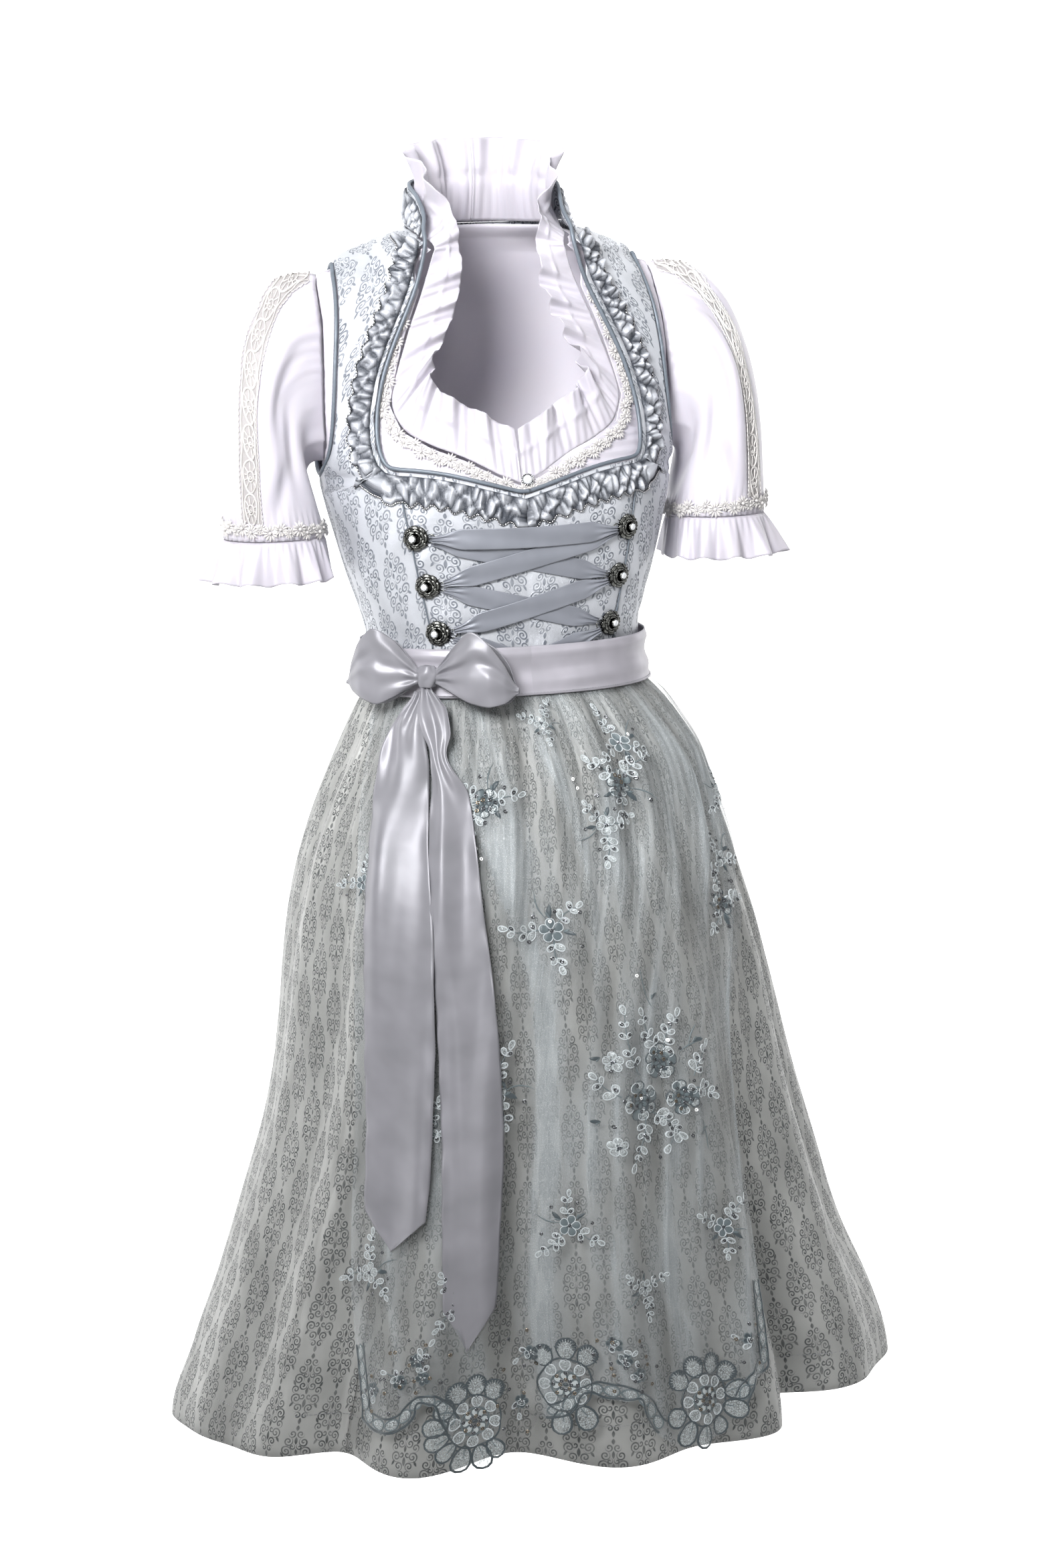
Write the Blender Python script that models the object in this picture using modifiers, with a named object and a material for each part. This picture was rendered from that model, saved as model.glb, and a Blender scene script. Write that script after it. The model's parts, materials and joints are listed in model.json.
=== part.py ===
"""A dirndl set as worn: blouse, laced bodice, skirt, sheer apron, sash and bow.

All cloth is a thin hollow wall. +Z is up, the front faces -Y, and left and right
are the viewer's: left is -X. The origin lies between the neck-side ends of the
shoulder seams, where the wearer's shoulders hold the set up.
Tables and sizes are in millimetres. build_solid() turns them into metres.
"""
import math

import bmesh
import bpy
from mathutils import Vector

MM = 0.001

# Driving sizes
WAIST_Z = -390.0
HEM_Z = -1060.0
UNDERARM_Z = -214.0
SHOULDER_POINT_Z = -24.5
NECK_POINT_Z = 3.0
SEAM_GAP = 0.3
SEAM_GAP_ANGLE = 0.1
DRESS_WALL = 2.0
BLOUSE_DEPTH = 6.0
BLOUSE_WALL = 1.2
BLOUSE_HEM_Z = -300.0
SKIRT_WALL = 1.6
APRON_WALL = 1.0
RIBBON_WALL = 1.0
FRILL_WALL = 1.0

# Where the front panel meets the side fronts, as degrees round from centre front
PRINCESS_ANGLE = 42.0

# Horizontal sections of the dress, waist first.
# columns: z, side_x, side_front_y, side_back_y, front_y, back_y, roundness
# roundness 0 is a full body section, 1 a shallow arch between two armhole edges
TORSO = (
    (-392.0, 121.0, 0.0, 0.0, -106.0, 78.0, 0.0),
    (-355.0, 121.5, 0.0, 0.0, -107.0, 76.0, 0.0),
    (-328.0, 128.0, 0.0, 0.0, -109.0, 80.0, 0.0),
    (-300.0, 137.0, 0.0, 0.0, -111.0, 86.0, 0.0),
    (-262.0, 147.0, 0.0, 0.0, -113.0, 93.0, 0.0),
    (-235.0, 154.0, 0.0, 0.0, -112.0, 97.0, 0.05),
    (-214.0, 158.0, 0.0, 0.0, -106.0, 100.0, 0.35),
    (-205.0, 158.0, -20.0, 20.0, -101.0, 101.0, 0.6),
    (-190.0, 154.0, -35.0, 37.0, -92.0, 102.0, 0.85),
    (-162.0, 149.5, -40.0, 46.0, -78.0, 104.0, 1.0),
    (-114.0, 145.0, -38.0, 50.0, -64.0, 102.0, 1.0),
    (-77.0, 141.0, -31.0, 50.0, -59.0, 98.0, 1.0),
    (-45.0, 137.0, -8.0, 42.0, -58.0, 90.0, 1.0),
    (-24.5, 134.0, 18.0, 18.0, -64.0, 84.0, 1.0),
    (-8.0, 100.0, 14.0, 14.0, -72.0, 76.0, 1.0),
    (3.0, 72.0, 10.0, 10.0, -76.0, 68.0, 1.0),
)

# Armhole edge of the blouse, further out than the dress's own.
# columns: z, edge_x, edge_front_y, edge_back_y
BLOUSE_ARMHOLE = (
    (-214.0, 158.0, 0.0, 0.0),
    (-200.0, 159.5, 0.0, 0.0),
    (-188.0, 160.0, -20.0, 20.0),
    (-162.0, 160.0, -28.0, 32.0),
    (-114.0, 158.0, -28.0, 36.0),
    (-77.0, 156.0, -20.0, 34.0),
    (-45.0, 154.5, 6.0, 26.0),
    (-31.0, 152.0, 18.0, 18.0),
    (-24.5, 134.0, 18.0, 18.0),
)

# Roundness of a body section: powers of its front, its back and a shallow arch
FRONT_POWER = 2.4
BACK_POWER = 2.2
ARCH_POWER = 2.6

# Neckline edge of the dress on one half, centre front first.
# columns: x, z
NECKLINE_FRONT = (
    (0.0, -228.0), (22.0, -222.0), (46.0, -215.0), (69.0, -209.0), (92.0, -206.0), (106.0, -205.0),
)
# columns: x, z
NECKLINE_SIDE = (
    (115.0, -202.0), (120.0, -186.0), (119.5, -160.0), (112.0, -126.0), (100.5, -97.0),
    (88.0, -71.0), (76.5, -46.0), (67.0, -12.0),
)

# Neckline of the blouse, under its braid. columns: x, z
BLOUSE_NECKLINE = (
    (0.15, -219.0), (19.0, -210.0), (47.0, -195.0), (75.0, -184.0), (98.0, -170.0), (106.0, -148.0),
    (92.0, -99.0), (74.0, -52.0), (64.0, -16.0),
)

# Stand-up collar on one half, from the shoulder front to centre back.
# back is 1.0 where the base lies on the back panel
# columns: base_x, base_z, back, top_x, top_y, top_z
COLLAR = (
    (68.3, -8.0, 0.0, 66.5, -38.5, -2.5),
    (69.5, -5.0, 0.0, 62.5, -27.0, 10.0),
    (71.0, -1.0, 0.0, 65.0, -10.0, 26.0),
    (72.0, 3.0, 0.0, 68.0, 8.0, 34.0),
    (66.0, 3.0, 1.0, 64.0, 24.0, 38.0),
    (49.0, 3.0, 1.0, 48.0, 45.0, 40.5),
    (25.0, 3.0, 1.0, 25.0, 59.0, 41.5),
    (0.0, 3.0, 1.0, 0.0, 62.5, 42.0),
)

COLOURS = {
    "jacquard": (0.55, 0.58, 0.60),
    "satin": (0.48, 0.50, 0.56),
    "piping": (0.33, 0.38, 0.42),
    "ribbon": (0.72, 0.75, 0.79),
    "organza": (0.45, 0.50, 0.49),
    "white": (0.90, 0.89, 0.91),
    "silver": (0.40, 0.40, 0.39),
}


def clear_scene():
    for item in list(bpy.data.objects):
        bpy.data.objects.remove(item, do_unlink=True)


def new_collection(name):
    group = bpy.data.collections.new(name)
    bpy.context.scene.collection.children.link(group)
    return group


def add_material(item, look, roughness=0.5, metallic=0.0):
    material = bpy.data.materials.new(item.name + "_material")
    material.use_nodes = True
    shader = material.node_tree.nodes["Principled BSDF"]
    shader.inputs["Base Color"].default_value = COLOURS[look] + (1.0,)
    shader.inputs["Roughness"].default_value = roughness
    shader.inputs["Metallic"].default_value = metallic
    item.data.materials.append(material)


def build_solid(name, points, faces, group, look, roughness=0.5, metallic=0.0):
    """Make one object from points in millimetres and turn its faces outward."""
    mesh = bpy.data.meshes.new(name)
    mesh.from_pydata([Vector(p) * MM for p in points], [], faces)
    cage = bmesh.new()
    cage.from_mesh(mesh)
    bmesh.ops.recalc_face_normals(cage, faces=cage.faces)
    cage.to_mesh(mesh)
    cage.free()
    mesh.shade_smooth()
    item = bpy.data.objects.new(name, mesh)
    group.objects.link(item)
    add_material(item, look, roughness, metallic)
    return item


def wall(name, outer, inner, group, look, ring=False, roughness=0.5):
    """Loft a closed wall between two grids of rows, both split alike so it never crosses itself."""
    rows = len(outer)
    cols = len(outer[0])
    points = [Vector(p) for grid in (outer, inner) for row in grid for p in row]
    back = rows * cols
    spans = cols if ring else cols - 1
    faces = []
    for r in range(rows - 1):
        for c in range(spans):
            d = (c + 1) % cols
            a, b, e, f = r * cols + c, r * cols + d, (r + 1) * cols + d, (r + 1) * cols + c
            halves = ((a, b, e), (a, e, f))
            if (points[b] - points[f]).length < (points[a] - points[e]).length:
                halves = ((a, b, f), (b, e, f))
            for half in halves:
                faces.append(half)
                faces.append(tuple(back + i for i in reversed(half)))
    for c in range(spans):
        d = (c + 1) % cols
        top = (rows - 1) * cols
        faces.append((d, c, back + c, back + d))
        faces.append((top + c, top + d, back + top + d, back + top + c))
    if not ring:
        for r in range(rows - 1):
            low, high = r * cols, (r + 1) * cols
            faces.append((low, high, back + high, back + low))
            last = cols - 1
            faces.append((high + last, low + last, back + low + last, back + high + last))
    return build_solid(name, points, faces, group, look, roughness)


def solidified(name, grid, thickness, group, look, ring=False, roughness=0.5):
    """Give an open sheet of rows its thickness with a Solidify modifier."""
    rows = len(grid)
    cols = len(grid[0])
    spans = cols if ring else cols - 1
    faces = []
    for r in range(rows - 1):
        for c in range(spans):
            d = (c + 1) % cols
            faces.append((r * cols + c, r * cols + d, (r + 1) * cols + d, (r + 1) * cols + c))
    mesh = bpy.data.meshes.new(name)
    mesh.from_pydata([Vector(p) * MM for row in grid for p in row], [], faces)
    mesh.shade_smooth()
    item = bpy.data.objects.new(name, mesh)
    group.objects.link(item)
    solidify = item.modifiers.new("thickness", "SOLIDIFY")
    solidify.thickness = thickness * MM
    solidify.offset = 0.0
    add_material(item, look, roughness)
    return item


def tube(name, path, radius, group, look, cyclic=False):
    """A round piping or cord along a path, with filled ends."""
    data = bpy.data.curves.new(name, "CURVE")
    data.dimensions = "3D"
    data.bevel_depth = radius * MM
    data.bevel_resolution = 1
    data.use_fill_caps = not cyclic
    spline = data.splines.new("POLY")
    spline.points.add(len(path) - 1)
    for point, place in zip(spline.points, path):
        point.co = (place[0] * MM, place[1] * MM, place[2] * MM, 1.0)
    spline.use_cyclic_u = cyclic
    item = bpy.data.objects.new(name, data)
    group.objects.link(item)
    add_material(item, look)
    return item


def blend(low, high, share):
    return low + (high - low) * share


def smooth_step(low, high, value):
    share = min(1.0, max(0.0, (value - low) / (high - low)))
    return share * share * (3.0 - 2.0 * share)


def table_row(table, key):
    """Read a table at any key of its first column, with smooth slopes between rows."""
    ordered = table if table[0][0] < table[-1][0] else table[::-1]
    last = len(ordered) - 1
    key = min(max(key, ordered[0][0]), ordered[last][0])
    low = 0
    while low < last - 1 and ordered[low + 1][0] <= key:
        low += 1
    step = ordered[low + 1][0] - ordered[low][0]
    share = (key - ordered[low][0]) / step

    def slope(index, column):
        before = ordered[max(index - 1, 0)]
        after = ordered[min(index + 1, last)]
        here = ordered[index]
        left = (here[column] - before[column]) / max(here[0] - before[0], 1e-6)
        right = (after[column] - here[column]) / max(after[0] - here[0], 1e-6)
        if left * right <= 0.0:
            return 0.0
        return 2.0 * left * right / (left + right)

    values = []
    for column in range(1, len(ordered[0])):
        start, end = ordered[low][column], ordered[low + 1][column]
        t2, t3 = share * share, share * share * share
        values.append(
            (2 * t3 - 3 * t2 + 1) * start
            + (t3 - 2 * t2 + share) * step * slope(low, column)
            + (3 * t2 - 2 * t3) * end
            + (t3 - t2) * step * slope(low + 1, column)
        )
    return values


def along(path, share):
    """The point at a share of a short path's length."""
    lengths = [0.0]
    for start, end in zip(path, path[1:]):
        lengths.append(lengths[-1] + (Vector(end) - Vector(start)).length)
    goal = share * lengths[-1]
    for index in range(len(path) - 1):
        if goal <= lengths[index + 1] or index == len(path) - 2:
            span = max(lengths[index + 1] - lengths[index], 1e-9)
            return Vector(path[index]).lerp(Vector(path[index + 1]), (goal - lengths[index]) / span)
    return Vector(path[-1])


def rounded(path, passes=2):
    """Cut the corners of an open path so that it bends softly."""
    points = [Vector(p) for p in path]
    for _ in range(passes):
        cut = [points[0]]
        for start, end in zip(points, points[1:]):
            cut.append(start.lerp(end, 0.25))
            cut.append(start.lerp(end, 0.75))
        cut.append(points[-1])
        points = cut
    return points


def mirrored(grid):
    """The same rows on the other side of the centre plane."""
    return [[(-p[0], p[1], p[2]) for p in row] for row in grid]


def section_depth(row, u, in_front):
    """How far front or back the body surface lies at a share u of its half width."""
    _, front_side, back_side, front, back, arch = row
    power = FRONT_POWER if in_front else BACK_POWER
    full = (1.0 - u ** power) ** (1.0 / power)
    depth = blend(full, 1.0 - u ** ARCH_POWER, arch)
    side = front_side if in_front else back_side
    middle = front if in_front else back
    return side + (middle - side) * depth


def dress_base(angle, z):
    """A point of the dress surface, angle in degrees from centre front, + to the right."""
    row = table_row(TORSO, z)
    if z >= SHOULDER_POINT_Z:
        row[2] = row[1]
    turn = math.radians(angle)
    u = min(1.0, abs(math.sin(turn)))
    y = section_depth(row, u, math.cos(turn) >= 0.0)
    return Vector((math.copysign(row[0] * u, math.sin(turn)), y, z))


def blouse_base(angle, z):
    """As dress_base, but carried on past the armhole edges of the dress."""
    if z <= UNDERARM_Z or z >= SHOULDER_POINT_Z:
        return dress_base(angle, z)
    row = table_row(TORSO, z)
    edge_x, edge_front, edge_back = table_row(BLOUSE_ARMHOLE, z)
    turn = math.radians(angle)
    in_front = math.cos(turn) >= 0.0
    x = edge_x * min(1.0, abs(math.sin(turn)))
    if x <= row[0]:
        y = section_depth(row, x / row[0], in_front)
    else:
        share = (x - row[0]) / (edge_x - row[0])
        start, end = (row[1], edge_front) if in_front else (row[2], edge_back)
        y = blend(start, end, share)
    return Vector((math.copysign(x, math.sin(turn)), y, z))


def surface_normal(base, angle, z):
    """Outward direction of a body surface, from its neighbours on the same half."""
    step = 1.5
    front_half = math.cos(math.radians(angle)) >= 0.0
    low_angle, high_angle = angle - step, angle + step
    if front_half:
        low_angle, high_angle = max(low_angle, -90.0), min(high_angle, 90.0)
    else:
        low_angle, high_angle = max(low_angle, 90.001), min(high_angle, 269.999)
    across = base(high_angle, z) - base(low_angle, z)
    up = base(angle, min(z + 2.0, NECK_POINT_Z)) - base(angle, z - 2.0)
    normal = across.cross(up).normalized()
    sideways = smooth_step(math.sin(math.radians(60.0)), 1.0, abs(math.sin(math.radians(angle))))
    ridge = sideways * smooth_step(-62.0, -40.0, z)
    beside = sideways * (1.0 - smooth_step(-203.0, -188.0, z))
    shoulder_top = Vector((math.copysign(0.38, normal.x), 0.0, 0.92))
    side_out = Vector((math.copysign(1.0, normal.x), 0.0, normal.z))
    normal = normal.lerp(side_out, beside).normalized()
    return normal.lerp(shoulder_top, ridge).normalized()


def torso(angle, z, out=0.0, base=dress_base):
    """A point of a body surface moved outward by a distance."""
    return base(angle, z) + surface_normal(base, angle, z) * out


def angle_at(x, z, base=dress_base):
    """The angle round the front at which the surface has this x."""
    side_x = base(90.0, z).x
    return math.degrees(math.asin(max(-1.0, min(1.0, x / side_x))))


def gap_shift(angle, inward):
    """Pull a seam edge back by half the seam gap."""
    return angle - SEAM_GAP_ANGLE * inward


def neckline_height(x):
    """Height of the dress neckline over the front panel."""
    points = NECKLINE_FRONT
    for start, end in zip(points, points[1:]):
        if x <= end[0]:
            return blend(start[1], end[1], (x - start[0]) / (end[0] - start[0]))
    return points[-1][1]


PRINCESS_TOP_Z = -205.3
FRONT_ANGLES = (0.0, 6.0, 12.0, 18.0, 24.0, 30.0, 36.0, 41.9)
# Rows along the shoulder seam, shared by the front and back pieces
SHOULDER_LEVELS = tuple(blend(SHOULDER_POINT_Z, NECK_POINT_Z, i / 4) for i in range(5))
BLOUSE_SHOULDER_Z = -31.0
BLOUSE_SHOULDER_LEVELS = tuple(blend(BLOUSE_SHOULDER_Z, NECK_POINT_Z, i / 7) for i in range(8))
LOWER_LEVELS = (-390.0, -352.0, -314.0, -276.0, -242.0)
ARMHOLE_LEVELS = (-214.0, -207.0, -195.0, -172.0, -140.0, -106.0, -75.0, -51.0, -35.0)
# Inner edge of the strap above the collar front. columns: x, z
STRAP_TOP = ((69.5, -5.0), (71.0, -1.0))


def neckline_places():
    """The dress neckline on the right half as pairs of angle and height."""
    places = [(a, neckline_height(157.0 * math.sin(math.radians(a)))) for a in FRONT_ANGLES]
    places += [(angle_at(x, z), z) for x, z in NECKLINE_SIDE]
    return places


def front_panel_grid(out):
    angles = [-a for a in reversed(FRONT_ANGLES)] + list(FRONT_ANGLES[1:])
    grid = []
    shares = [(z - WAIST_Z) / (PRINCESS_TOP_Z - WAIST_Z) for z in LOWER_LEVELS] + [1.0]
    for share in shares:
        line = []
        for angle in angles:
            top = neckline_height(157.0 * abs(math.sin(math.radians(angle))))
            line.append(torso(angle, blend(WAIST_Z, top, share), out))
        grid.append(line)
    return grid


def side_front_rows():
    """Rows of the side front as (left angle, left z, right angle, right z)."""
    seam = gap_shift(PRINCESS_ANGLE, -1)
    side = gap_shift(90.0, 1)
    rows = [(seam, z, side, z) for z in LOWER_LEVELS]
    rows.append((seam, PRINCESS_TOP_Z, 90.0, ARMHOLE_LEVELS[0]))
    for (x, z), right in zip(NECKLINE_SIDE, ARMHOLE_LEVELS[1:]):
        rows.append((angle_at(x, z), z, 90.0, right))
    rows.append((angle_at(*STRAP_TOP[0]), STRAP_TOP[0][1], 90.0, -29.5))
    rows.append((angle_at(*STRAP_TOP[1]), STRAP_TOP[1][1], 90.0, -26.5))
    rows.append((90.0, NECK_POINT_Z, 90.0, SHOULDER_POINT_Z))
    return rows


def side_front_grid(out, cols=4):
    grid = []
    for left, left_z, right, right_z in side_front_rows():
        low = math.sin(math.radians(left))
        high = math.sin(math.radians(right))
        line = []
        for col in range(cols + 1):
            share = col / cols
            if left_z < UNDERARM_Z:
                angle = blend(left, right, share)
            else:
                angle = math.degrees(math.asin(min(1.0, blend(low, high, share))))
            line.append(torso(angle, blend(left_z, right_z, share), out))
        grid.append(line)
    return grid


BACK_ANGLES = (90.001, 100.0, 114.0, 132.0, 155.0, 180.0)


def back_grid(base, levels, out):
    """The back from side to side, a seam gap behind the front pieces."""
    angles = list(BACK_ANGLES) + [360.0 - a for a in reversed(BACK_ANGLES[:-1])]
    behind = Vector((0.0, SEAM_GAP, 0.0))
    return [[torso(angle, z, out, base) + behind for angle in angles] for z in levels]


def build_bodice(group):
    wall("bodice_front", front_panel_grid(0.0), front_panel_grid(-DRESS_WALL), group, "jacquard")
    outer, inner = side_front_grid(0.0), side_front_grid(-DRESS_WALL)
    wall("bodice_side_front_right", outer, inner, group, "jacquard")
    wall("bodice_side_front_left", mirrored(outer), mirrored(inner), group, "jacquard")
    levels = LOWER_LEVELS + ARMHOLE_LEVELS + SHOULDER_LEVELS
    back_outer = back_grid(dress_base, levels, 0.0)
    back_inner = back_grid(dress_base, levels, -DRESS_WALL)
    wall("bodice_back", back_outer, back_inner, group, "jacquard")


def collar_columns(out):
    """Base and top points of the stand-up collar, left front round the back to right front."""
    table = [(float(i),) + row for i, row in enumerate(COLLAR)]
    columns = []
    steps = len(COLLAR) - 1
    for step in range(steps + 1):
        base_x, base_z, back, top_x, top_y, top_z = table_row(table, float(step))
        angle = angle_at(base_x, base_z)
        if step > 3:
            angle = 180.0 - angle
        lift = 0.6 if step < 3 else 0.45
        base = dress_base(angle, base_z) + Vector((0.0, 0.0, lift))
        columns.append((base, Vector((top_x, top_y, top_z))))
    shifted = []
    last = len(columns) - 1
    for index, (base, top) in enumerate(columns):
        before = columns[max(index - 1, 0)][1]
        after = columns[min(index + 1, last)][1]
        run = after - before
        run.z = 0.0
        if index == last:
            run = Vector((-1.0, 0.0, 0.0))
        outward = Vector((run.y, -run.x, 0.0)).normalized()
        shifted.append((base + outward * out, top + outward * out))
    left = [(Vector((-b.x, b.y, b.z)), Vector((-t.x, t.y, t.z))) for b, t in shifted]
    return shifted + left[-2::-1]


def collar_grid(out):
    columns = collar_columns(out)
    return [[base.lerp(top, share) for base, top in columns] for share in (0.0, 0.5, 1.0)]


def build_collar(group):
    wall("stand_collar", collar_grid(0.0), collar_grid(-DRESS_WALL), group, "jacquard")


def edge_offset(points, normals, sideways, depth):
    """Move an edge path sideways within the surface and in along its normals."""
    last = len(points) - 1
    moved = []
    for index, point in enumerate(points):
        run = points[min(index + 1, last)] - points[max(index - 1, 0)]
        side = run.cross(normals[index]).normalized()
        moved.append(point - side * sideways - normals[index] * depth)
    return moved


PIPING_RADIUS = 1.8


def neckline_piping_path():
    """All round the dress neckline: up the right edge, over the collar and down the left."""
    places = neckline_places()
    points = [dress_base(a, z) for a, z in places]
    normals = [surface_normal(dress_base, a, z) for a, z in places]
    start = Vector((-points[1].x, points[1].y, points[1].z))
    points.insert(0, start)
    normals.insert(0, Vector((-normals[1].x, normals[1].y, normals[1].z)))
    half = edge_offset(points, normals, PIPING_RADIUS + 0.4, 0.5)[1:]
    tops = [top for _, top in collar_columns(-1.0)]
    middle = (len(tops) - 1) // 2
    for index in range(middle + 1):
        run = tops[index + 1] - tops[max(index - 1, 0)]
        outward = Vector((run.y, -run.x, 0.0)).normalized()
        half.append(tops[index] + outward.cross(run).normalized() * (PIPING_RADIUS + 0.5))
    left = [Vector((-p.x, p.y, p.z)) for p in half]
    return half + left[-2:0:-1]


def armhole_loop(base, levels, shoulder_z, depth=0.0):
    """Edge points and normals round the right armhole, front edge first."""
    points, normals = [], []
    for z in levels + (shoulder_z,):
        points.append(torso(90.0, z, -depth, base))
        normals.append(surface_normal(base, 89.0, z))
    for z in levels[:0:-1]:
        points.append(torso(90.001, z, -depth, base))
        normals.append(surface_normal(base, 91.0, z))
    return points, normals


def armhole_piping_path():
    points, normals = armhole_loop(dress_base, ARMHOLE_LEVELS, SHOULDER_POINT_Z)
    count = len(points)
    moved = []
    for index, point in enumerate(points):
        run = points[(index + 1) % count] - points[index - 1]
        side = run.cross(normals[index]).normalized()
        moved.append(point + side * (PIPING_RADIUS + 0.9) - normals[index] * 0.2)
    return moved


def build_piping(group):
    tube("neckline_piping", neckline_piping_path(), PIPING_RADIUS, group, "piping", cyclic=True)
    path = armhole_piping_path()
    tube("armhole_piping_right", path, PIPING_RADIUS, group, "piping", cyclic=True)
    tube("armhole_piping_left", [(-p.x, p.y, p.z) for p in path], PIPING_RADIUS, group, "piping",
         cyclic=True)


BLOUSE_ARMHOLE_LEVELS = (-200.0, -193.0, -180.0, -150.0, -115.0, -82.0, -56.0, -40.0)


def blouse_front_rows():
    """Rows of a blouse front as (left angle, left z, right angle, right z)."""
    side = gap_shift(90.0, 1)
    rows = [(0.06, z, side, z) for z in (BLOUSE_HEM_Z, -276.0, -242.0)]
    rights = (-214.0,) + BLOUSE_ARMHOLE_LEVELS
    for (x, z), right in zip(BLOUSE_NECKLINE, rights):
        rows.append((angle_at(x, z, blouse_base), z, 90.0, right))
    rows.append((angle_at(67.0, -6.0, blouse_base), -6.0, 90.0, -34.0))
    rows.append((90.0, NECK_POINT_Z, 90.0, BLOUSE_SHOULDER_Z))
    return rows


def blouse_front_grid(out, cols=7):
    grid = []
    for left, left_z, right, right_z in blouse_front_rows():
        low = math.sin(math.radians(left))
        high = math.sin(math.radians(right))
        line = []
        for col in range(cols + 1):
            share = col / cols
            if left_z < -225.0:
                angle = blend(left, right, share)
            else:
                angle = math.degrees(math.asin(min(1.0, blend(low, high, share))))
            line.append(torso(angle, blend(left_z, right_z, share), out, blouse_base))
        grid.append(line)
    return grid


def build_blouse_body(group):
    deep = BLOUSE_DEPTH + BLOUSE_WALL
    outer, inner = blouse_front_grid(-BLOUSE_DEPTH), blouse_front_grid(-deep)
    wall("blouse_front_right", outer, inner, group, "white", roughness=0.35)
    wall("blouse_front_left", mirrored(outer), mirrored(inner), group, "white", roughness=0.35)
    levels = (BLOUSE_HEM_Z, -276.0, -242.0, -214.0) + BLOUSE_ARMHOLE_LEVELS
    levels += BLOUSE_SHOULDER_LEVELS
    back_outer = back_grid(blouse_base, levels, -BLOUSE_DEPTH)
    back_inner = back_grid(blouse_base, levels, -deep)
    wall("blouse_back", back_outer, back_inner, group, "white", roughness=0.35)


# Cuff of the right sleeve, an oval ring round a plumb line
CUFF_CENTRE = (202.0, -3.0, -262.0)
CUFF_HALF_WIDTH = 44.0
CUFF_HALF_DEPTH = 49.0
SLEEVE_COLS = 24
SLEEVE_LIFT = 0.9
SLEEVE_PUFF = 2.2


def sleeve_ring():
    """Armhole points of the right sleeve, evenly numbered: shoulder, back, underarm, front."""
    points, _ = armhole_loop(blouse_base, BLOUSE_ARMHOLE_LEVELS, BLOUSE_SHOULDER_Z, BLOUSE_DEPTH)
    top = len(BLOUSE_ARMHOLE_LEVELS)
    loop = points[top:] + points[:top]
    closed = loop + [loop[0]]
    return [along(closed, i / SLEEVE_COLS) for i in range(SLEEVE_COLS)]


def sleeve_point(start, index, share):
    """One point of the sleeve on the way from its armhole edge to its cuff."""
    turn = 2.0 * math.pi * index / SLEEVE_COLS
    end = Vector((
        CUFF_CENTRE[0] + CUFF_HALF_WIDTH * math.cos(turn),
        CUFF_CENTRE[1] + CUFF_HALF_DEPTH * math.sin(turn),
        CUFF_CENTRE[2],
    ))
    height = (end.z - start.z) / (CUFF_CENTRE[2] + 31.0)
    reach = blend(32.0, 300.0, height ** 1.2)
    drop = blend(60.0, 260.0, height)
    away = Vector((1.0, 0.45 * math.sin(turn), 0.12 * height)) * reach
    down = Vector((-0.15 + 0.15 * height, 0.0, -1.0)) * drop
    t2, t3 = share * share, share ** 3
    place = start * (2 * t3 - 3 * t2 + 1) + away * (t3 - 2 * t2 + share)
    place += end * (3 * t2 - 2 * t3) + down * (t3 - t2)
    puff = SLEEVE_PUFF * math.sin(math.pi * share) * math.cos(SLEEVE_COLS / 4 * turn + 3.0 * share)
    place += Vector((math.cos(turn), math.sin(turn), 0.0)) * puff
    return place


SLEEVE_STEPS = (0.0, 0.07, 0.18, 0.33, 0.5, 0.67, 0.84, 1.0)


def sleeve_grid():
    ring = [start + Vector((SLEEVE_LIFT, 0.0, 0.0)) for start in sleeve_ring()]
    return [
        [sleeve_point(start, index, share) for index, start in enumerate(ring)]
        for share in SLEEVE_STEPS
    ]


# Thickest wall at a sharp fold, as one over this share of its plain depth
SHARPEST_LEAN = 0.6


def grid_normals(grid, ring=False):
    """Normals of a sheet of rows, from each point's neighbours."""
    rows, cols = len(grid), len(grid[0])
    normals = []
    for r in range(rows):
        line = []
        for c in range(cols):
            if ring:
                across = Vector(grid[r][(c + 1) % cols]) - Vector(grid[r][c - 1])
            else:
                across = Vector(grid[r][min(c + 1, cols - 1)]) - Vector(grid[r][max(c - 1, 0)])
            up = Vector(grid[min(r + 1, rows - 1)][c]) - Vector(grid[max(r - 1, 0)][c])
            line.append(across.cross(up).normalized())
        normals.append(line)
    return normals


def moved_out(grid, distance, ring=False):
    """A sheet moved along its normals, further at sharp folds so that its wall keeps its depth."""
    normals = grid_normals(grid, ring)
    cols = len(grid[0])
    moved = []
    for row, line in zip(grid, normals):
        place = []
        for c, (point, normal) in enumerate(zip(row, line)):
            before = row[c - 1] if ring or c > 0 else point
            after = row[(c + 1) % cols] if ring or c < cols - 1 else point
            leans = [normal.cross((end - point).normalized()).length
                     for end in (before, after) if end is not point]
            place.append(point + normal * distance / max(SHARPEST_LEAN, min(leans)))
        moved.append(place)
    return moved


CUFF_FRILL_WAVES = 12
CUFF_FRILL_WAVE = 6.5
CUFF_FRILL_SPREAD = 17.0
CUFF_FRILL_LENGTH = 36.0


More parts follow.
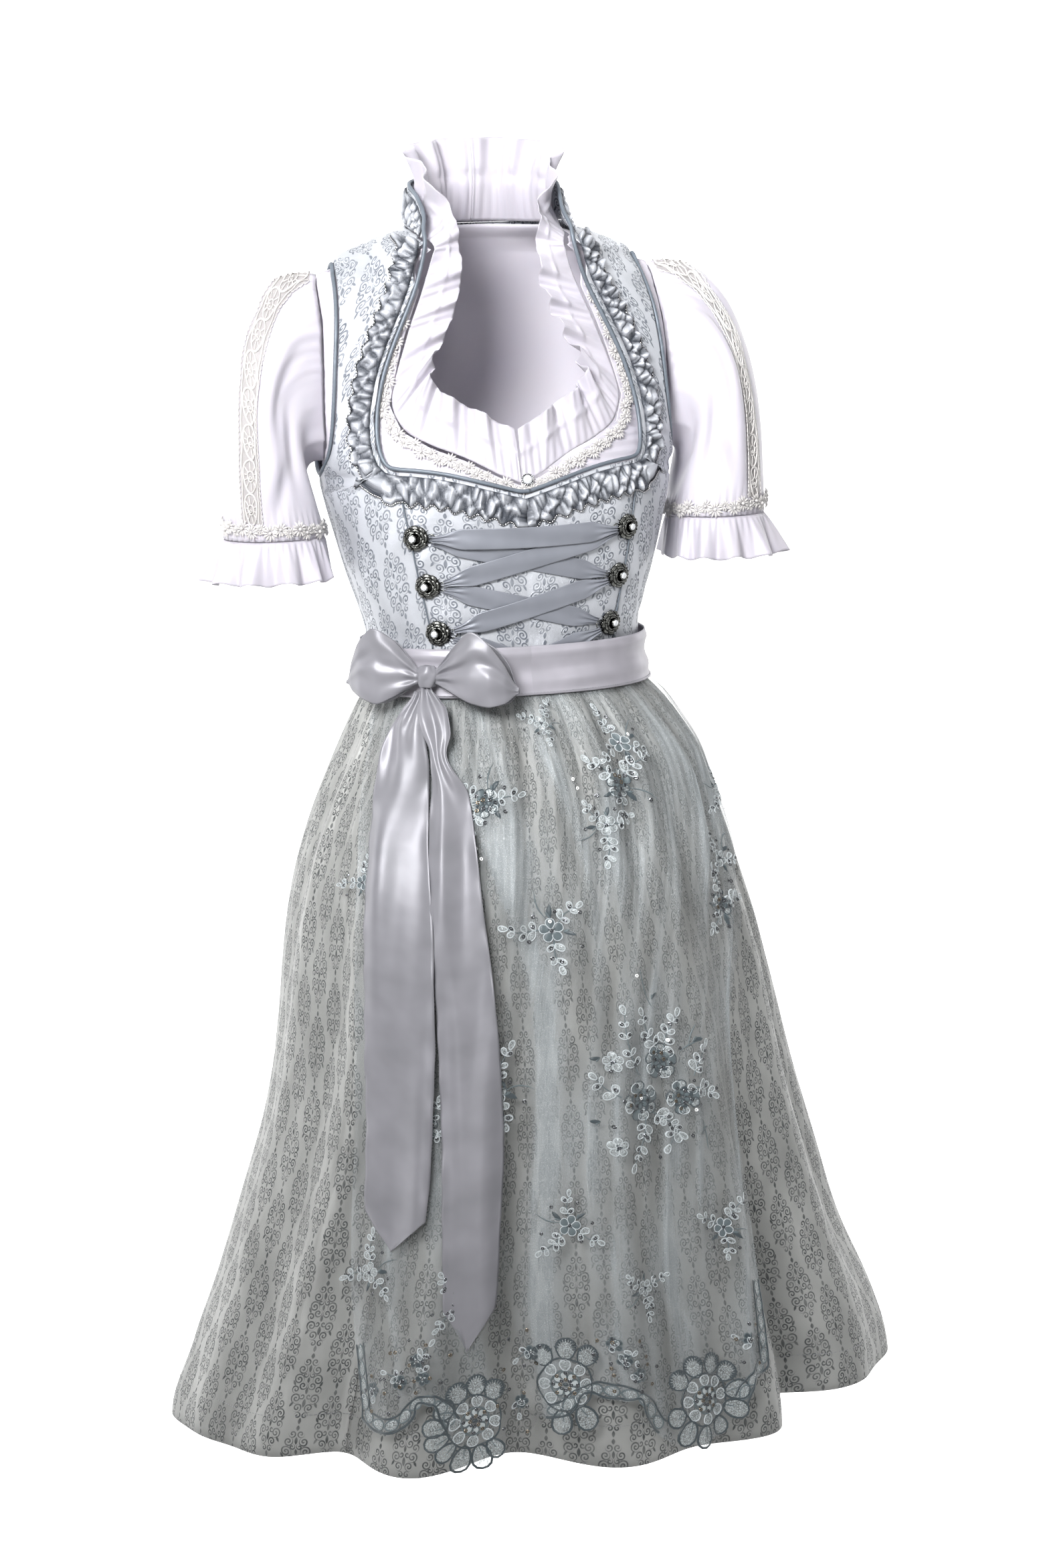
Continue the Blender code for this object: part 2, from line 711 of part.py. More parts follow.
def cuff_frill_grid():
    """The gathered frill below the cuff, wider and waved towards its free edge."""
    cols = CUFF_FRILL_WAVES * 4
    rows = []
    for share in (0.0, 0.5, 1.0):
        row = []
        for col in range(cols):
            turn = 2.0 * math.pi * col / cols
            beat = CUFF_FRILL_WAVES * turn
            grow = CUFF_FRILL_SPREAD * share ** 0.8
            wave = CUFF_FRILL_WAVE * share * math.cos(beat + 0.6 * math.sin(3 * turn))
            inner_side = max(0.0, -math.cos(turn))
            half_width = CUFF_HALF_WIDTH + grow * (1.0 - 0.75 * inner_side)
            half_width += wave * (1.0 - 0.7 * inner_side)
            half_depth = CUFF_HALF_DEPTH + grow * 0.8 + wave
            z = CUFF_CENTRE[2] - 0.8 - CUFF_FRILL_LENGTH * share + 2.0 * share * math.cos(beat)
            row.append(Vector((
                CUFF_CENTRE[0] + half_width * math.cos(turn),
                CUFF_CENTRE[1] + half_depth * math.sin(turn),
                z,
            )))
        rows.append(row)
    return rows


def sleeve_strip(inner_out, outer_out):
    """A lace strip down the outer front of the sleeve, laid on its points."""
    surface = sleeve_grid()
    normals = grid_normals(surface, ring=True)
    picked = (SLEEVE_COLS - 4, SLEEVE_COLS - 3)
    layers = []
    for distance in (outer_out, inner_out):
        rows = []
        for r in range(1, len(surface) - 1):
            rows.append([surface[r][c] - normals[r][c] * distance for c in picked])
        layers.append(rows)
    return layers


def cuff_braid_grid(out):
    """The daisy braid round the sleeve's end, laid on its last rows."""
    surface = sleeve_grid()
    normals = grid_normals(surface, ring=True)
    rows = []
    for share in (0.03, 0.40):
        row = []
        for col in range(SLEEVE_COLS):
            place = surface[-1][col].lerp(surface[-2][col], share)
            row.append(place - normals[-1][col].lerp(normals[-2][col], share) * out)
        rows.append(row)
    return rows


def both_sides(name, outer, inner, group, look, ring=False, roughness=0.5):
    wall(name + "_right", outer, inner, group, look, ring=ring, roughness=roughness)
    wall(name + "_left", mirrored(outer), mirrored(inner), group, look, ring=ring,
         roughness=roughness)


def build_sleeves(group):
    surface = sleeve_grid()
    both_sides("sleeve", surface, moved_out(surface, BLOUSE_WALL, ring=True), group, "white",
               ring=True, roughness=0.35)
    frill = cuff_frill_grid()
    both_sides("sleeve_frill", moved_out(frill, -0.5 * FRILL_WALL, ring=True),
               moved_out(frill, 0.5 * FRILL_WALL, ring=True), group, "white", ring=True,
               roughness=0.35)
    outer, inner = sleeve_strip(0.5, 1.4)
    both_sides("sleeve_lace", outer, inner, group, "white")


# Neck frill on one half, from its point at centre front round to centre back.
# back is 1.0 where the base lies on the blouse back, bow bends it inward clear of the collar
# columns: base_x, base_z, back, free_x, free_y, free_z, bow
NECK_FRILL = (
    (0.6, -219.0, 0.0, 1.2, -86.0, -173.0, 0.0),
    (19.0, -210.0, 0.0, 20.0, -82.0, -163.0, 0.0),
    (47.0, -195.0, 0.0, 42.0, -74.0, -150.0, 0.0),
    (75.0, -184.0, 0.0, 62.0, -67.0, -138.0, 0.0),
    (98.0, -170.0, 0.0, 68.0, -61.0, -124.0, 0.0),
    (106.0, -148.0, 0.0, 63.0, -57.0, -108.0, 0.0),
    (92.0, -99.0, 0.0, 50.0, -54.0, -86.0, 0.0),
    (83.0, -75.0, 0.0, 41.0, -50.0, -64.0, 0.0),
    (74.0, -52.0, 0.0, 35.0, -47.0, -42.0, 0.0),
    (64.0, -16.0, 0.0, 34.0, -44.0, -14.0, 1.0),
    (67.0, -6.0, 0.0, 40.0, -38.0, 14.0, 4.0),
    (72.0, 3.0, 0.0, 58.0, -18.0, 48.0, 8.0),
    (66.0, 3.0, 1.0, 68.0, 6.0, 67.0, 8.0),
    (49.0, 3.0, 1.0, 51.0, 39.0, 74.0, 9.0),
    (25.0, 3.0, 1.0, 28.0, 54.0, 77.0, 9.0),
    (0.0, 3.0, 1.0, 0.0, 59.0, 78.0, 9.0),
)
NECK_FRILL_WAVES = 13
NECK_FRILL_WAVE = 5.5
FRILL_START = 3.0
LAST_FRONT_ROW = 11.0


def neck_frill_half():
    """Rows of the neck frill from its gathered base to its free edge."""
    table = [(float(i),) + row for i, row in enumerate(NECK_FRILL)]
    cols = NECK_FRILL_WAVES * 4
    centre = []
    for col in range(cols + 1):
        key = (len(table) - 1) * col / cols
        x, z, _, free_x, free_y, free_z, bow = table_row(table, key)
        angle = angle_at(x, z, blouse_base)
        if key > LAST_FRONT_ROW:
            angle = 180.0 - angle
        base = torso(angle, z, -BLOUSE_DEPTH - 0.5 * BLOUSE_WALL, blouse_base)
        free = Vector((free_x, free_y, free_z))
        base = base + (free - base).normalized() * FRILL_START
        centre.append((base, free, bow))
    rows = []
    for share in (0.0, 0.5, 1.0):
        row = []
        for col, (base, free, bow) in enumerate(centre):
            before = centre[max(col - 1, 0)]
            after = centre[min(col + 1, cols)]
            run = after[0].lerp(after[1], share) - before[0].lerp(before[1], share)
            out = run.cross(free - base).normalized()
            wave = NECK_FRILL_WAVE * share ** 1.3 * math.sin(2.0 * math.pi * NECK_FRILL_WAVES * col / cols)
            wave *= min(1.0, col / 3.0)
            inward = Vector((-base.x, -base.y, 0.0)).normalized() * bow * math.sin(math.pi * share)
            row.append(base.lerp(free, share) + out * wave + inward)
        rows.append(row)
    return rows


def neck_frill_grid():
    half = neck_frill_half()
    grid = []
    for row in half:
        left = [Vector((-p.x, p.y, p.z)) for p in row]
        grid.append(left + row[-2::-1])
    return grid


def neck_braid_grid(out):
    """The daisy braid along the foot of the neck frill, front part only."""
    rows = []
    for inset in (1.5, 12.0):
        half = []
        places = BLOUSE_NECKLINE[:-1]
        for index, (x, z) in enumerate(places):
            before = places[max(index - 1, 0)]
            after = places[min(index + 1, len(places) - 1)]
            run_x, run_z = after[0] - before[0], after[1] - before[1]
            size = math.hypot(run_x, run_z)
            px = max(0.2, x + run_z / size * inset)
            pz = z - run_x / size * inset
            half.append(torso(angle_at(px, pz, blouse_base), pz, out, blouse_base))
        half = rounded(half, 1)
        left = [Vector((-p.x, p.y, p.z)) for p in half]
        rows.append(left[::-1] + half[1:])
    return rows


def build_neck(group):
    frill = neck_frill_grid()
    wall("neck_frill", moved_out(frill, 0.5 * FRILL_WALL), moved_out(frill, -0.5 * FRILL_WALL),
         group, "white", roughness=0.35)


# Horizontal sections of the skirt, waist first
# columns: z, side_x, front_y, back_y, middle_x
SKIRT = (
    (-1060.0, 322.0, -246.0, 252.0, 4.0),
    (-993.0, 305.0, -238.0, 246.0, 8.0),
    (-926.0, 281.0, -230.0, 238.0, 8.0),
    (-856.0, 261.0, -220.0, 228.0, 10.0),
    (-775.0, 240.0, -206.0, 214.0, 12.0),
    (-704.0, 228.0, -193.0, 200.0, 12.0),
    (-640.0, 218.0, -182.0, 186.0, 10.0),
    (-570.0, 201.0, -168.0, 166.0, 7.0),
    (-527.0, 187.0, -156.0, 150.0, 7.0),
    (-469.0, 164.0, -138.0, 124.0, 9.0),
    (-419.0, 136.0, -118.0, 95.0, 5.0),
    (-392.0, 121.0, -106.0, 78.0, 0.0),
)
SKIRT_LEVELS = (-393.0, -412.0, -450.0, -510.0, -600.0, -710.0, -825.0, -945.0, HEM_Z)
SKIRT_GATHERS = 24
GATHER_HEIGHT = 3.0

# Long folds of the skirt: troughs are negative
# columns: angle, half_width in degrees, depth at the hem, share of the height where it starts
SKIRT_FOLDS = (
    (-92.0, 10.0, 14.0, 0.30),
    (-46.0, 9.0, -44.0, 0.25),
    (-29.0, 8.0, 8.0, 0.30),
    (-13.0, 10.5, -58.0, 0.22),
    (4.0, 8.0, 8.0, 0.30),
    (18.0, 7.0, -12.0, 0.20),
    (33.0, 6.0, 7.0, 0.35),
    (46.0, 8.5, -62.0, 0.18),
    (63.0, 8.0, 6.0, 0.35),
    (86.0, 11.0, 24.0, 0.28),
    (109.0, 9.5, -46.0, 0.26),
    (128.0, 8.0, 10.0, 0.30),
    (146.0, 10.0, -54.0, 0.20),
    (168.0, 9.0, 12.0, 0.34),
    (186.0, 9.0, -40.0, 0.30),
    (206.0, 9.0, 10.0, 0.30),
    (224.0, 10.0, -56.0, 0.22),
    (246.0, 9.5, -34.0, 0.36),
)


def skirt_share(z):
    return (z - WAIST_Z) / (HEM_Z - WAIST_Z)


def fold_depth(angle, share, easing=1.0):
    """Sum of the long folds here. Troughs are made shallower by easing below 1."""
    total = 0.0
    for centre, half_width, depth, start in SKIRT_FOLDS:
        away = (angle - centre + 180.0) % 360.0 - 180.0
        grown = max(0.0, (share - start) / (1.0 - start)) ** 1.15
        bell = math.exp(-((away / half_width) ** 2))
        total += depth * (easing if depth < 0.0 else 1.0) * grown * bell
    return total


def skirt_gather(angle, share):
    rise = smooth_step(0.0, 0.07, share)
    fall = 1.0 - smooth_step(0.15, 0.55, share)
    return GATHER_HEIGHT * rise * fall * math.cos(math.radians(angle * SKIRT_GATHERS))


def skirt_point(angle, z, out=0.0, easing=1.0):
    """A point of the skirt's outside with its folds, moved outward by a distance."""
    side_x, front, back, middle_x = table_row(SKIRT, z)
    turn = math.radians(angle)
    depth = front if math.cos(turn) >= 0.0 else back
    share = skirt_share(z)
    relief = fold_depth(angle, share, easing) + skirt_gather(angle, share) * easing + out
    away = Vector((math.sin(turn) / side_x, -math.cos(turn) / abs(depth), 0.0)).normalized()
    u = abs(math.sin(turn))
    waist_power = FRONT_POWER if math.cos(turn) >= 0.0 else BACK_POWER
    power = blend(waist_power, 2.0, smooth_step(0.02, 0.2, share))
    y = depth * (1.0 - u ** power) ** (1.0 / power)
    return Vector((middle_x + side_x * math.sin(turn), y, z)) + away * relief


def skirt_panel(start, end, out):
    """A panel of the skirt between two angles, half a seam gap short at each."""
    cols = round((end - start) / 3.75)
    rows = []
    for z in SKIRT_LEVELS:
        row = []
        for col in range(cols + 1):
            angle = blend(start, end, col / cols)
            if col == 0:
                angle = gap_shift(angle, -1)
            if col == cols:
                angle = gap_shift(angle, 1)
            row.append(skirt_point(angle, z, out))
        rows.append(row)
    return rows


def build_skirt(group):
    for name, start, end in (
        ("skirt_front", -45.0, 45.0),
        ("skirt_side_right", 45.0, 135.0),
        ("skirt_back", 135.0, 225.0),
        ("skirt_side_left", 225.0, 315.0),
    ):
        wall(name, skirt_panel(start, end, 0.0), skirt_panel(start, end, -SKIRT_WALL), group,
             "jacquard")


# Apron outline over the skirt
# columns: z, left angle, right angle
APRON_EDGES = (
    (-1050.0, -39.0, 31.0),
    (-900.0, -48.0, 36.0),
    (-800.0, -51.5, 40.0),
    (-700.0, -53.0, 46.0),
    (-620.0, -53.5, 57.0),
    (-560.0, -55.0, 67.0),
    (-500.0, -59.0, 75.0),
    (-450.0, -67.0, 79.0),
    (-394.0, -74.0, 80.0),
)
APRON_LEVELS = (0.0, 0.09, 0.19, 0.34, 0.53, 0.72, 0.92, 1.0)
APRON_COLS = 40
APRON_TOP_Z = -395.0
APRON_HEM_Z = -992.0
APRON_GATHERS = 14

# Hanging scallops of the apron's hem
# columns: place across from 0 to 1, half width, drop
APRON_SCALLOPS = (
    (0.06, 0.10, 28.0),
    (0.32, 0.12, 50.0),
    (0.45, 0.07, 22.0),
    (0.60, 0.05, 6.0),
    (0.79, 0.15, 57.0),
    (0.96, 0.05, 12.0),
)

# Soft vertical folds of the apron
# columns: place across from 0 to 1, half width, height at the hem, height at the top
APRON_FOLDS = (
    (0.08, 0.035, 5.0, 2.0),
    (0.20, 0.030, 8.0, 1.0),
    (0.34, 0.030, 11.0, 3.0),
    (0.50, 0.035, 6.0, 4.0),
    (0.64, 0.028, 9.0, 2.0),
    (0.80, 0.035, 7.0, 4.0),
    (0.93, 0.030, 8.0, 1.0),
)


def apron_relief(place, share):
    """Height of the apron over the skirt: never below its resting gap."""
    height = 0.0
    for centre, half_width, low, high in APRON_FOLDS:
        bell = math.exp(-(((place - centre) / half_width) ** 2))
        height += blend(high, low, share) * smooth_step(0.03, 0.15, share) * bell
    gather = 1.1 * smooth_step(0.0, 0.05, share) * (1.0 - smooth_step(0.2, 0.6, share))
    return height + gather * (1.0 + math.cos(2.0 * math.pi * APRON_GATHERS * place))


def apron_hem_z(place):
    drop = 0.0
    for centre, half_width, depth in APRON_SCALLOPS:
        away = abs(place - centre) / half_width
        if away < 1.0:
            drop = max(drop, depth * math.sqrt(1.0 - away * away))
    return APRON_HEM_Z - drop


def apron_surface(angle, z, out=0.0):
    """The apron's resting surface anywhere round the front of the skirt."""
    left, right = table_row(APRON_EDGES, z)
    place = (angle - left) / (right - left)
    share = skirt_share(z)
    calm = min(1.0, max(0.0, 1.0 - share * 0.6))
    lift = 4.4 * smooth_step(0.0, 0.10, share) + 2.2
    return skirt_point(angle, z, lift + apron_relief(place, share) + out, calm)


def apron_grid():
    rows = []
    for share in APRON_LEVELS:
        row = []
        for col in range(APRON_COLS + 1):
            place = col / APRON_COLS
            z = blend(APRON_TOP_Z, apron_hem_z(place), share)
            left, right = table_row(APRON_EDGES, z)
            row.append(apron_surface(blend(left, right, place), z))
        rows.append(row)
    return rows


def build_apron(group):
    surface = apron_grid()
    wall("apron", moved_out(surface, -APRON_WALL), surface, group, "organza", roughness=0.4)


# The sash round the waist
# columns: z, distance outside the bodice and skirt
SASH = (
    (-358.5, 4.6),
    (-366.0, 6.8),
    (-379.0, 6.0),
    (-391.0, 8.2),
    (-401.0, 6.8),
)
SASH_COLS = 30
SASH_WALL = 1.2


def sash_point(angle, z, out):
    """A point outside the waist: over the bodice above its join, over the skirt below."""
    side_x, front, back, middle_x = table_row(SKIRT, min(z, WAIST_Z - 2.0))
    if z > WAIST_Z:
        side_x, _, _, front, back, _ = table_row(TORSO, z)
        middle_x = 0.0
    turn = math.radians(angle)
    u = abs(math.sin(turn))
    in_front = math.cos(turn) >= 0.0
    power = FRONT_POWER if in_front else BACK_POWER
    depth = abs(front if in_front else back) * (1.0 - u ** power) ** (1.0 / power)
    away = Vector((math.sin(turn) / side_x, -math.cos(turn) / abs(front), 0.0)).normalized()
    y = -depth if in_front else depth
    return Vector((middle_x + side_x * math.sin(turn), y, z)) + away * out


def sash_grid(out):
    angles = [360.0 * i / SASH_COLS for i in range(SASH_COLS)]
    return [[sash_point(angle, z, rise + out) for angle in angles] for z, rise in SASH]


def build_sash(group):
    wall("sash", sash_grid(SASH_WALL), sash_grid(0.0), group, "satin", ring=True, roughness=0.3)


# Rose hooks on one half, top first. columns: x, z, distance off the cloth
HOOKS = ((93.0, -261.5, 0.5), (83.8, -303.5, 0.5), (75.6, -345.0, 0.9))
HOOK_RADIUS = 11.0
HOOK_LEAF = 15.5
HOOK_HEIGHT = 5.0
HOOK_SIDES = 16
RIBBON_WIDTH = 17.5
RIBBON_START = 17.0


def dome(name, centre, normal, right, outline, height, group, look, metallic):
    """A low closed dome with a shaped outline, flat side towards the cloth."""
    up = normal.cross(right).normalized()
    rings = ((1.0, 0.0), (0.96, 0.45), (0.5, 1.0))
    count = len(outline)
    points = []
    for scale, rise in rings:
        for i, radius in enumerate(outline):
            turn = 2.0 * math.pi * i / count
            across = right * math.cos(turn) + up * math.sin(turn)
            points.append(centre + across * radius * scale + normal * rise * height)
    faces = [tuple(range(count - 1, -1, -1)), tuple(range(2 * count, 3 * count))]
    for ring in range(2):
        for i in range(count):
            j = (i + 1) % count
            low, high = ring * count, (ring + 1) * count
            faces.append((low + i, low + j, high + j, high + i))
    return build_solid(name, points, faces, group, look, 0.35, metallic)


def build_hooks(group):
    """Six rose hooks, each with a leaf that points to the middle of the front."""
    outline = []
    for i in range(HOOK_SIDES):
        turn = 2.0 * math.pi * i / HOOK_SIDES
        leaf = max(0.0, math.cos(turn)) ** 5
        outline.append(HOOK_RADIUS + (HOOK_LEAF - HOOK_RADIUS) * leaf + 0.5 * math.cos(5.0 * turn))
    for side, sign in (("left", -1.0), ("right", 1.0)):
        for number, (x, z, rise) in enumerate(HOOKS, start=1):
            angle = angle_at(x, z)
            centre = torso(angle, z, rise)
            normal = surface_normal(dress_base, angle, z)
            right = (torso(angle - 2.0, z) - torso(angle, z)).normalized()
            if sign < 0.0:
                centre.x, normal.x, right.x = -centre.x, -normal.x, -right.x
            dome("rose_hook_%s_%d" % (side, number), centre, normal, right, outline, HOOK_HEIGHT,
                 group, "silver", 0.9)


# Lacing ribbons between hook places (side, row); row 4 lies under the sash
# columns: start side, start row, end side, end row, layer
LACING = (
    (-1, 1, 1, 1, 2),
    (-1, 1, 1, 2, 0),
    (1, 1, -1, 2, 1),
    (-1, 2, 1, 3, 0),
    (1, 2, -1, 3, 1),
    (1, 3, -1, 4, 1),
    (-1, 3, 1, 4, 0),
)
LACE_LAYER = 1.5
LACE_STEPS = 8


def lacing_place(side, row):
    if row == 4:
        return side * 22.0, -384.0
    x, z, _ = HOOKS[row - 1]
    return side * x, z


def build_lacing(group):
    for number, (side_a, row_a, side_b, row_b, layer) in enumerate(LACING, start=1):
        start_x, start_z = lacing_place(side_a, row_a)
        end_x, end_z = lacing_place(side_b, row_b)
        length = math.hypot(end_x - start_x, end_z - start_z)
        drop = 2.5 if row_a == row_b else 0.0
        first = RIBBON_START / length
        last = 1.0 - (RIBBON_START / length if row_b < 4 else 0.0)
        rows = []
        for step in range(LACE_STEPS + 1):
            share = blend(first, last, step / LACE_STEPS)
            x = blend(start_x, end_x, share)
            z = blend(start_z, end_z, share) - drop * math.sin(math.pi * share)
            near = min(share - first, (last - share) if row_b < 4 else 1.0) * length
            half = 0.5 * RIBBON_WIDTH * blend(0.45, 1.0, smooth_step(0.0, 24.0, near))
            across_x = -(end_z - start_z) / length * half
            across_z = (end_x - start_x) / length * half
            row = []
            for side in (-1.0, 0.0, 1.0):
                px, pz = x + across_x * side, z + across_z * side
                turn = angle_at(abs(px), pz)
                row.append((math.copysign(turn, px), pz))
            rows.append(row)
        low = 0.8 + LACE_LAYER * layer
        outer = [[torso(a, z, low + RIBBON_WALL) for a, z in row] for row in rows]
        inner = [[torso(a, z, low) for a, z in row] for row in rows]
        wall("lacing_%d" % number, outer, inner, group, "ribbon", roughness=0.25)


TRIM_STEP = 11.0
TRIM_INSET = 3.4
TRIM_CORNER_Z = -200.0
TRIM_WIDTH_FRONT = 23.0
TRIM_WIDTH_SIDE = 19.0
TRIM_REST_FRONT = 0.7
TRIM_REST_SIDE = 1.6
# Rises of the ruched cloth over its resting height at every other station
TRIM_RISES = ((3.5, 2.1, 3.5), (1.7, 5.3, 1.7))
# Distances outside the collar: resting side, low and high puffs
COLLAR_TRIM = (0.7, 3.0, 5.4)


def neckline_stations():
    """Edge points of the dress neckline on one half with their way out over the cloth."""
    places = neckline_places()
    points = [dress_base(a, z) for a, z in places]
    count = round(sum((q - p).length for p, q in zip(points, points[1:])) / TRIM_STEP)
    stations = []
    for index in range(count + 1):
        share = index / count
        here = along(points, share)
        before = along(points, max(0.0, share - 0.04))
        after = along(points, min(1.0, share + 0.04))
        if index == 0:
            before = Vector((-after.x, after.y, after.z))
        run_x, run_z = after.x - before.x, after.z - before.z
        size = math.hypot(run_x, run_z)
        stations.append((here.x, here.z, run_z / size, -run_x / size))
    stations[-1] = stations[-1][:2] + stations[-2][2:]
    return stations


def trim_grid(stations, plain):
    """Three points across the trim at each station, ruched on the outside."""
    columns = []
    for index, (x, z, out_x, out_z) in enumerate(stations):
        on_front = z < TRIM_CORNER_Z
        width = TRIM_WIDTH_FRONT if on_front else TRIM_WIDTH_SIDE
        rest = TRIM_REST_FRONT
        if not on_front:
            rest = TRIM_REST_SIDE + 1.2 * smooth_step(-40.0, -10.0, z)
        heights = [rest + (0.0 if plain else rise) for rise in TRIM_RISES[index % 2]]
        column = []
        for share, height in zip((0.0, 0.5, 1.0), heights):
            far = TRIM_INSET + width * share
            px, pz = max(0.0, x + out_x * far), z + out_z * far
            column.append(torso(angle_at(px, pz), pz, height))
        columns.append(column)
    return [[column[row] for column in columns] for row in range(3)]


def corner_index(stations):
    """The last station on the front panel."""
    return max(i for i, station in enumerate(stations) if station[1] < TRIM_CORNER_Z)


def build_trim(group):
    stations = neckline_stations()
    corner = corner_index(stations)
    front = stations[:corner + 1]
    side = stations[corner:]
    x, z, out_x, out_z = side[0]
    nudge = 0.7
    side[0] = (x - out_z * nudge, z + out_x * nudge, out_x, out_z)
    outer, inner = trim_grid(front, False), trim_grid(front, True)
    outer = [row[:0:-1] for row in mirrored(outer)]
    inner = [row[:0:-1] for row in mirrored(inner)]
    outer = [left + right for left, right in zip(outer, trim_grid(front, False))]
    inner = [left + right for left, right in zip(inner, trim_grid(front, True))]
    wall("neckline_trim_front", outer, inner, group, "jacquard")
    both_sides("neckline_trim", trim_grid(side, False), trim_grid(side, True), group, "jacquard")
    plain, calm, raised = (collar_columns(out) for out in COLLAR_TRIM)
    outer, inner = [[], [], []], [[], [], []]
    for index in range(1, len(plain) - 1):
        for row, share in enumerate((0.12, 0.5, 0.92)):
            bulge = raised if (index + row) % 2 else calm
            outer[row].append(bulge[index][0].lerp(bulge[index][1], share))
            inner[row].append(plain[index][0].lerp(plain[index][1], share))
    wall("collar_trim", outer, inner, group, "jacquard")


def build_cuff_braids(group):
    outer, inner = cuff_braid_grid(2.0), cuff_braid_grid(1.1)
    both_sides("cuff_braid", outer, inner, group, "white", ring=True)


def build_front_details(group):
    outer, inner = neck_braid_grid(-BLOUSE_DEPTH + 1.6), neck_braid_grid(-BLOUSE_DEPTH + 0.8)
    wall("neck_braid", outer, inner, group, "white")
    centre = torso(1.6, -214.5, -BLOUSE_DEPTH + 2.2)
    normal = surface_normal(dress_base, 1.6, -214.5)
    dome("blouse_button", centre, normal, Vector((1.0, 0.0, 0.0)), [5.5] * 12, 4.0, group,
         "silver", 0.4)


# Bow: its knot sits on the sash to the left of the centre front
KNOT_ANGLE = -42.0
KNOT_Z = -381.0
KNOT_HALF = (11.6, 14.0, 7.0)
KNOT_OUT = 15.6
KNOT_SIDES = 10
# Rings of the knot, bottom first. columns: share of its half height, share of its width
KNOT_RINGS = ((-1.0, 0.80), (-0.5, 1.0), (0.5, 1.0), (1.0, 0.80))
LOOP_WALL = 1.4


def knot_frame():
    """Centre, right, up and outward directions of the knot."""
    base = sash_point(KNOT_ANGLE, KNOT_Z, 0.0)
    right = (sash_point(KNOT_ANGLE + 3.0, KNOT_Z, 0.0) - sash_point(KNOT_ANGLE - 3.0, KNOT_Z, 0.0))
    right.z = 0.0
    right.normalize()
    up = Vector((0.0, 0.0, 1.0))
    return base, right, up, right.cross(up).normalized()


# Bow loop seen from the front, knot first
# columns: distance from the knot, top, bottom, half depth, distance out
BOW_LOOP = (
    (11.7, 9.0, -9.0, 1.6, 15.6),
    (26.0, 20.0, -19.0, 5.5, 17.0),
    (44.0, 33.0, -26.0, 9.0, 19.0),
    (62.0, 36.0, -29.0, 10.0, 19.0),
    (78.0, 29.0, -27.0, 7.0, 17.0),
    (87.0, 20.0, -22.0, 3.0, 15.0),
)


def bow_loop_grid(sign, tip_drop):
    """The ribbon of a loop: out along its front, round the tip and back behind."""
    base, right, up, out = knot_frame()
    way = right * sign
    path = [row + (1.0,) for row in BOW_LOOP] + [row + (-1.0,) for row in BOW_LOOP[::-1]]
    grid = []
    for far, top, bottom, half_depth, rise, face in path:
        sink = -far * far / 420.0 if sign < 0.0 else -far * far / 1400.0
        place = base + way * far + out * (rise + sink + half_depth * face)
        drop = up * (-tip_drop * (far / 87.0) ** 2)
        back = 0.92 if face < 0.0 else 1.0
        grid.append([
            place + drop + up * bottom * back,
            place + drop + up * blend(bottom, top, 0.5) * back + out * 2.0 * face,
            place + drop + up * top * back,
        ])
    return grid


TAIL_WALL = 1.2
TAIL_RIPPLE = 1.3

# Bow tails laid on the apron
# columns: z, middle angle, half width, lift off the apron
TAIL_LEFT = (
    (-867.0, -38.4, 2.4, 0.9),
    (-836.0, -38.6, 30.5, 3.8),
    (-770.0, -39.4, 32.0, 5.2),
    (-690.0, -39.6, 32.5, 5.2),
    (-610.0, -39.8, 31.5, 4.6),
    (-520.0, -43.0, 27.0, 4.4),
    (-455.0, -47.0, 22.0, 5.0),
    (-426.0, -48.6, 16.0, 8.5),
    (-411.0, -47.0, 9.6, 11.5),
    (-397.4, -45.0, 4.6, 12.0),
)
TAIL_RIGHT = (
    (-950.0, -22.3, 2.4, 1.4),
    (-913.0, -22.2, 21.0, 3.0),
    (-850.0, -22.8, 23.0, 4.0),
    (-760.0, -23.2, 23.5, 4.0),
    (-640.0, -23.6, 20.0, 4.6),
    (-540.0, -26.5, 15.0, 4.8),
    (-465.0, -30.0, 11.5, 5.4),
    (-430.0, -34.0, 11.0, 8.5),
    (-411.0, -37.2, 6.6, 11.5),
    (-397.4, -39.2, 4.2, 12.0),
)


def tail_grid(table):
    rows = []
    for z, middle, half, lift in table[::-1]:
        side_x = table_row(SKIRT, z)[0]
        spread = math.degrees(half / (side_x * 0.93))
        height = TAIL_RIPPLE * min(1.0, half / 20.0)
        row = []
        for share in (-1.0, -0.5, 0.0, 0.5, 1.0):
            ripple = height * math.cos(3.0 * share + z / 60.0)
            row.append(apron_surface(middle + spread * share, z, APRON_WALL + lift + ripple))
        rows.append(row)
    return rows


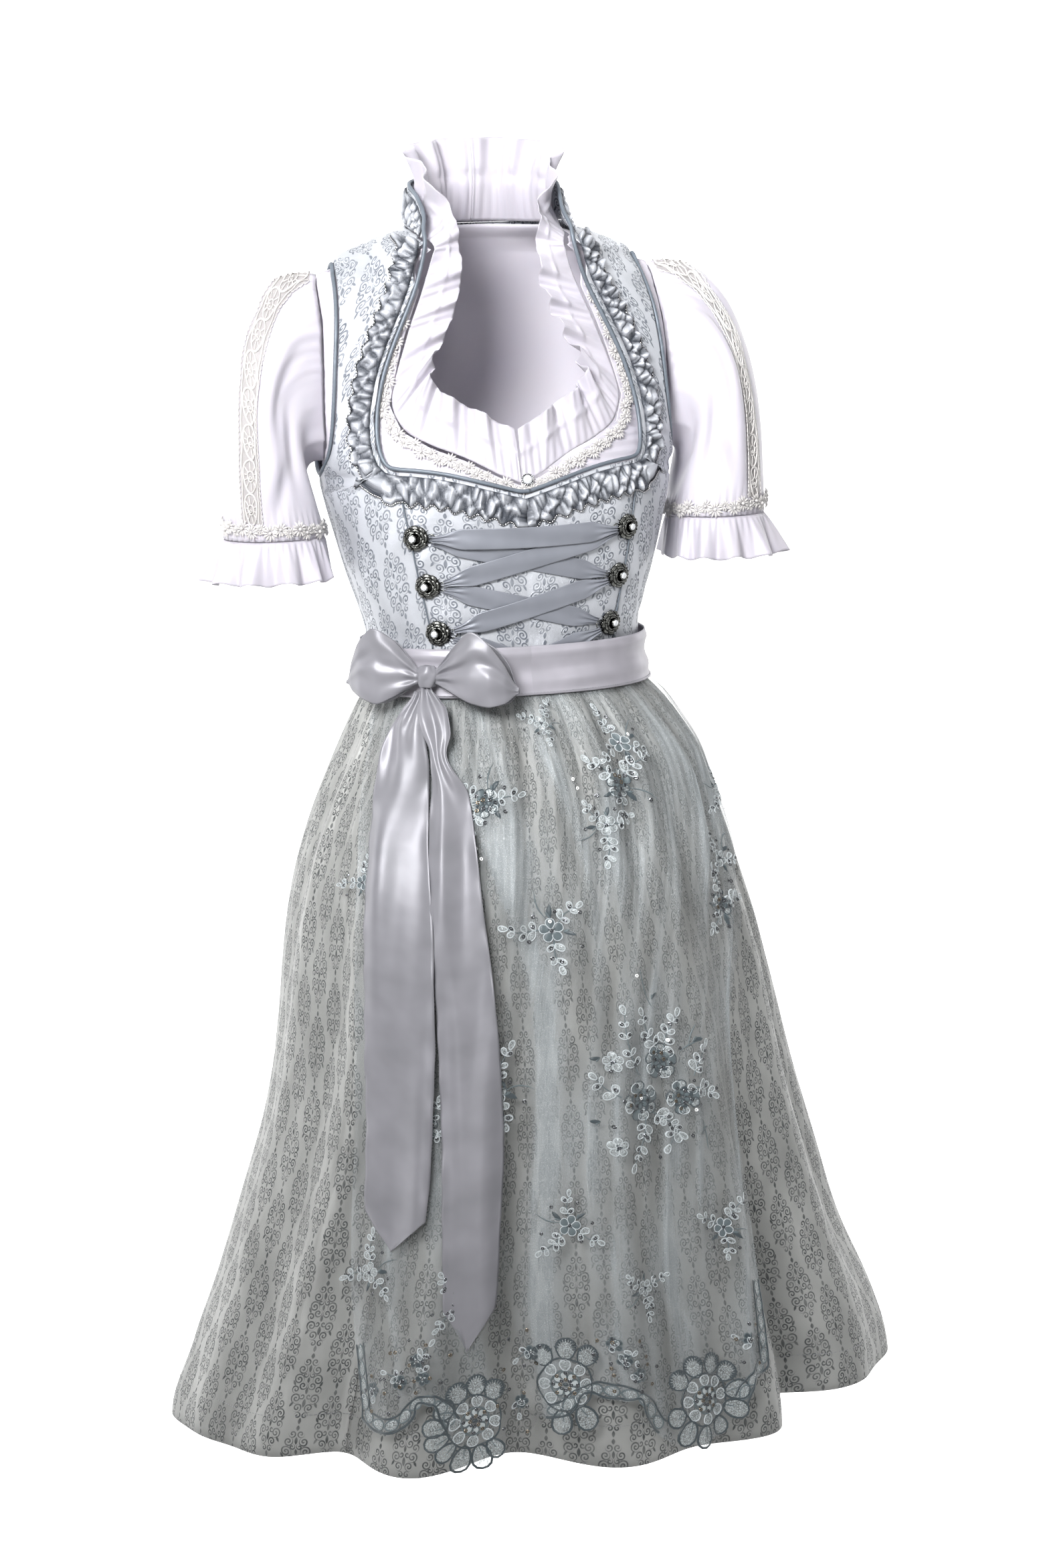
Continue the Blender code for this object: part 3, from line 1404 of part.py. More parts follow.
def build_bow(group):
    base, right, up, out = knot_frame()
    half_x, half_z, half_y = KNOT_HALF
    points = []
    count = KNOT_SIDES
    for height, scale in KNOT_RINGS:
        for i in range(count):
            turn = 2.0 * math.pi * i / count
            across = right * half_x * math.cos(turn) + out * half_y * math.sin(turn)
            points.append(base + out * KNOT_OUT + across * scale + up * half_z * height)
    last = (len(KNOT_RINGS) - 1) * count
    faces = [tuple(range(count - 1, -1, -1)), tuple(range(last, last + count))]
    for low in range(0, last, count):
        for i in range(count):
            j = (i + 1) % count
            faces.append((low + i, low + j, low + count + j, low + count + i))
    build_solid("bow_knot", points, faces, group, "satin", 0.3)
    solidified("bow_loop_left", bow_loop_grid(-1.0, 6.0), LOOP_WALL, group, "satin", roughness=0.3)
    solidified("bow_loop_right", bow_loop_grid(1.0, 9.0), LOOP_WALL, group, "satin", roughness=0.3)
    for name, table in (("bow_tail_left", TAIL_LEFT), ("bow_tail_right", TAIL_RIGHT)):
        surface = tail_grid(table)
        wall(name, moved_out(surface, -TAIL_WALL), surface, group, "satin", roughness=0.3)


def main():
    clear_scene()
    group = new_collection("dirndl")
    build_bodice(group)
    build_collar(group)
    build_piping(group)
    build_trim(group)
    build_hooks(group)
    build_lacing(group)
    build_blouse_body(group)
    build_sleeves(group)
    build_neck(group)
    build_cuff_braids(group)
    build_front_details(group)
    build_skirt(group)
    build_apron(group)
    build_sash(group)
    build_bow(group)


main()
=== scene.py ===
"""Looks of a dirndl set: jacquard dress, sheer embroidered apron, satin sash and blouse.

Lengths are millimetres until new_piece(), cloth() and Look.bump() turn them into metres. Angles
are degrees round the body from centre front, + to the viewer's right. The surfaces repeat the
sizes of the part's source, so each piece lies where its solid is.
"""
import json
import math

import bpy
import numpy as np
from mathutils import Euler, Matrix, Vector

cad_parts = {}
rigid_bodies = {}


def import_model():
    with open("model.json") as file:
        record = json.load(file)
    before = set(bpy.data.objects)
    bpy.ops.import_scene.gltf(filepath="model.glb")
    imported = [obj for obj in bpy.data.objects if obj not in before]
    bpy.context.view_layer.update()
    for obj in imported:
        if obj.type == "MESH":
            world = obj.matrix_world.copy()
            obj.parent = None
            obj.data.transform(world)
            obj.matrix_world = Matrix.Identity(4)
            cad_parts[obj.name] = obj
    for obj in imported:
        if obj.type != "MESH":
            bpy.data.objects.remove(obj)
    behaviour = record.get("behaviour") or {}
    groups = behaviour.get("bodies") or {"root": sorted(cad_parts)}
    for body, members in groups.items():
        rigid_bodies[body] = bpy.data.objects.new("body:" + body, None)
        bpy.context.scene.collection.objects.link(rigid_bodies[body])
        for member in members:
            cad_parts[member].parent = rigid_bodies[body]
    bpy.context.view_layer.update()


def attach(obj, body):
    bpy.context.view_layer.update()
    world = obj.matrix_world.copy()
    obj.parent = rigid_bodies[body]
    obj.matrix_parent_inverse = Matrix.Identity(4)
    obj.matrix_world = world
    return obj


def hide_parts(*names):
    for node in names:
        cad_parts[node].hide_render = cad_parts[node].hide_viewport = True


for old in list(bpy.data.objects):
    bpy.data.objects.remove(old, do_unlink=True)
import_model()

MM = 0.001
UP = np.array([0.0, 0.0, 1.0])
# Keeps the level part of a direction
LEVEL = np.array([1.0, 1.0, 0.0])
# columns: side, its sign along x, seed of its sleeve's folds
SIDES = (("right", 1.0, 0.4), ("left", -1.0, 1.7))

WAIST_Z = -390.0
HEM_Z = -1060.0
UNDERARM_Z = -214.0
SHOULDER_POINT_Z = -24.5
NECK_POINT_Z = 3.0
BLOUSE_SHOULDER_Z = -31.0
BLOUSE_HEM_Z = -300.0
BLOUSE_DEPTH = 6.0
PRINCESS_TOP_Z = -205.3
BUST_HALF_WIDTH = 157.0
# Angles of the front seams and of the panels' edges on both sides of a seam
PRINCESS_ANGLE = 42.0
FRONT_EDGE = 41.9
SIDE_START, SIDE_END = 42.1, 89.9
BACK_START, BACK_END = 90.001, 269.999
# How square the body's section is in front and behind: 2 is an ellipse
FRONT_POWER = 2.4
BACK_POWER = 2.2

# columns: z, side_x, side_front_y, side_back_y, front_y, back_y, roundness
TORSO = (
    (-392.0, 121.0, 0.0, 0.0, -106.0, 78.0, 0.0),
    (-355.0, 121.5, 0.0, 0.0, -107.0, 76.0, 0.0),
    (-328.0, 128.0, 0.0, 0.0, -109.0, 80.0, 0.0),
    (-300.0, 137.0, 0.0, 0.0, -111.0, 86.0, 0.0),
    (-262.0, 147.0, 0.0, 0.0, -113.0, 93.0, 0.0),
    (-235.0, 154.0, 0.0, 0.0, -112.0, 97.0, 0.05),
    (-214.0, 158.0, 0.0, 0.0, -106.0, 100.0, 0.35),
    (-205.0, 158.0, -20.0, 20.0, -101.0, 101.0, 0.6),
    (-190.0, 154.0, -35.0, 37.0, -92.0, 102.0, 0.85),
    (-162.0, 149.5, -40.0, 46.0, -78.0, 104.0, 1.0),
    (-114.0, 145.0, -38.0, 50.0, -64.0, 102.0, 1.0),
    (-77.0, 141.0, -31.0, 50.0, -59.0, 98.0, 1.0),
    (-45.0, 137.0, -8.0, 42.0, -58.0, 90.0, 1.0),
    (-24.5, 134.0, 18.0, 18.0, -64.0, 84.0, 1.0),
    (-8.0, 100.0, 14.0, 14.0, -72.0, 76.0, 1.0),
    (3.0, 72.0, 10.0, 10.0, -76.0, 68.0, 1.0),
)
# columns: z, edge_x, edge_front_y, edge_back_y
BLOUSE_ARMHOLE = (
    (-214.0, 158.0, 0.0, 0.0),
    (-200.0, 159.5, 0.0, 0.0),
    (-188.0, 160.0, -20.0, 20.0),
    (-162.0, 160.0, -28.0, 32.0),
    (-114.0, 158.0, -28.0, 36.0),
    (-77.0, 156.0, -20.0, 34.0),
    (-45.0, 154.5, 6.0, 26.0),
    (-31.0, 152.0, 18.0, 18.0),
    (-24.5, 134.0, 18.0, 18.0),
)
# Necklines and the strap above the collar front, on one half. columns: x, z
NECKLINE_FRONT = (
    (0.0, -228.0), (22.0, -222.0), (46.0, -215.0), (69.0, -209.0), (92.0, -206.0), (106.0, -205.0),
)
NECKLINE_SIDE = (
    (115.0, -202.0), (120.0, -186.0), (119.5, -160.0), (112.0, -126.0), (100.5, -97.0),
    (88.0, -71.0), (76.5, -46.0), (67.0, -12.0),
)
STRAP_TOP = ((69.5, -5.0), (71.0, -1.0))
BLOUSE_NECKLINE = (
    (0.15, -219.0), (19.0, -210.0), (47.0, -195.0), (75.0, -184.0), (98.0, -170.0), (106.0, -148.0),
    (92.0, -99.0), (74.0, -52.0), (64.0, -16.0),
)
LOWER_LEVELS = (-390.0, -352.0, -314.0, -276.0, -242.0)
ARMHOLE_LEVELS = (-214.0, -207.0, -195.0, -172.0, -140.0, -106.0, -75.0, -51.0, -35.0)
BLOUSE_ARMHOLE_LEVELS = (-200.0, -193.0, -180.0, -150.0, -115.0, -82.0, -56.0, -40.0)

# From the strap's front to centre back. columns: base_x, base_z, top_x, top_y, top_z
COLLAR = (
    (68.3, -8.0, 66.5, -38.5, -2.5),
    (69.5, -5.0, 62.5, -27.0, 10.0),
    (71.0, -1.0, 65.0, -10.0, 26.0),
    (72.0, 3.0, 68.0, 8.0, 34.0),
    (66.0, 3.0, 64.0, 24.0, 38.0),
    (49.0, 3.0, 48.0, 45.0, 40.5),
    (25.0, 3.0, 25.0, 59.0, 41.5),
    (0.0, 3.0, 0.0, 62.5, 42.0),
)
# The row of the table at the shoulder, after which the rows lie behind
COLLAR_SHOULDER = 3.0
# columns: z, side_x, front_y, back_y, middle_x
SKIRT = (
    (-1060.0, 322.0, -246.0, 252.0, 4.0),
    (-993.0, 305.0, -238.0, 246.0, 8.0),
    (-926.0, 281.0, -230.0, 238.0, 8.0),
    (-856.0, 261.0, -220.0, 228.0, 10.0),
    (-775.0, 240.0, -206.0, 214.0, 12.0),
    (-704.0, 228.0, -193.0, 200.0, 12.0),
    (-640.0, 218.0, -182.0, 186.0, 10.0),
    (-570.0, 201.0, -168.0, 166.0, 7.0),
    (-527.0, 187.0, -156.0, 150.0, 7.0),
    (-469.0, 164.0, -138.0, 124.0, 9.0),
    (-419.0, 136.0, -118.0, 95.0, 5.0),
    (-392.0, 121.0, -106.0, 78.0, 0.0),
)
# columns: angle, half_width in degrees, depth at the hem, share of the height where it starts
SKIRT_FOLDS = (
    (-92.0, 10.0, 14.0, 0.30),
    (-46.0, 9.0, -44.0, 0.25),
    (-29.0, 8.0, 8.0, 0.30),
    (-13.0, 10.5, -58.0, 0.22),
    (4.0, 8.0, 8.0, 0.30),
    (18.0, 7.0, -12.0, 0.20),
    (33.0, 6.0, 7.0, 0.35),
    (46.0, 8.5, -62.0, 0.18),
    (63.0, 8.0, 6.0, 0.35),
    (86.0, 11.0, 24.0, 0.28),
    (109.0, 9.5, -46.0, 0.26),
    (128.0, 8.0, 10.0, 0.30),
    (146.0, 10.0, -54.0, 0.20),
    (168.0, 9.0, 12.0, 0.34),
    (186.0, 9.0, -40.0, 0.30),
    (206.0, 9.0, 10.0, 0.30),
    (224.0, 10.0, -56.0, 0.22),
    (246.0, 9.5, -34.0, 0.36),
)
SKIRT_GATHERS = 24
APRON_GATHERS = 14

# columns: z, left angle, right angle
APRON_EDGES = (
    (-1050.0, -39.0, 31.0),
    (-900.0, -48.0, 36.0),
    (-800.0, -51.5, 40.0),
    (-700.0, -53.0, 46.0),
    (-620.0, -53.5, 57.0),
    (-560.0, -55.0, 67.0),
    (-500.0, -59.0, 75.0),
    (-450.0, -67.0, 79.0),
    (-394.0, -74.0, 80.0),
)
APRON_TOP_Z = -395.0
APRON_HEM_Z = -992.0
# columns: place across from 0 to 1, half width, drop
APRON_SCALLOPS = (
    (0.06, 0.10, 28.0),
    (0.32, 0.12, 50.0),
    (0.45, 0.07, 22.0),
    (0.60, 0.05, 6.0),
    (0.79, 0.15, 57.0),
    (0.96, 0.05, 12.0),
)
# columns: place across from 0 to 1, half width, height at the hem, height at the top
APRON_FOLDS = (
    (0.08, 0.035, 5.0, 2.0),
    (0.20, 0.030, 8.0, 1.0),
    (0.34, 0.030, 11.0, 3.0),
    (0.50, 0.035, 6.0, 4.0),
    (0.64, 0.028, 9.0, 2.0),
    (0.80, 0.035, 7.0, 4.0),
    (0.93, 0.030, 8.0, 1.0),
)
# columns: z, distance outside the bodice and skirt
SASH = (
    (-358.5, 4.6),
    (-366.0, 6.8),
    (-379.0, 6.0),
    (-391.0, 8.2),
    (-401.0, 6.8),
)


def smooth(low, high, value):
    share = np.clip((value - low) / (high - low), 0.0, 1.0)
    return share * share * (3.0 - 2.0 * share)


def bell(value, centre, width):
    return np.exp(-(((value - centre) / width) ** 2))


def unit(vectors):
    size = np.linalg.norm(vectors, axis=-1, keepdims=True)
    return vectors / np.maximum(size, 1e-9)


def mirrored(points, sign=-1.0):
    """Points on the other half of the body, or where they are with a sign of 1."""
    return points * np.array([sign, 1.0, 1.0])


def heading(way):
    """Cosine and sine of a direction in degrees."""
    return math.cos(math.radians(way)), math.sin(math.radians(way))


def together(*values):
    """Arrays of numbers brought to one shape."""
    return np.broadcast_arrays(*(np.asarray(value, float) for value in values))


def degrees_from(angle, centre):
    """How far angles lie from another, from -180 to 180."""
    return np.mod(angle - centre + 180.0, 360.0) - 180.0


def waves(u, v, seed):
    """Soft uneven waves from about -1 to 1 over a surface."""
    total = 0.0
    for layer in range(4):
        key = seed * 12.99 + layer * 78.23
        phase = 3.0 * math.sin(2.3 * key)
        warp = 1.6 * np.sin(v * (1.0 + 0.7 * math.cos(1.7 * key)) + 2.0 * phase)
        total = total + np.sin(u * (1.0 + 0.7 * math.sin(key)) + phase + warp)
    return total / 4.0


def hermite(t, start, leaving, end, arriving):
    """A smooth way from start to end at shares t, with the slopes it leaves and arrives with."""
    return ((2 * t ** 3 - 3 * t ** 2 + 1) * start + (t ** 3 - 2 * t ** 2 + t) * leaving
            + (3 * t ** 2 - 2 * t ** 3) * end + (t ** 3 - t ** 2) * arriving)


def read(table, key):
    """Columns of a table at an array of keys, with smooth slopes between its rows."""
    data = np.array(sorted(table), float)
    keys, columns = data[:, 0], data[:, 1:]
    step = np.diff(keys)
    slope = np.diff(columns, axis=0) / step[:, None]
    before, after = slope[:-1], slope[1:]
    same = before * after > 0.0
    inner = np.where(same, 2.0 * before * after / np.where(same, before + after, 1.0), 0.0)
    level = np.zeros((1, columns.shape[1]))
    tangents = np.vstack([level, inner, level])
    key = np.clip(np.asarray(key, float), keys[0], keys[-1])
    low = np.clip(np.searchsorted(keys, key, side="right") - 1, 0, len(keys) - 2)
    t = ((key - keys[low]) / step[low])[..., None]
    h = step[low][..., None]
    return hermite(t, columns[low], h * tangents[low], columns[low + 1], h * tangents[low + 1])


def unpacked(table, key):
    """What read() gives, each column as an array of its own."""
    return np.moveaxis(read(table, key), -1, 0)


def point(x, y, z):
    return np.stack(np.broadcast_arrays(x, y, z), axis=-1)


def step_lengths(points, axis=0):
    """Distances from each point of a path or grid to the next."""
    return np.linalg.norm(np.diff(points, axis=axis), axis=-1)


def distances(path):
    """How far along a path each of its points lies."""
    return np.concatenate([[0.0], np.cumsum(step_lengths(path))])


def at_distances(path, far, goal):
    """Places at goal along a path whose points lie at far along it."""
    return np.stack([np.interp(goal, far, column) for column in path.T], axis=-1)


def section_power(in_front):
    return np.where(in_front, FRONT_POWER, BACK_POWER)


def section_depth(section, u, in_front):
    """How far front or back the body lies at a share u of its half width."""
    _, side_front, side_back, front, back, roundness = section
    power = section_power(in_front)
    full = (1.0 - np.minimum(u, 1.0) ** power) ** (1.0 / power)
    depth = full + (1.0 - u ** 2.6 - full) * roundness
    side = np.where(in_front, side_front, side_back)
    middle = np.where(in_front, front, back)
    return side + (middle - side) * depth


def dress_base(angle, z):
    angle, z = together(angle, z)
    section = unpacked(TORSO, z)
    section[2] = np.where(z >= SHOULDER_POINT_Z, section[1], section[2])
    turn = np.radians(angle)
    u = np.minimum(1.0, np.abs(np.sin(turn)))
    y = section_depth(section, u, np.cos(turn) >= 0.0)
    return point(section[0] * np.sin(turn), y, z)


def blouse_base(angle, z):
    """As dress_base, but carried on past the armhole edges of the dress."""
    angle, z = together(angle, z)
    section = unpacked(TORSO, z)
    side_x, side_front, side_back = section[:3]
    edge_x, edge_front, edge_back = unpacked(BLOUSE_ARMHOLE, z)
    turn = np.radians(angle)
    in_front = np.cos(turn) >= 0.0
    x = edge_x * np.abs(np.sin(turn))
    within = section_depth(section, np.minimum(1.0, x / side_x), in_front)
    share = (x - side_x) / np.maximum(edge_x - side_x, 1e-6)
    start = np.where(in_front, side_front, side_back)
    end = np.where(in_front, edge_front, edge_back)
    y = np.where(x <= side_x, within, start + (end - start) * share)
    own = point(x * np.sign(np.sin(turn)), y, z)
    outside = (z <= UNDERARM_Z) | (z >= SHOULDER_POINT_Z)
    return np.where(outside[..., None], dress_base(angle, z), own)


def normal_at(base, angle, z):
    """Outward direction of a body surface, level at the side and up on the shoulder."""
    angle, z = together(angle, z)
    in_front = np.cos(np.radians(angle)) >= 0.0
    low = np.maximum(angle - 1.5, np.where(in_front, -90.0, BACK_START))
    high = np.minimum(angle + 1.5, np.where(in_front, 90.0, BACK_END))
    across = base(high, z) - base(low, z)
    up = base(angle, np.minimum(z + 2.0, NECK_POINT_Z)) - base(angle, z - 2.0)
    normal = unit(np.cross(across, up))
    sideways = smooth(math.sin(math.radians(60.0)), 1.0, np.abs(np.sin(np.radians(angle))))
    beside = (sideways * (1.0 - smooth(-203.0, -188.0, z)))[..., None]
    ridge = (sideways * smooth(-62.0, -40.0, z))[..., None]
    sign = np.where(normal[..., 0] < 0.0, -1.0, 1.0)
    normal = unit(normal + (point(sign, 0.0, normal[..., 2]) - normal) * beside)
    return unit(normal + (point(0.38 * sign, 0.0, 0.92) - normal) * ridge)


def torso(angle, z, out=0.0, base=dress_base):
    """Points of a body surface moved outward by a distance."""
    return base(angle, z) + normal_at(base, angle, z) * np.asarray(out)[..., None]


def angle_at(x, z, base=dress_base):
    """The angle on a body surface's front where it lies at x."""
    side_x = base(90.0, z)[..., 0]
    return np.degrees(np.arcsin(np.clip(x / side_x, -1.0, 1.0)))


def skirt_share(z):
    """Share of the skirt's height below the waist."""
    return (z - WAIST_Z) / (HEM_Z - WAIST_Z)


def fold_depth(angle, share, easing):
    """How far the skirt's folds stand out. Easing is the share kept of the hollow ones."""
    total = 0.0
    for centre, half_width, depth, start in SKIRT_FOLDS:
        grown = np.maximum(0.0, (share - start) / (1.0 - start)) ** 1.15
        eased = depth * (easing if depth < 0.0 else 1.0)
        total = total + eased * grown * bell(degrees_from(angle, centre), 0.0, half_width)
    return total


def skirt_point(angle, z, out, easing=1.0):
    """Points of the skirt's outside with its folds."""
    angle, z = together(angle, z)
    side_x, front, back, middle_x = unpacked(SKIRT, z)
    turn = np.radians(angle)
    in_front = np.cos(turn) >= 0.0
    depth = np.where(in_front, front, back)
    share = skirt_share(z)
    gather = smooth(0.0, 0.07, share) * (1.0 - smooth(0.15, 0.55, share))
    gather = 3.0 * gather * np.cos(turn * SKIRT_GATHERS)
    relief = fold_depth(angle, share, easing) + gather * easing + out
    away = unit(point(np.sin(turn) / side_x, -np.cos(turn) / np.abs(depth), 0.0 * z))
    waist_power = section_power(in_front)
    power = waist_power + (2.0 - waist_power) * smooth(0.02, 0.2, share)
    y = depth * (1.0 - np.minimum(np.abs(np.sin(turn)), 1.0) ** power) ** (1.0 / power)
    return point(middle_x + side_x * np.sin(turn), y, z) + away * relief[..., None]


def apron_place(angle, z):
    """Place across the apron, from 0 at its left edge to 1."""
    left, right = unpacked(APRON_EDGES, z)
    return (angle - left) / (right - left)


def apron_point(angle, z, out):
    """The apron's surface anywhere round the front of the skirt, with its folds."""
    angle, z = together(angle, z)
    place = apron_place(angle, z)
    share = skirt_share(z)
    calm = np.clip(1.0 - share * 0.6, 0.0, 1.0)
    lift = 4.4 * smooth(0.0, 0.10, share) + 2.2
    for centre, half_width, low, high in APRON_FOLDS:
        height = (high + (low - high) * share) * smooth(0.03, 0.15, share)
        lift = lift + height * bell(place, centre, half_width)
    gather = 1.1 * smooth(0.0, 0.05, share) * (1.0 - smooth(0.2, 0.6, share))
    lift = lift + gather * (1.0 + np.cos(2.0 * np.pi * APRON_GATHERS * place)) + 1.0
    hug = 1.0 - 0.85 * smooth(0.10, 0.0, 1.0 - place) * smooth(0.02, 0.08, share)
    return skirt_point(angle, z, lift * hug + out, calm)


def apron_hem_z(place):
    drop = np.zeros_like(place)
    for centre, half_width, depth in APRON_SCALLOPS:
        away = np.abs(place - centre) / half_width
        arc = depth * np.sqrt(np.clip(1.0 - away * away, 0.0, 1.0))
        drop = np.maximum(drop, arc)
    return APRON_HEM_Z - drop


def sash_point(angle, z, out):
    """Points round the waist: over the bodice above its join, over the skirt below."""
    angle, z = together(angle, z)
    skirt_x, skirt_front, skirt_back, skirt_middle = unpacked(SKIRT, np.minimum(z, WAIST_Z - 2.0))
    body_x, _, _, body_front, body_back, _ = unpacked(TORSO, z)
    above = z > WAIST_Z
    side_x = np.where(above, body_x, skirt_x)
    front = np.where(above, body_front, skirt_front)
    back = np.where(above, body_back, skirt_back)
    middle_x = np.where(above, 0.0, skirt_middle)
    turn = np.radians(angle)
    in_front = np.cos(turn) >= 0.0
    power = section_power(in_front)
    u = np.minimum(np.abs(np.sin(turn)), 1.0)
    depth = np.abs(np.where(in_front, front, back)) * (1.0 - u ** power) ** (1.0 / power)
    away = unit(point(np.sin(turn) / side_x, -np.cos(turn) / np.abs(front), 0.0 * z))
    y = np.where(in_front, -depth, depth)
    return point(middle_x + side_x * np.sin(turn), y, z) + away * np.asarray(out)[..., None]


# Mesh making


def new_piece(name, shape, look, nodes=(), rounded=True):
    """One object from points in millimetres and faces, riding on the frame."""
    points, faces = shape
    mesh = bpy.data.meshes.new(name)
    mesh.from_pydata((np.asarray(points) * MM).tolist(), [], faces)
    mesh.polygons.foreach_set("use_smooth", [rounded] * len(mesh.polygons))
    mesh.materials.append(look)
    piece = bpy.data.objects.new(name, mesh)
    bpy.context.scene.collection.objects.link(piece)
    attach(piece, "root")
    if nodes:
        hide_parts(*nodes)
    return piece


def set_uv(piece, uv):
    layer = piece.data.uv_layers.new(name="cloth")
    layer.data.foreach_set("uv", np.asarray(uv, float).ravel())


def lengths(grid):
    """Longest way across and down a sheet, and its area, in millimetres."""
    across, down = step_lengths(grid, 1), step_lengths(grid)
    one = np.cross(grid[:-1, 1:] - grid[:-1, :-1], grid[1:, :-1] - grid[:-1, :-1])
    two = np.cross(grid[1:, :-1] - grid[1:, 1:], grid[:-1, 1:] - grid[1:, 1:])
    area = 0.5 * (np.linalg.norm(one, axis=-1).sum() + np.linalg.norm(two, axis=-1).sum())
    return across.sum(axis=1).max(), down.sum(axis=0).max(), area


def grid_normals(grid):
    """Directions square to a sheet, all to one side of it."""
    return unit(np.cross(np.gradient(grid, axis=1), np.gradient(grid, axis=0)))


def quads(index):
    """Faces between the rows and columns of a grid of point numbers."""
    corners = index[:-1, :-1], index[:-1, 1:], index[1:, 1:], index[1:, :-1]
    return np.stack(corners, axis=-1).reshape(-1, 4)


def cloth(name, grid, uv, look, nodes=(), axis=(0.0, 0.0), wall=0.8,
          ring=False, relief=None):
    """A thin shell over a grid of rows, with the cloth's own coordinates as its UV.

    Axis is the level place that the sheet faces away from. A ring closes from its last column
    to its first.
    """
    grid = np.asarray(grid, float)
    if ring:
        grid = np.concatenate([grid, grid[:, :1]], axis=1)
    rows, cols = grid.shape[:2]
    index = np.arange(rows * cols).reshape(rows, cols)
    faces = quads(index)
    away = (grid - np.array([*axis, 0.0])) * LEVEL
    if (grid_normals(grid) * away).sum() < 0.0:
        faces = faces[:, ::-1]
    if ring:
        index[:, -1] = index[:, 0]
    shape = grid.reshape(-1, 3), index.ravel()[faces].tolist()
    piece = new_piece(name, shape, look, nodes)
    set_uv(piece, np.asarray(uv, float).reshape(-1, 2)[faces])
    if wall:
        depth = piece.modifiers.new("cloth depth", "SOLIDIFY")
        depth.thickness = wall * MM
        depth.offset = -1.0
        depth.use_even_offset = False
    if relief is not None:
        piece.data.attributes.new("relief", "FLOAT", "POINT").data.foreach_set("value", relief.ravel())
    width, length, area = (value * MM for value in lengths(grid))
    flat_area = min(area * MM, width * length)


def plain_uv(rows, cols, width, length, left=0.0, top=0.0):
    u = left + width * np.linspace(0.0, 1.0, cols)[None, :].repeat(rows, axis=0)
    v = top - length * np.linspace(0.0, 1.0, rows)[:, None].repeat(cols, axis=1)
    return np.stack([u, v], axis=-1)


def measured_uv(grid, left=0.0, top=0.0):
    """Cloth coordinates that follow the real lengths along the rows and columns."""
    across, down = step_lengths(grid, 1), step_lengths(grid)
    u = np.concatenate([np.zeros((grid.shape[0], 1)), np.cumsum(across, axis=1)], axis=1)
    v = np.concatenate([np.zeros((1, grid.shape[1])), np.cumsum(down, axis=0)], axis=0)
    u = u - u.mean(axis=1, keepdims=True)
    return np.stack([left + u, top - v], axis=-1)


def tubes(paths, normals, radius, sides, closed=False):
    """Points and faces of round tubes along many paths of one length."""
    paths = np.asarray(paths, float)
    count, steps = paths.shape[:2]
    if closed:
        run = np.roll(paths, -1, axis=1) - np.roll(paths, 1, axis=1)
    else:
        run = np.gradient(paths, axis=1)
    run = unit(run)
    side = unit(np.cross(run, np.broadcast_to(normals, paths.shape)))
    up = np.cross(side, run)
    turn = np.arange(sides) * 2.0 * np.pi / sides
    radius = np.broadcast_to(radius, paths.shape[:2])[..., None, None]
    ring = side[:, :, None] * np.cos(turn)[None, None, :, None]
    ring = ring + up[:, :, None] * np.sin(turn)[None, None, :, None]
    points = paths[:, :, None] + ring * radius
    index = np.arange(count * steps * sides).reshape(count, steps, sides)
    if closed:
        index = np.concatenate([index, index[:, :1]], axis=1)
    index = np.concatenate([index, index[:, :, :1]], axis=2)
    faces = np.stack(
        [index[:, :-1, :-1], index[:, 1:, :-1], index[:, 1:, 1:], index[:, :-1, 1:]], axis=-1)
    faces = faces.reshape(-1, 4).tolist()
    if not closed:
        faces += index[:, 0, :-1].tolist() + index[:, -1, -2::-1].tolist()
    return points.reshape(-1, 3), faces


def copies(shape, places, rights, normals, size=1.0, spin=0.0, lift=0.0):
    """Points and faces of one small shape set many times on a surface."""
    points, faces = shape
    points = np.asarray(points, float)
    places, normals = np.asarray(places, float), unit(np.asarray(normals, float))
    count = len(places)
    rights = unit(rights - normals * (rights * normals).sum(axis=-1, keepdims=True))
    ups = np.cross(normals, rights)
    spin = np.broadcast_to(spin, (count,))[:, None]
    size = np.broadcast_to(size, (count,))[:, None, None]
    turned = rights * np.cos(spin) + ups * np.sin(spin)
    across = ups * np.cos(spin) - rights * np.sin(spin)
    basis = np.stack([turned, across, normals], axis=1)
    moved = places[:, None] + np.einsum("pk,nkj->npj", points, basis) * size
    moved = moved + (normals * np.broadcast_to(lift, (count,))[:, None])[:, None]
    step = len(points)
    every = []
    for number in range(count):
        every += [tuple(i + number * step for i in face) for face in faces]
    return moved.reshape(-1, 3), every


def stitches(path, share, radius):
    """A closed row of stitches over a share of the way from each point to the next."""
    step = (np.roll(path, -1, axis=0) - path) * share
    ends = np.stack([path, path + step * 0.5, path + step], axis=1)
    return tubes(ends, unit(path * LEVEL)[:, None], radius, 4)


def joined(*parts):
    """Several sets of points and faces as one."""
    points, faces, start = [], [], 0
    for part_points, part_faces in parts:
        points.append(np.asarray(part_points, float))
        faces += [tuple(i + start for i in face) for face in part_faces]
        start += len(part_points)
    return np.concatenate(points), faces


# Materials


def linear(red, green, blue):
    """An 8-bit colour as the shader's own."""
    return tuple((c / 255.0) ** 2.2 for c in (red, green, blue)) + (1.0,)


def shaded(colour, share):
    """An 8-bit colour made darker or lighter."""
    return tuple(min(255, int(c * share)) for c in colour)


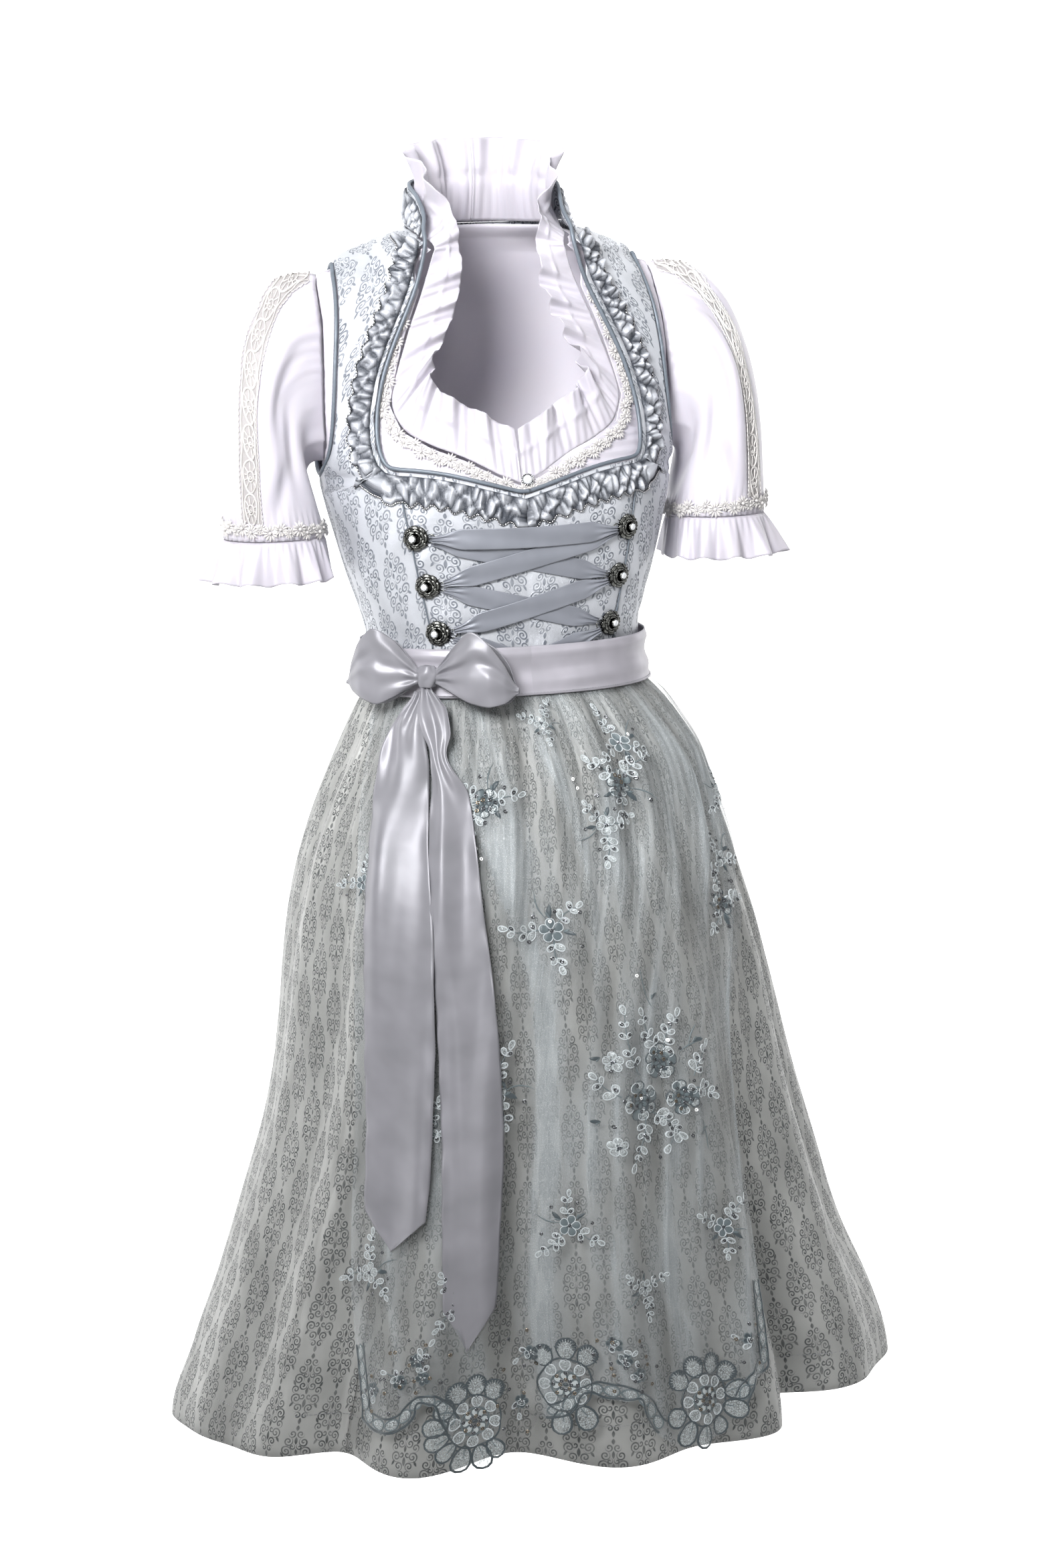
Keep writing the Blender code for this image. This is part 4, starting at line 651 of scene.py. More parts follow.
class Field:
    """A number that varies over a surface, written as a formula and kept as nodes."""

    def __init__(self, look, socket):
        self.look = look
        self.socket = socket

    def __add__(self, other):
        return self.look.math("ADD", self, other)

    def __sub__(self, other):
        return self.look.math("SUBTRACT", self, other)

    def __rsub__(self, other):
        return self.look.math("SUBTRACT", other, self)

    def __mul__(self, other):
        return self.look.math("MULTIPLY", self, other)

    def __truediv__(self, other):
        return self.look.math("DIVIDE", self, other)

    def __abs__(self):
        return self.look.math("ABSOLUTE", self)

    def least(self, other):
        return self.look.math("MINIMUM", self, other)

    def most(self, other):
        return self.look.math("MAXIMUM", self, other)

    def fraction(self):
        return self.look.math("FRACT", self)

    def whole(self):
        return self.look.math("FLOOR", self)

    def sine(self):
        return self.look.math("SINE", self)

    def root(self):
        return self.look.math("SQRT", self)

    def stretched(self, gain, offset):
        """This times gain plus offset, kept from 0 to 1."""
        return self.look.math("MULTIPLY_ADD", self, gain, offset, clamp=True)

    def covers(self, soft):
        """1 where this is below 0, 0 where it is above, with a soft edge."""
        return self.look.math("ADD", self / -soft, 0.5, clamp=True)


class Look:
    """A material on the Principled shader."""

    def __init__(self, name, colour, **values):
        self.material = bpy.data.materials.new(name)
        self.material.use_nodes = True
        self.tree = self.material.node_tree
        self.shader = self.tree.nodes["Principled BSDF"]
        self.shader.inputs["Base Color"].default_value = linear(*colour)
        for key, value in values.items():
            self.shader.inputs[key.replace("_", " ")].default_value = value

    def node(self, kind, *values, **settings):
        node = self.tree.nodes.new("ShaderNode" + kind)
        for key, value in settings.items():
            setattr(node, key, value)
        for socket, value in zip(node.inputs, values):
            self.feed(socket, value)
        return node

    def feed(self, socket, value):
        if isinstance(value, Field):
            self.tree.links.new(value.socket, socket)
        elif value is not None:
            socket.default_value = value

    def math(self, operation, *values, clamp=False):
        node = self.node("Math", *values, operation=operation, use_clamp=clamp)
        return Field(self, node.outputs[0])

    def cloth(self):
        """Millimetres across and along the cloth."""
        place = self.node("UVMap", uv_map="cloth")
        split = self.node("SeparateXYZ", Field(self, place.outputs["UV"]))
        return Field(self, split.outputs["X"]), Field(self, split.outputs["Y"])

    def relief(self):
        """How far the sheet stands out on its folds, from about -1 to 1."""
        node = self.node("Attribute", attribute_name="relief")
        return Field(self, node.outputs["Fac"])

    def place(self):
        """Metres in the object's own space."""
        place = self.node("TexCoord")
        split = self.node("SeparateXYZ", Field(self, place.outputs["Object"]))
        return tuple(Field(self, split.outputs[key]) for key in "XYZ")

    def noise(self, u, v, w, detail):
        vector = self.node("CombineXYZ", u, v, w)
        node = self.node("TexNoise", Field(self, vector.outputs[0]))
        node.inputs["Scale"].default_value = 1.0
        node.inputs["Detail"].default_value = detail
        return Field(self, node.outputs[0])

    def grain(self, scale, detail=2.0):
        """Noise through the object's own space."""
        return self.noise(*(axis * scale for axis in self.place()), detail)

    def mix(self, share, low, high):
        """A colour between two others. Each is 8-bit numbers or a Field."""
        node = self.node("Mix", data_type="RGBA")
        self.feed(node.inputs[0], share)
        self.feed(node.inputs[6], low if isinstance(low, Field) else linear(*low))
        self.feed(node.inputs[7], high if isinstance(high, Field) else linear(*high))
        return Field(self, node.outputs[2])

    def set(self, name, value):
        self.feed(self.shader.inputs[name], value)

    def bump(self, height, depth):
        """Height in cloth depths, depth in millimetres."""
        node = self.node("Bump")
        node.inputs["Distance"].default_value = depth * MM
        self.feed(node.inputs["Height"], height)
        self.set("Normal", Field(self, node.outputs["Normal"]))


# The damask's half drop repeat and one half of its upright ornament, in millimetres.
REPEAT = (29.0, 66.0)
# columns: x, y, radius, hand, turn
VOLUTES = (
    (3.8, 24.6, 3.4, -1.0, 0.1),
    (6.9, 17.6, 4.3, 1.0, 0.5),
    (3.2, 12.8, 2.8, 1.0, 0.0),
    (8.8, 8.4, 4.9, -1.0, 0.2),
    (4.2, 2.8, 3.8, 1.0, 0.6),
    (10.4, -1.0, 3.6, 1.0, 0.3),
    (8.4, -9.0, 4.9, 1.0, 0.0),
    (3.2, -6.8, 2.9, -1.0, 0.4),
    (5.4, -17.4, 4.1, -1.0, 0.7),
    (3.4, -24.4, 3.0, 1.0, 0.2),
)
VOLUTE_PITCH = 2.9
VOLUTE_LINE = 0.66
# columns: x, y, half length, half width, way in degrees
LEAVES = (
    (0.0, 30.0, 2.6, 1.6, 90.0),
    (0.0, 18.4, 3.6, 1.4, 90.0),
    (0.0, 8.0, 2.8, 1.2, 90.0),
    (0.0, -1.8, 3.2, 1.3, 90.0),
    (0.0, -13.0, 4.2, 1.6, 90.0),
    (0.0, -29.4, 3.0, 1.4, 90.0),
    (12.6, 4.6, 2.8, 1.1, 62.0),
    (11.4, -14.6, 3.0, 1.1, -58.0),
)


def ornament(look, u, v):
    """Distance in millimetres from the damask's ornament, below 0 inside it."""
    column = (u / REPEAT[0]).whole()
    drop = (column / 2.0).fraction()
    x = abs(((u / REPEAT[0]).fraction() - 0.5) * REPEAT[0])
    y = ((v / REPEAT[1] + drop).fraction() - 0.5) * REPEAT[1]
    nearest = None
    for at_x, at_y, radius, hand, turn in VOLUTES:
        dx, dy = x - at_x, y - at_y
        far = (dx * dx + dy * dy).root()
        around = look.math("ARCTAN2", dy, dx) * (hand / (2.0 * math.pi))
        band = abs((far / VOLUTE_PITCH + around + (turn + 8.0)).fraction() - 0.5) * VOLUTE_PITCH
        line = (band - VOLUTE_LINE).most(far - radius)
        nearest = line if nearest is None else nearest.least(line)
    for at_x, at_y, half_length, half_width, way in LEAVES:
        cos, sin = heading(way)
        dx, dy = x - at_x, y - at_y
        along = (dx * cos + dy * sin) / half_length
        across = abs(dy * cos - dx * sin) / half_width
        leaf = (across + along * along - 1.0) * (half_width * 0.7)
        nearest = nearest.least(leaf)
    return nearest


def jacquard(name, ground, figure):
    """Silver satin ground with a matt damask figure."""
    look = Look(name, ground, Metallic=0.3, Sheen_Weight=0.1, Specular_IOR_Level=0.5)
    u, v = look.cloth()
    figure_share = ornament(look, u, v).covers(0.5)
    clouds = look.noise(u * 0.018, v * 0.011, 0.0, 3.0)
    patches = look.noise(u * 0.10, v * 0.07, 4.0, 3.0)
    strength = figure_share * (patches.stretched(3.4, -1.15) * 0.40 + 0.60)
    slub = look.noise(u * 0.9, v * 7.0, 2.0, 2.0)
    # Soft clouds a little lighter and darker: the cloth's uneven tone and a painted satin sheen
    base = look.mix(clouds.stretched(2.4, -0.7), shaded(ground, 0.88), shaded(ground, 1.08))
    look.set("Base Color", look.mix(strength * 0.9 + slub * 0.12, base, figure))
    look.set("Roughness", strength * 0.25 + clouds * 0.10 + 0.38)
    look.bump(strength * 0.9 + slub * 0.5 + patches * 2.0, 0.30)
    return look.material


def puffed_jacquard(name, ridge, hollow):
    """The dress cloth drawn up in puffs, with painted shade where it is pinched."""
    look = Look(name, ridge, Metallic=0.3, Roughness=0.46, Specular_IOR_Level=0.5)
    u, v = look.cloth()
    flecks = look.noise(u * 0.5, v * 0.5, 0.0, 3.0)
    # Painted shade: the colour falls from ridge to hollow where the puffs sink
    share = look.math("ADD", look.relief() + flecks * 0.5, -0.25, clamp=True)
    look.set("Base Color", look.mix(share, hollow, ridge))
    look.bump(flecks, 0.4)
    return look.material


def satin(name, colour, rough):
    """Smooth ribbon satin with soft dents, its colour darker where they sink: painted shade."""
    look = Look(name, colour, Metallic=0.22, Specular_IOR_Level=0.4)
    u, v = look.cloth()
    warp = look.noise(u * 0.6, v * 4.0, 0.0, 2.0)
    dents = look.noise(u * 0.030, v * 0.024, 3.0, 2.0)
    # Painted shade: the colour darkens in the low parts of the dents
    look.set("Base Color", look.mix(dents * 1.4 - 0.2, shaded(colour, 0.84), colour))
    look.set("Roughness", warp * 0.06 + (rough - 0.03))
    look.bump(dents * 26.0 + warp * 0.6, 0.030)
    return look.material


def organza(name, tint, deep):
    """Sheer cloth: fine upright threads and silver flecks painted near white as glints, lighter and closer
    where it doubles on its folds, with a painted shadow beside the main fold.
    """
    look = Look(name, tint, Specular_IOR_Level=0.7, Metallic=0.2)
    u, v = look.cloth()
    relief = look.relief()
    threads = look.noise(u * 2.2, v * 0.03, 0.0, 2.0)
    crinkle = look.noise(u * 0.30, v * 0.010, 5.0, 3.0)
    drift = look.noise(u * 0.016, v * 0.007, 7.0, 2.0)
    # Painted glints: near-white specks for the silver threads catching the light
    glint = look.noise(u * 1.3, v * 0.8, 9.0, 2.0).stretched(9.0, -5.3)
    # Relief: lighter where the cloth doubles, a painted shadow in the hollow left of the main fold
    body = look.math("ADD", drift * 2.3 + crinkle * 0.40 + relief * 0.50 - 1.34, 0.45, clamp=True)
    look.set("Base Color", look.mix(glint, look.mix(body, deep, tint), (240, 246, 250)))
    look.set("Alpha", threads * 0.24 + body * 0.26 + glint * 0.22 + 0.07)
    look.set("Roughness", 0.50 - glint * 0.30)
    look.bump(threads * 0.5 + crinkle, 0.5)
    return look.material


def veil(name, colour):
    """Flat stitches worked so thinly that the cloth shows through."""
    look = Look(name, colour, Specular_IOR_Level=0.6, Metallic=0.2, Roughness=0.4)
    grain = look.grain(900.0)
    look.set("Alpha", grain.stretched(2.6, -0.85))
    look.bump(grain, 0.2)
    return look.material


def white_satin(name, colour, rough=0.33):
    """The blouse's soft satin, lit through a little."""
    look = Look(name, colour, Sheen_Weight=0.2, Specular_IOR_Level=0.6)
    look.shader.inputs["Subsurface Weight"].default_value = 0.12
    look.shader.inputs["Subsurface Radius"].default_value = (0.004, 0.003, 0.003)
    u, v = look.cloth()
    warp = look.noise(u * 2.6, v * 0.06, 0.0, 3.0)
    clouds = look.noise(u * 0.02, v * 0.02, 3.0, 2.0)
    cool = (colour[0] - 7, colour[1] - 7, colour[2] - 1)
    look.set("Base Color", look.mix(clouds, cool, colour))
    look.set("Roughness", warp * 0.12 + clouds * 0.10 + (rough - 0.10))
    look.bump(warp, 0.07)
    return look.material


def net(name, colour):
    """Fine net with open holes."""
    look = Look(name, colour, Roughness=0.7, Sheen_Weight=0.3)
    u, v = look.cloth()
    lines = abs(((u + v) * 2.2).sine()).least(abs(((u - v) * 2.2).sine()))
    look.set("Alpha", (lines - 0.35).covers(0.25) * 0.55 + 0.3)
    return look.material


def thread(name, colour, rough=0.5, shade=0.72):
    """Satin-stitched embroidery thread."""
    look = Look(name, colour, Sheen_Weight=0.5, Specular_IOR_Level=0.6)
    x, y, z = look.place()
    twist = ((x + y * 0.6 + z * 1.7) * 4200.0).sine()
    clouds = look.noise(x * 90.0, y * 90.0, z * 90.0, 2.0)
    # The twist's grooves darker and its ridges lighter: painted shade and light, beside random clouds
    share = clouds * 0.8 + twist * 0.12 + 0.1
    look.set("Base Color", look.mix(share, shaded(colour, shade), colour))
    look.set("Roughness", clouds * 0.2 + (rough - 0.1))
    look.bump(twist, 0.02)
    return look.material


def metal(name, colour, rough, oxide_and_shade):
    """Cast metal, dark in its hollows: oxide on the antique silver, painted shade on the bright silver and
    the sequins.
    """
    look = Look(name, colour, Metallic=1.0, Roughness=rough)
    grain = look.grain(1400.0, 3.0)
    hollow = look.node("AmbientOcclusion", samples=8, only_local=True)
    hollow.inputs["Distance"].default_value = 0.0028
    open_air = Field(look, hollow.outputs["AO"]).stretched(4.0, -3.0)
    # Hollow colour: real oxide on the antique silver, painted shade on the bright silver and the sequins
    look.set("Base Color", look.mix(open_air, oxide_and_shade, colour))
    look.set("Roughness", grain * 0.25 + (rough - 0.1))
    look.bump(grain, 0.12)
    return look.material


def crystal(name, colour):
    look = Look(name, colour, Roughness=0.04, IOR=1.65, Specular_IOR_Level=0.9)
    look.shader.inputs["Transmission Weight"].default_value = 0.2
    look.shader.inputs["Coat Weight"].default_value = 1.0
    look.shader.inputs["Coat Roughness"].default_value = 0.03
    look.set("Base Color", look.mix(look.grain(700.0, 0.0), colour, (255, 255, 255)))
    return look.material


BODICE_CLOTH = jacquard("bodice_jacquard", (202, 205, 212), (100, 106, 116))
SKIRT_CLOTH = jacquard("skirt_jacquard", (170, 171, 169), (73, 77, 78))
# The trim's second colour is painted shade for its pinches
TRIM_CLOTH = puffed_jacquard("trim_jacquard", (198, 201, 208), (66, 70, 78))
# The sash and the bow are one ribbon: its satin is kept lighter on the sash and darker on the bow, as
# painted light and shade
SATIN = satin("bow_satin", (151, 150, 157), 0.42)
SASH_SATIN_PAINTED_LIGHTER = satin("sash_satin_painted_lighter", (184, 181, 190), 0.38)
RIBBON = satin("lacing_satin", (144, 147, 156), 0.42)
PIPING = satin("piping_satin", (120, 128, 138), 0.44)
ORGANZA = organza("apron_organza", (186, 194, 198), (122, 123, 121))
BLOUSE_SATIN = white_satin("blouse_satin", (203, 199, 206))
# The frills are the blouse's own satin, made darker as painted shade so that their folds show
FRILL_SATIN_PAINTED_DARKER = white_satin("frill_satin", (194, 190, 197), 0.40)
WHITE_THREAD = thread("white_thread", (216, 213, 211), 0.5, 0.90)
NET = net("lace_net", (178, 174, 170))
VEIL = veil("veil_stitches", (188, 196, 198))
DARK_THREAD = thread("dark_thread", (66, 78, 84), 0.42)
MIDDLE_THREAD = thread("middle_thread", (104, 117, 122), 0.42)
LIGHT_THREAD = thread("light_thread", (206, 214, 216), 0.38)
GREY_THREAD = thread("grey_thread", (150, 154, 160))
SILVER_THREAD = thread("silver_thread", (214, 222, 226), 0.30)
# Each metal's last colour is that of its hollows: oxide on the antique silver, painted shade on the bright
# silver and the sequins
SILVER = metal("antique_silver", (140, 141, 137), 0.24, (6, 6, 6))
BRIGHT = metal("bright_silver", (222, 222, 224), 0.16, (90, 90, 92))
BRONZE = metal("bronze_sequin", (140, 130, 116), 0.24, (60, 52, 46))
SEQUIN = metal("dark_sequin", (120, 122, 126), 0.16, (40, 40, 42))
# Sequins painted near white: painted glints
PAINTED_GLINT_LOOK = Look("painted_glint_sequin", (254, 254, 254), Roughness=0.1, Specular_IOR_Level=1.0).material
CRYSTAL = crystal("crystal", (226, 232, 240))


# Bodice


def neckline_height(angle):
    """Height of the dress neckline in front, by angle."""
    xs, zs = zip(*NECKLINE_FRONT)
    return np.interp(np.abs(BUST_HALF_WIDTH * np.sin(np.radians(angle))), xs, zs)


def neckline_path():
    """Angle and height along the dress neckline on the right half."""
    front = np.append(np.arange(0.0, PRINCESS_ANGLE, 6.0), FRONT_EDGE)
    side = [(float(angle_at(x, z)), z) for x, z in NECKLINE_SIDE]
    return np.concatenate([np.stack([front, neckline_height(front)], axis=-1), side])


def resampled(path, count):
    """Points at even steps along a path of points."""
    path = np.asarray(path, float)
    far = distances(path)
    return at_distances(path, far, np.linspace(0.0, far[-1], count))


def softened(path, passes, closed=False):
    """A path with its corners cut, twice as dense at each pass."""
    for _ in range(passes):
        ahead = np.roll(path, -1, axis=0) if closed else path[1:]
        here = path if closed else path[:-1]
        cut = np.stack([here * 0.75 + ahead * 0.25, here * 0.25 + ahead * 0.75], axis=1)
        cut = cut.reshape(-1, path.shape[1])
        path = cut if closed else np.concatenate([path[:1], cut, path[-1:]])
    return path


def drag_lines(angle, z):
    """Small pulls in the bodice: across at the waist, slanting at the bust seams."""
    waist = bell(z, -352.0, 26.0) * np.sin(z / 3.9 + 2.2 * np.sin(np.radians(angle) * 3.0))
    bust = bell(z, -262.0, 30.0) * bell(np.abs(angle), 44.0, 16.0)
    return 0.55 * waist + 0.8 * bust * np.sin((z + np.abs(angle) * 1.6) / 5.2)


def bodice_panel(name, angles, z, node, sign=1.0, left=0.0):
    """A panel of the bodice. Left is where it lies across the cloth's pattern."""
    grid = mirrored(torso(angles, z, drag_lines(angles, z)), sign)
    if sign < 0.0:
        grid = grid[:, ::-1]
    cloth(name, grid, measured_uv(grid, left), BODICE_CLOTH, (node,), wall=1.2)


def bodice_front():
    across = np.linspace(-FRONT_EDGE, FRONT_EDGE, 61)
    top = neckline_height(across) - 0.4
    share = np.linspace(0.0, 1.0, 72)[:, None]
    z = top + (WAIST_Z - top) * share
    bodice_panel("dress_front", np.broadcast_to(across, z.shape), z, "bodice_front")


def side_front_rows():
    """Angle and height of both edges of a side front, from the waist to the shoulder."""
    rows = [(SIDE_START, z, SIDE_END, z) for z in LOWER_LEVELS]
    rows.append((SIDE_START, PRINCESS_TOP_Z, 90.0, ARMHOLE_LEVELS[0]))
    inner = NECKLINE_SIDE + STRAP_TOP
    for (x, z), right in zip(inner, ARMHOLE_LEVELS[1:] + (-29.5, -26.5)):
        rows.append((float(angle_at(x, z)), z, 90.0, right))
    rows.append((90.0, NECK_POINT_Z, 90.0, SHOULDER_POINT_Z))
    return np.array(rows)


def panel_places(rows, cols, flat_below, repeats=5):
    """Angles and heights of a panel given by its two edges, row by row."""
    dense = []
    for low, high in zip(rows, rows[1:]):
        for step in range(repeats):
            dense.append(low + (high - low) * step / repeats)
    dense.append(rows[-1])
    dense = np.array(dense)[::-1]
    share = np.linspace(0.0, 1.0, cols)[None, :]
    left, left_z, right, right_z = (column[:, None] for column in dense.T)
    low, high = np.sin(np.radians(left)), np.sin(np.radians(right))
    even = left + (right - left) * share
    by_x = np.degrees(np.arcsin(np.clip(low + (high - low) * share, -1.0, 1.0)))
    angle = np.where(left_z < flat_below, even, by_x)
    return angle, left_z + (right_z - left_z) * share


def back_places(levels, shoulder, count, cols, rows):
    """Angles and heights of a back, from its levels and count more between shoulder and neck."""
    levels = list(levels) + np.linspace(shoulder, NECK_POINT_Z, count).tolist()
    z = np.interp(np.linspace(0, len(levels) - 1, rows), range(len(levels)), levels)[::-1]
    return np.meshgrid(np.linspace(BACK_START, BACK_END, cols), z)


def bodice_sides():
    angle, z = panel_places(side_front_rows(), 40, UNDERARM_Z)
    for side, sign, _ in SIDES:
        bodice_panel("dress_side_front_" + side, angle, z, "bodice_side_front_" + side, sign,
                     70.0 * sign)


def bodice_back():
    angle, z = back_places(LOWER_LEVELS + ARMHOLE_LEVELS, SHOULDER_POINT_Z, 5, 84, 54)
    bodice_panel("dress_back", angle, z, "bodice_back", left=500.0)


def collar_columns(out, steps=97):
    """Base and top points of the stand-up collar, right front round the back to left front."""
    table = [(float(i),) + row for i, row in enumerate(COLLAR)]
    key = np.linspace(0.0, len(COLLAR) - 1, steps)
    base_x, base_z, top_x, top_y, top_z = unpacked(table, key)
    angle = angle_at(base_x, base_z)
    angle = np.where(key > COLLAR_SHOULDER, 180.0 - angle, angle)
    base = dress_base(angle, base_z) + point(0.0, 0.0, np.where(key < COLLAR_SHOULDER, 0.6, 0.45))
    top = point(top_x, top_y, top_z)
    run = np.gradient(top, axis=0) * LEVEL
    run[-1] = (-1.0, 0.0, 0.0)
    outward = unit(np.cross(run, UP))
    base, top = base + outward * out, top + outward * out
    return (np.concatenate([base, mirrored(base)[-2::-1]]),
            np.concatenate([top, mirrored(top)[-2::-1]]))


def collar():
    base, top = collar_columns(0.0)
    share = np.linspace(1.0, 0.0, 14)[:, None, None]
    grid = base + (top - base) * share
    cloth("dress_collar", grid, measured_uv(grid, top=900.0), BODICE_CLOTH,
          ("stand_collar",), wall=1.4)


PIPING_RADIUS = 1.8


def neckline_piping_path():
    angle, z = neckline_path().T
    points = dress_base(angle, z)
    normals = normal_at(dress_base, angle, z)
    points = np.concatenate([mirrored(points[1:2]), points])
    normals = np.concatenate([mirrored(normals[1:2]), normals])
    side = unit(np.cross(np.gradient(points, axis=0), normals))
    half = (points - side * (PIPING_RADIUS + 0.4) - normals * 0.5)[1:]
    tops = collar_columns(-1.0, len(COLLAR))[1][:len(COLLAR)]
    ahead = np.concatenate([tops[1:], mirrored(tops[-2:-1])])
    behind = np.concatenate([tops[:1], tops[:-1]])
    run = ahead - behind
    outward = unit(np.cross(run * LEVEL, UP))
    half = np.concatenate([half, tops + unit(np.cross(outward, run)) * (PIPING_RADIUS + 0.5)])
    return np.concatenate([half, mirrored(half)[-2:0:-1]])


def armhole_path():
    front = np.array(ARMHOLE_LEVELS + (SHOULDER_POINT_Z,))
    back = np.array(ARMHOLE_LEVELS[:0:-1])
    points = np.concatenate([dress_base(90.0, front), dress_base(BACK_START, back)])
    normals = np.concatenate([normal_at(dress_base, 89.0, front), normal_at(dress_base, 91.0, back)])
    run = np.roll(points, -1, axis=0) - np.roll(points, 1, axis=0)
    side = unit(np.cross(run, normals))
    return points + side * (PIPING_RADIUS + 0.9) - normals * 0.2


def piping():
    """Round satin piping with the slanting pulls of a bias strip."""
    sides = 12
    armhole = softened(armhole_path(), 3, closed=True)
    for name, node, path in (
        ("piping_neckline", "neckline_piping", softened(neckline_piping_path(), 2, closed=True)),
        ("piping_armhole_right", "armhole_piping_right", armhole),
        ("piping_armhole_left", "armhole_piping_left", mirrored(armhole)),
    ):
        path = resampled(np.concatenate([path, path[:1]]), 420)[:-1]
        away = unit(path - path.mean(axis=0))
        radius = PIPING_RADIUS * (1.0 + 0.04 * np.sin(np.arange(len(path)) * 1.9))
        points, faces = tubes([path], [away], [radius], sides, closed=True)
        piece = new_piece(name, (points, faces), PIPING, (node,))
        around = np.tile(np.arange(sides) * 0.95, len(path))
        along = np.repeat(np.arange(len(path)) * 3.0, sides)
        set_uv(piece, np.stack([around + along * 0.8, along], axis=-1)[np.array(faces)])


def panel_seams():
    """The thin grey piping in the two front seams."""
    z = np.linspace(-359.0, PRINCESS_TOP_Z - 26.0, 60)
    shapes = [tubes([torso(angle, z, 0.35)], [normal_at(dress_base, angle, z)], 0.75, 6)
              for angle in (-PRINCESS_ANGLE, PRINCESS_ANGLE)]
    new_piece("piping_front_seams", joined(*shapes), PIPING)


# Ruched trim of the neckline and collar


def trim_stations(count):
    """Points along the neckline with their way out over the cloth, on the right half."""
    path = resampled(softened(dress_base(*neckline_path().T), 1), count)
    run = np.gradient(path, axis=0)
    run[0] = (1.0, 0.0, 0.0)
    size = np.hypot(run[:, 0], run[:, 2])
    return path, run[:, 2] / size, -run[:, 0] / size


def scatter(*keys):
    """An uneven number from 0 to 1 for each set of keys."""
    total = 0.0
    for number, key in enumerate(keys):
        total = total + key * (12.9898 + 65.244 * number)
    value = np.sin(total) * 43758.5453
    return value - np.floor(value)


TRIM_PITCH = 14.5
TRIM_COLS = 17
TRIM_STATIONS = 640
# Width of the cloth and how much of it is ruched into its length
TRIM_WIDTH = 46.0
TRIM_FULLNESS = 1.9
# Height where the trim turns from the front up to the strap
TRIM_CORNER_Z = -200.0


def ruching(far, across, seed):
    """Height of folded puffs between crossing rows of pinches, across from -1 to 1."""
    jitter = 0.16 * np.sin(far / 9.0 + seed) + 0.12 * np.sin(far / 23.0 + 2.0 * seed)
    beat = far / TRIM_PITCH + jitter
    bend = 0.10 * np.sin(across * 4.0 + far / 7.0 + seed)
    one, two = beat - 0.56 * across + bend, beat + 0.56 * across - bend
    cell = np.floor(one), np.floor(two)
    a, b = one - cell[0] - 0.5, two - cell[1] - 0.5
    puff = (np.cos(np.pi * a) * np.cos(np.pi * b)) ** 0.42
    tilt = (scatter(*cell, seed) - 0.5) * a + (scatter(*cell, seed + 5.0) - 0.5) * b
    way = np.pi * scatter(*cell, seed + 9.0)
    off = 0.3 * (scatter(*cell, seed + 2.0) - 0.5)
    fold = np.maximum(0.0, 1.0 - 3.4 * np.abs(a * np.cos(way) + b * np.sin(way) + off))
    hollow = np.maximum(0.0, 1.0 - 4.2 * np.abs(a * np.sin(way) - b * np.cos(way) - off))
    size = 0.8 + 0.4 * scatter(*cell, seed + 3.0)
    edge = 1.0 - 0.62 * np.abs(across) ** 5
    return puff * (4.2 * size + 5.6 * tilt + 3.0 * fold - 2.4 * hollow) * edge


def trim_cloth(name, grid, puffs, nodes, length, left):
    """A ruched band. Length is the finished one, left where it lies across the pattern."""
    uv = plain_uv(len(grid), TRIM_COLS, TRIM_WIDTH, length * TRIM_FULLNESS, left)
    # The puffs' heights go with the cloth, to paint shade into its pinches
    cloth(name, grid, uv, TRIM_CLOTH, nodes, wall=0.6,
          relief=smooth(0.2, 5.2, puffs))


def trim_side(sign, name, nodes, start, end, seed):
    """One run of the trim, beside the neckline piping. Gives its outer edge."""
    path, out_x, out_z = (values[start:end] for values in trim_stations(TRIM_STATIONS))
    z = path[:, 2]
    far = distances(path)
    across = np.linspace(-1.0, 1.0, TRIM_COLS)
    beat = np.cos(2.0 * np.pi * far / TRIM_PITCH)
    in_front = z < TRIM_CORNER_Z
    width = np.where(in_front, 24.0, 16.5) * (1.0 + 0.09 * beat)
    inner_edge = 3.2
    reach = inner_edge + width[:, None] * (across[None, :] + 1.0) * 0.5
    px = np.maximum(0.0, path[:, :1] + out_x[:, None] * reach)
    pz = z[:, None] + out_z[:, None] * reach
    puffs = ruching(far[:, None], across[None, :], seed)
    rise = np.where(in_front, 0.7, 1.6)[:, None] + np.maximum(0.3, puffs)
    rise = rise * (0.3 + 0.7 * smooth(0.0, 0.16, 1.0 - np.abs(across)))[None, :] + 0.2
    grid = mirrored(torso(angle_at(px, pz), pz, rise), sign)
    trim_cloth(name, grid, puffs, nodes, far[-1], seed * 100.0)
    return grid[:, -1]


def collar_trim():
    base, top = collar_columns(0.8, 220)
    outward = unit(top * LEVEL)
    far = distances(top)
    across = np.linspace(-1.0, 1.0, TRIM_COLS)[None, :]
    puffs = ruching(far[:, None], across, 6.0)
    rise = np.maximum(0.2, puffs * 0.72)
    share = 0.10 + 0.84 * (across[..., None] + 1.0) * 0.5
    grid = base[:, None] + (top - base)[:, None] * share + outward[:, None] * rise[..., None]
    trim_cloth("trim_collar", grid[3:-3], puffs[3:-3], ("collar_trim",), far[-1], 700.0)


def trims():
    path = trim_stations(TRIM_STATIONS)[0]
    corner = int(np.argmax(path[:, 2] > TRIM_CORNER_Z))
    edges = [trim_side(*run) for run in (
        (1.0, "trim_front_right", ("neckline_trim_front",), 0, corner + 2, 0.4),
        (-1.0, "trim_front_left", (), 0, corner + 2, 2.1),
        (1.0, "trim_side_right", ("neckline_trim_right",), corner - 6, TRIM_STATIONS, 3.7),
        (-1.0, "trim_side_left", ("neckline_trim_left",), corner - 6, TRIM_STATIONS, 5.2),
    )]
    collar_trim()
    glitter_cord(edges)


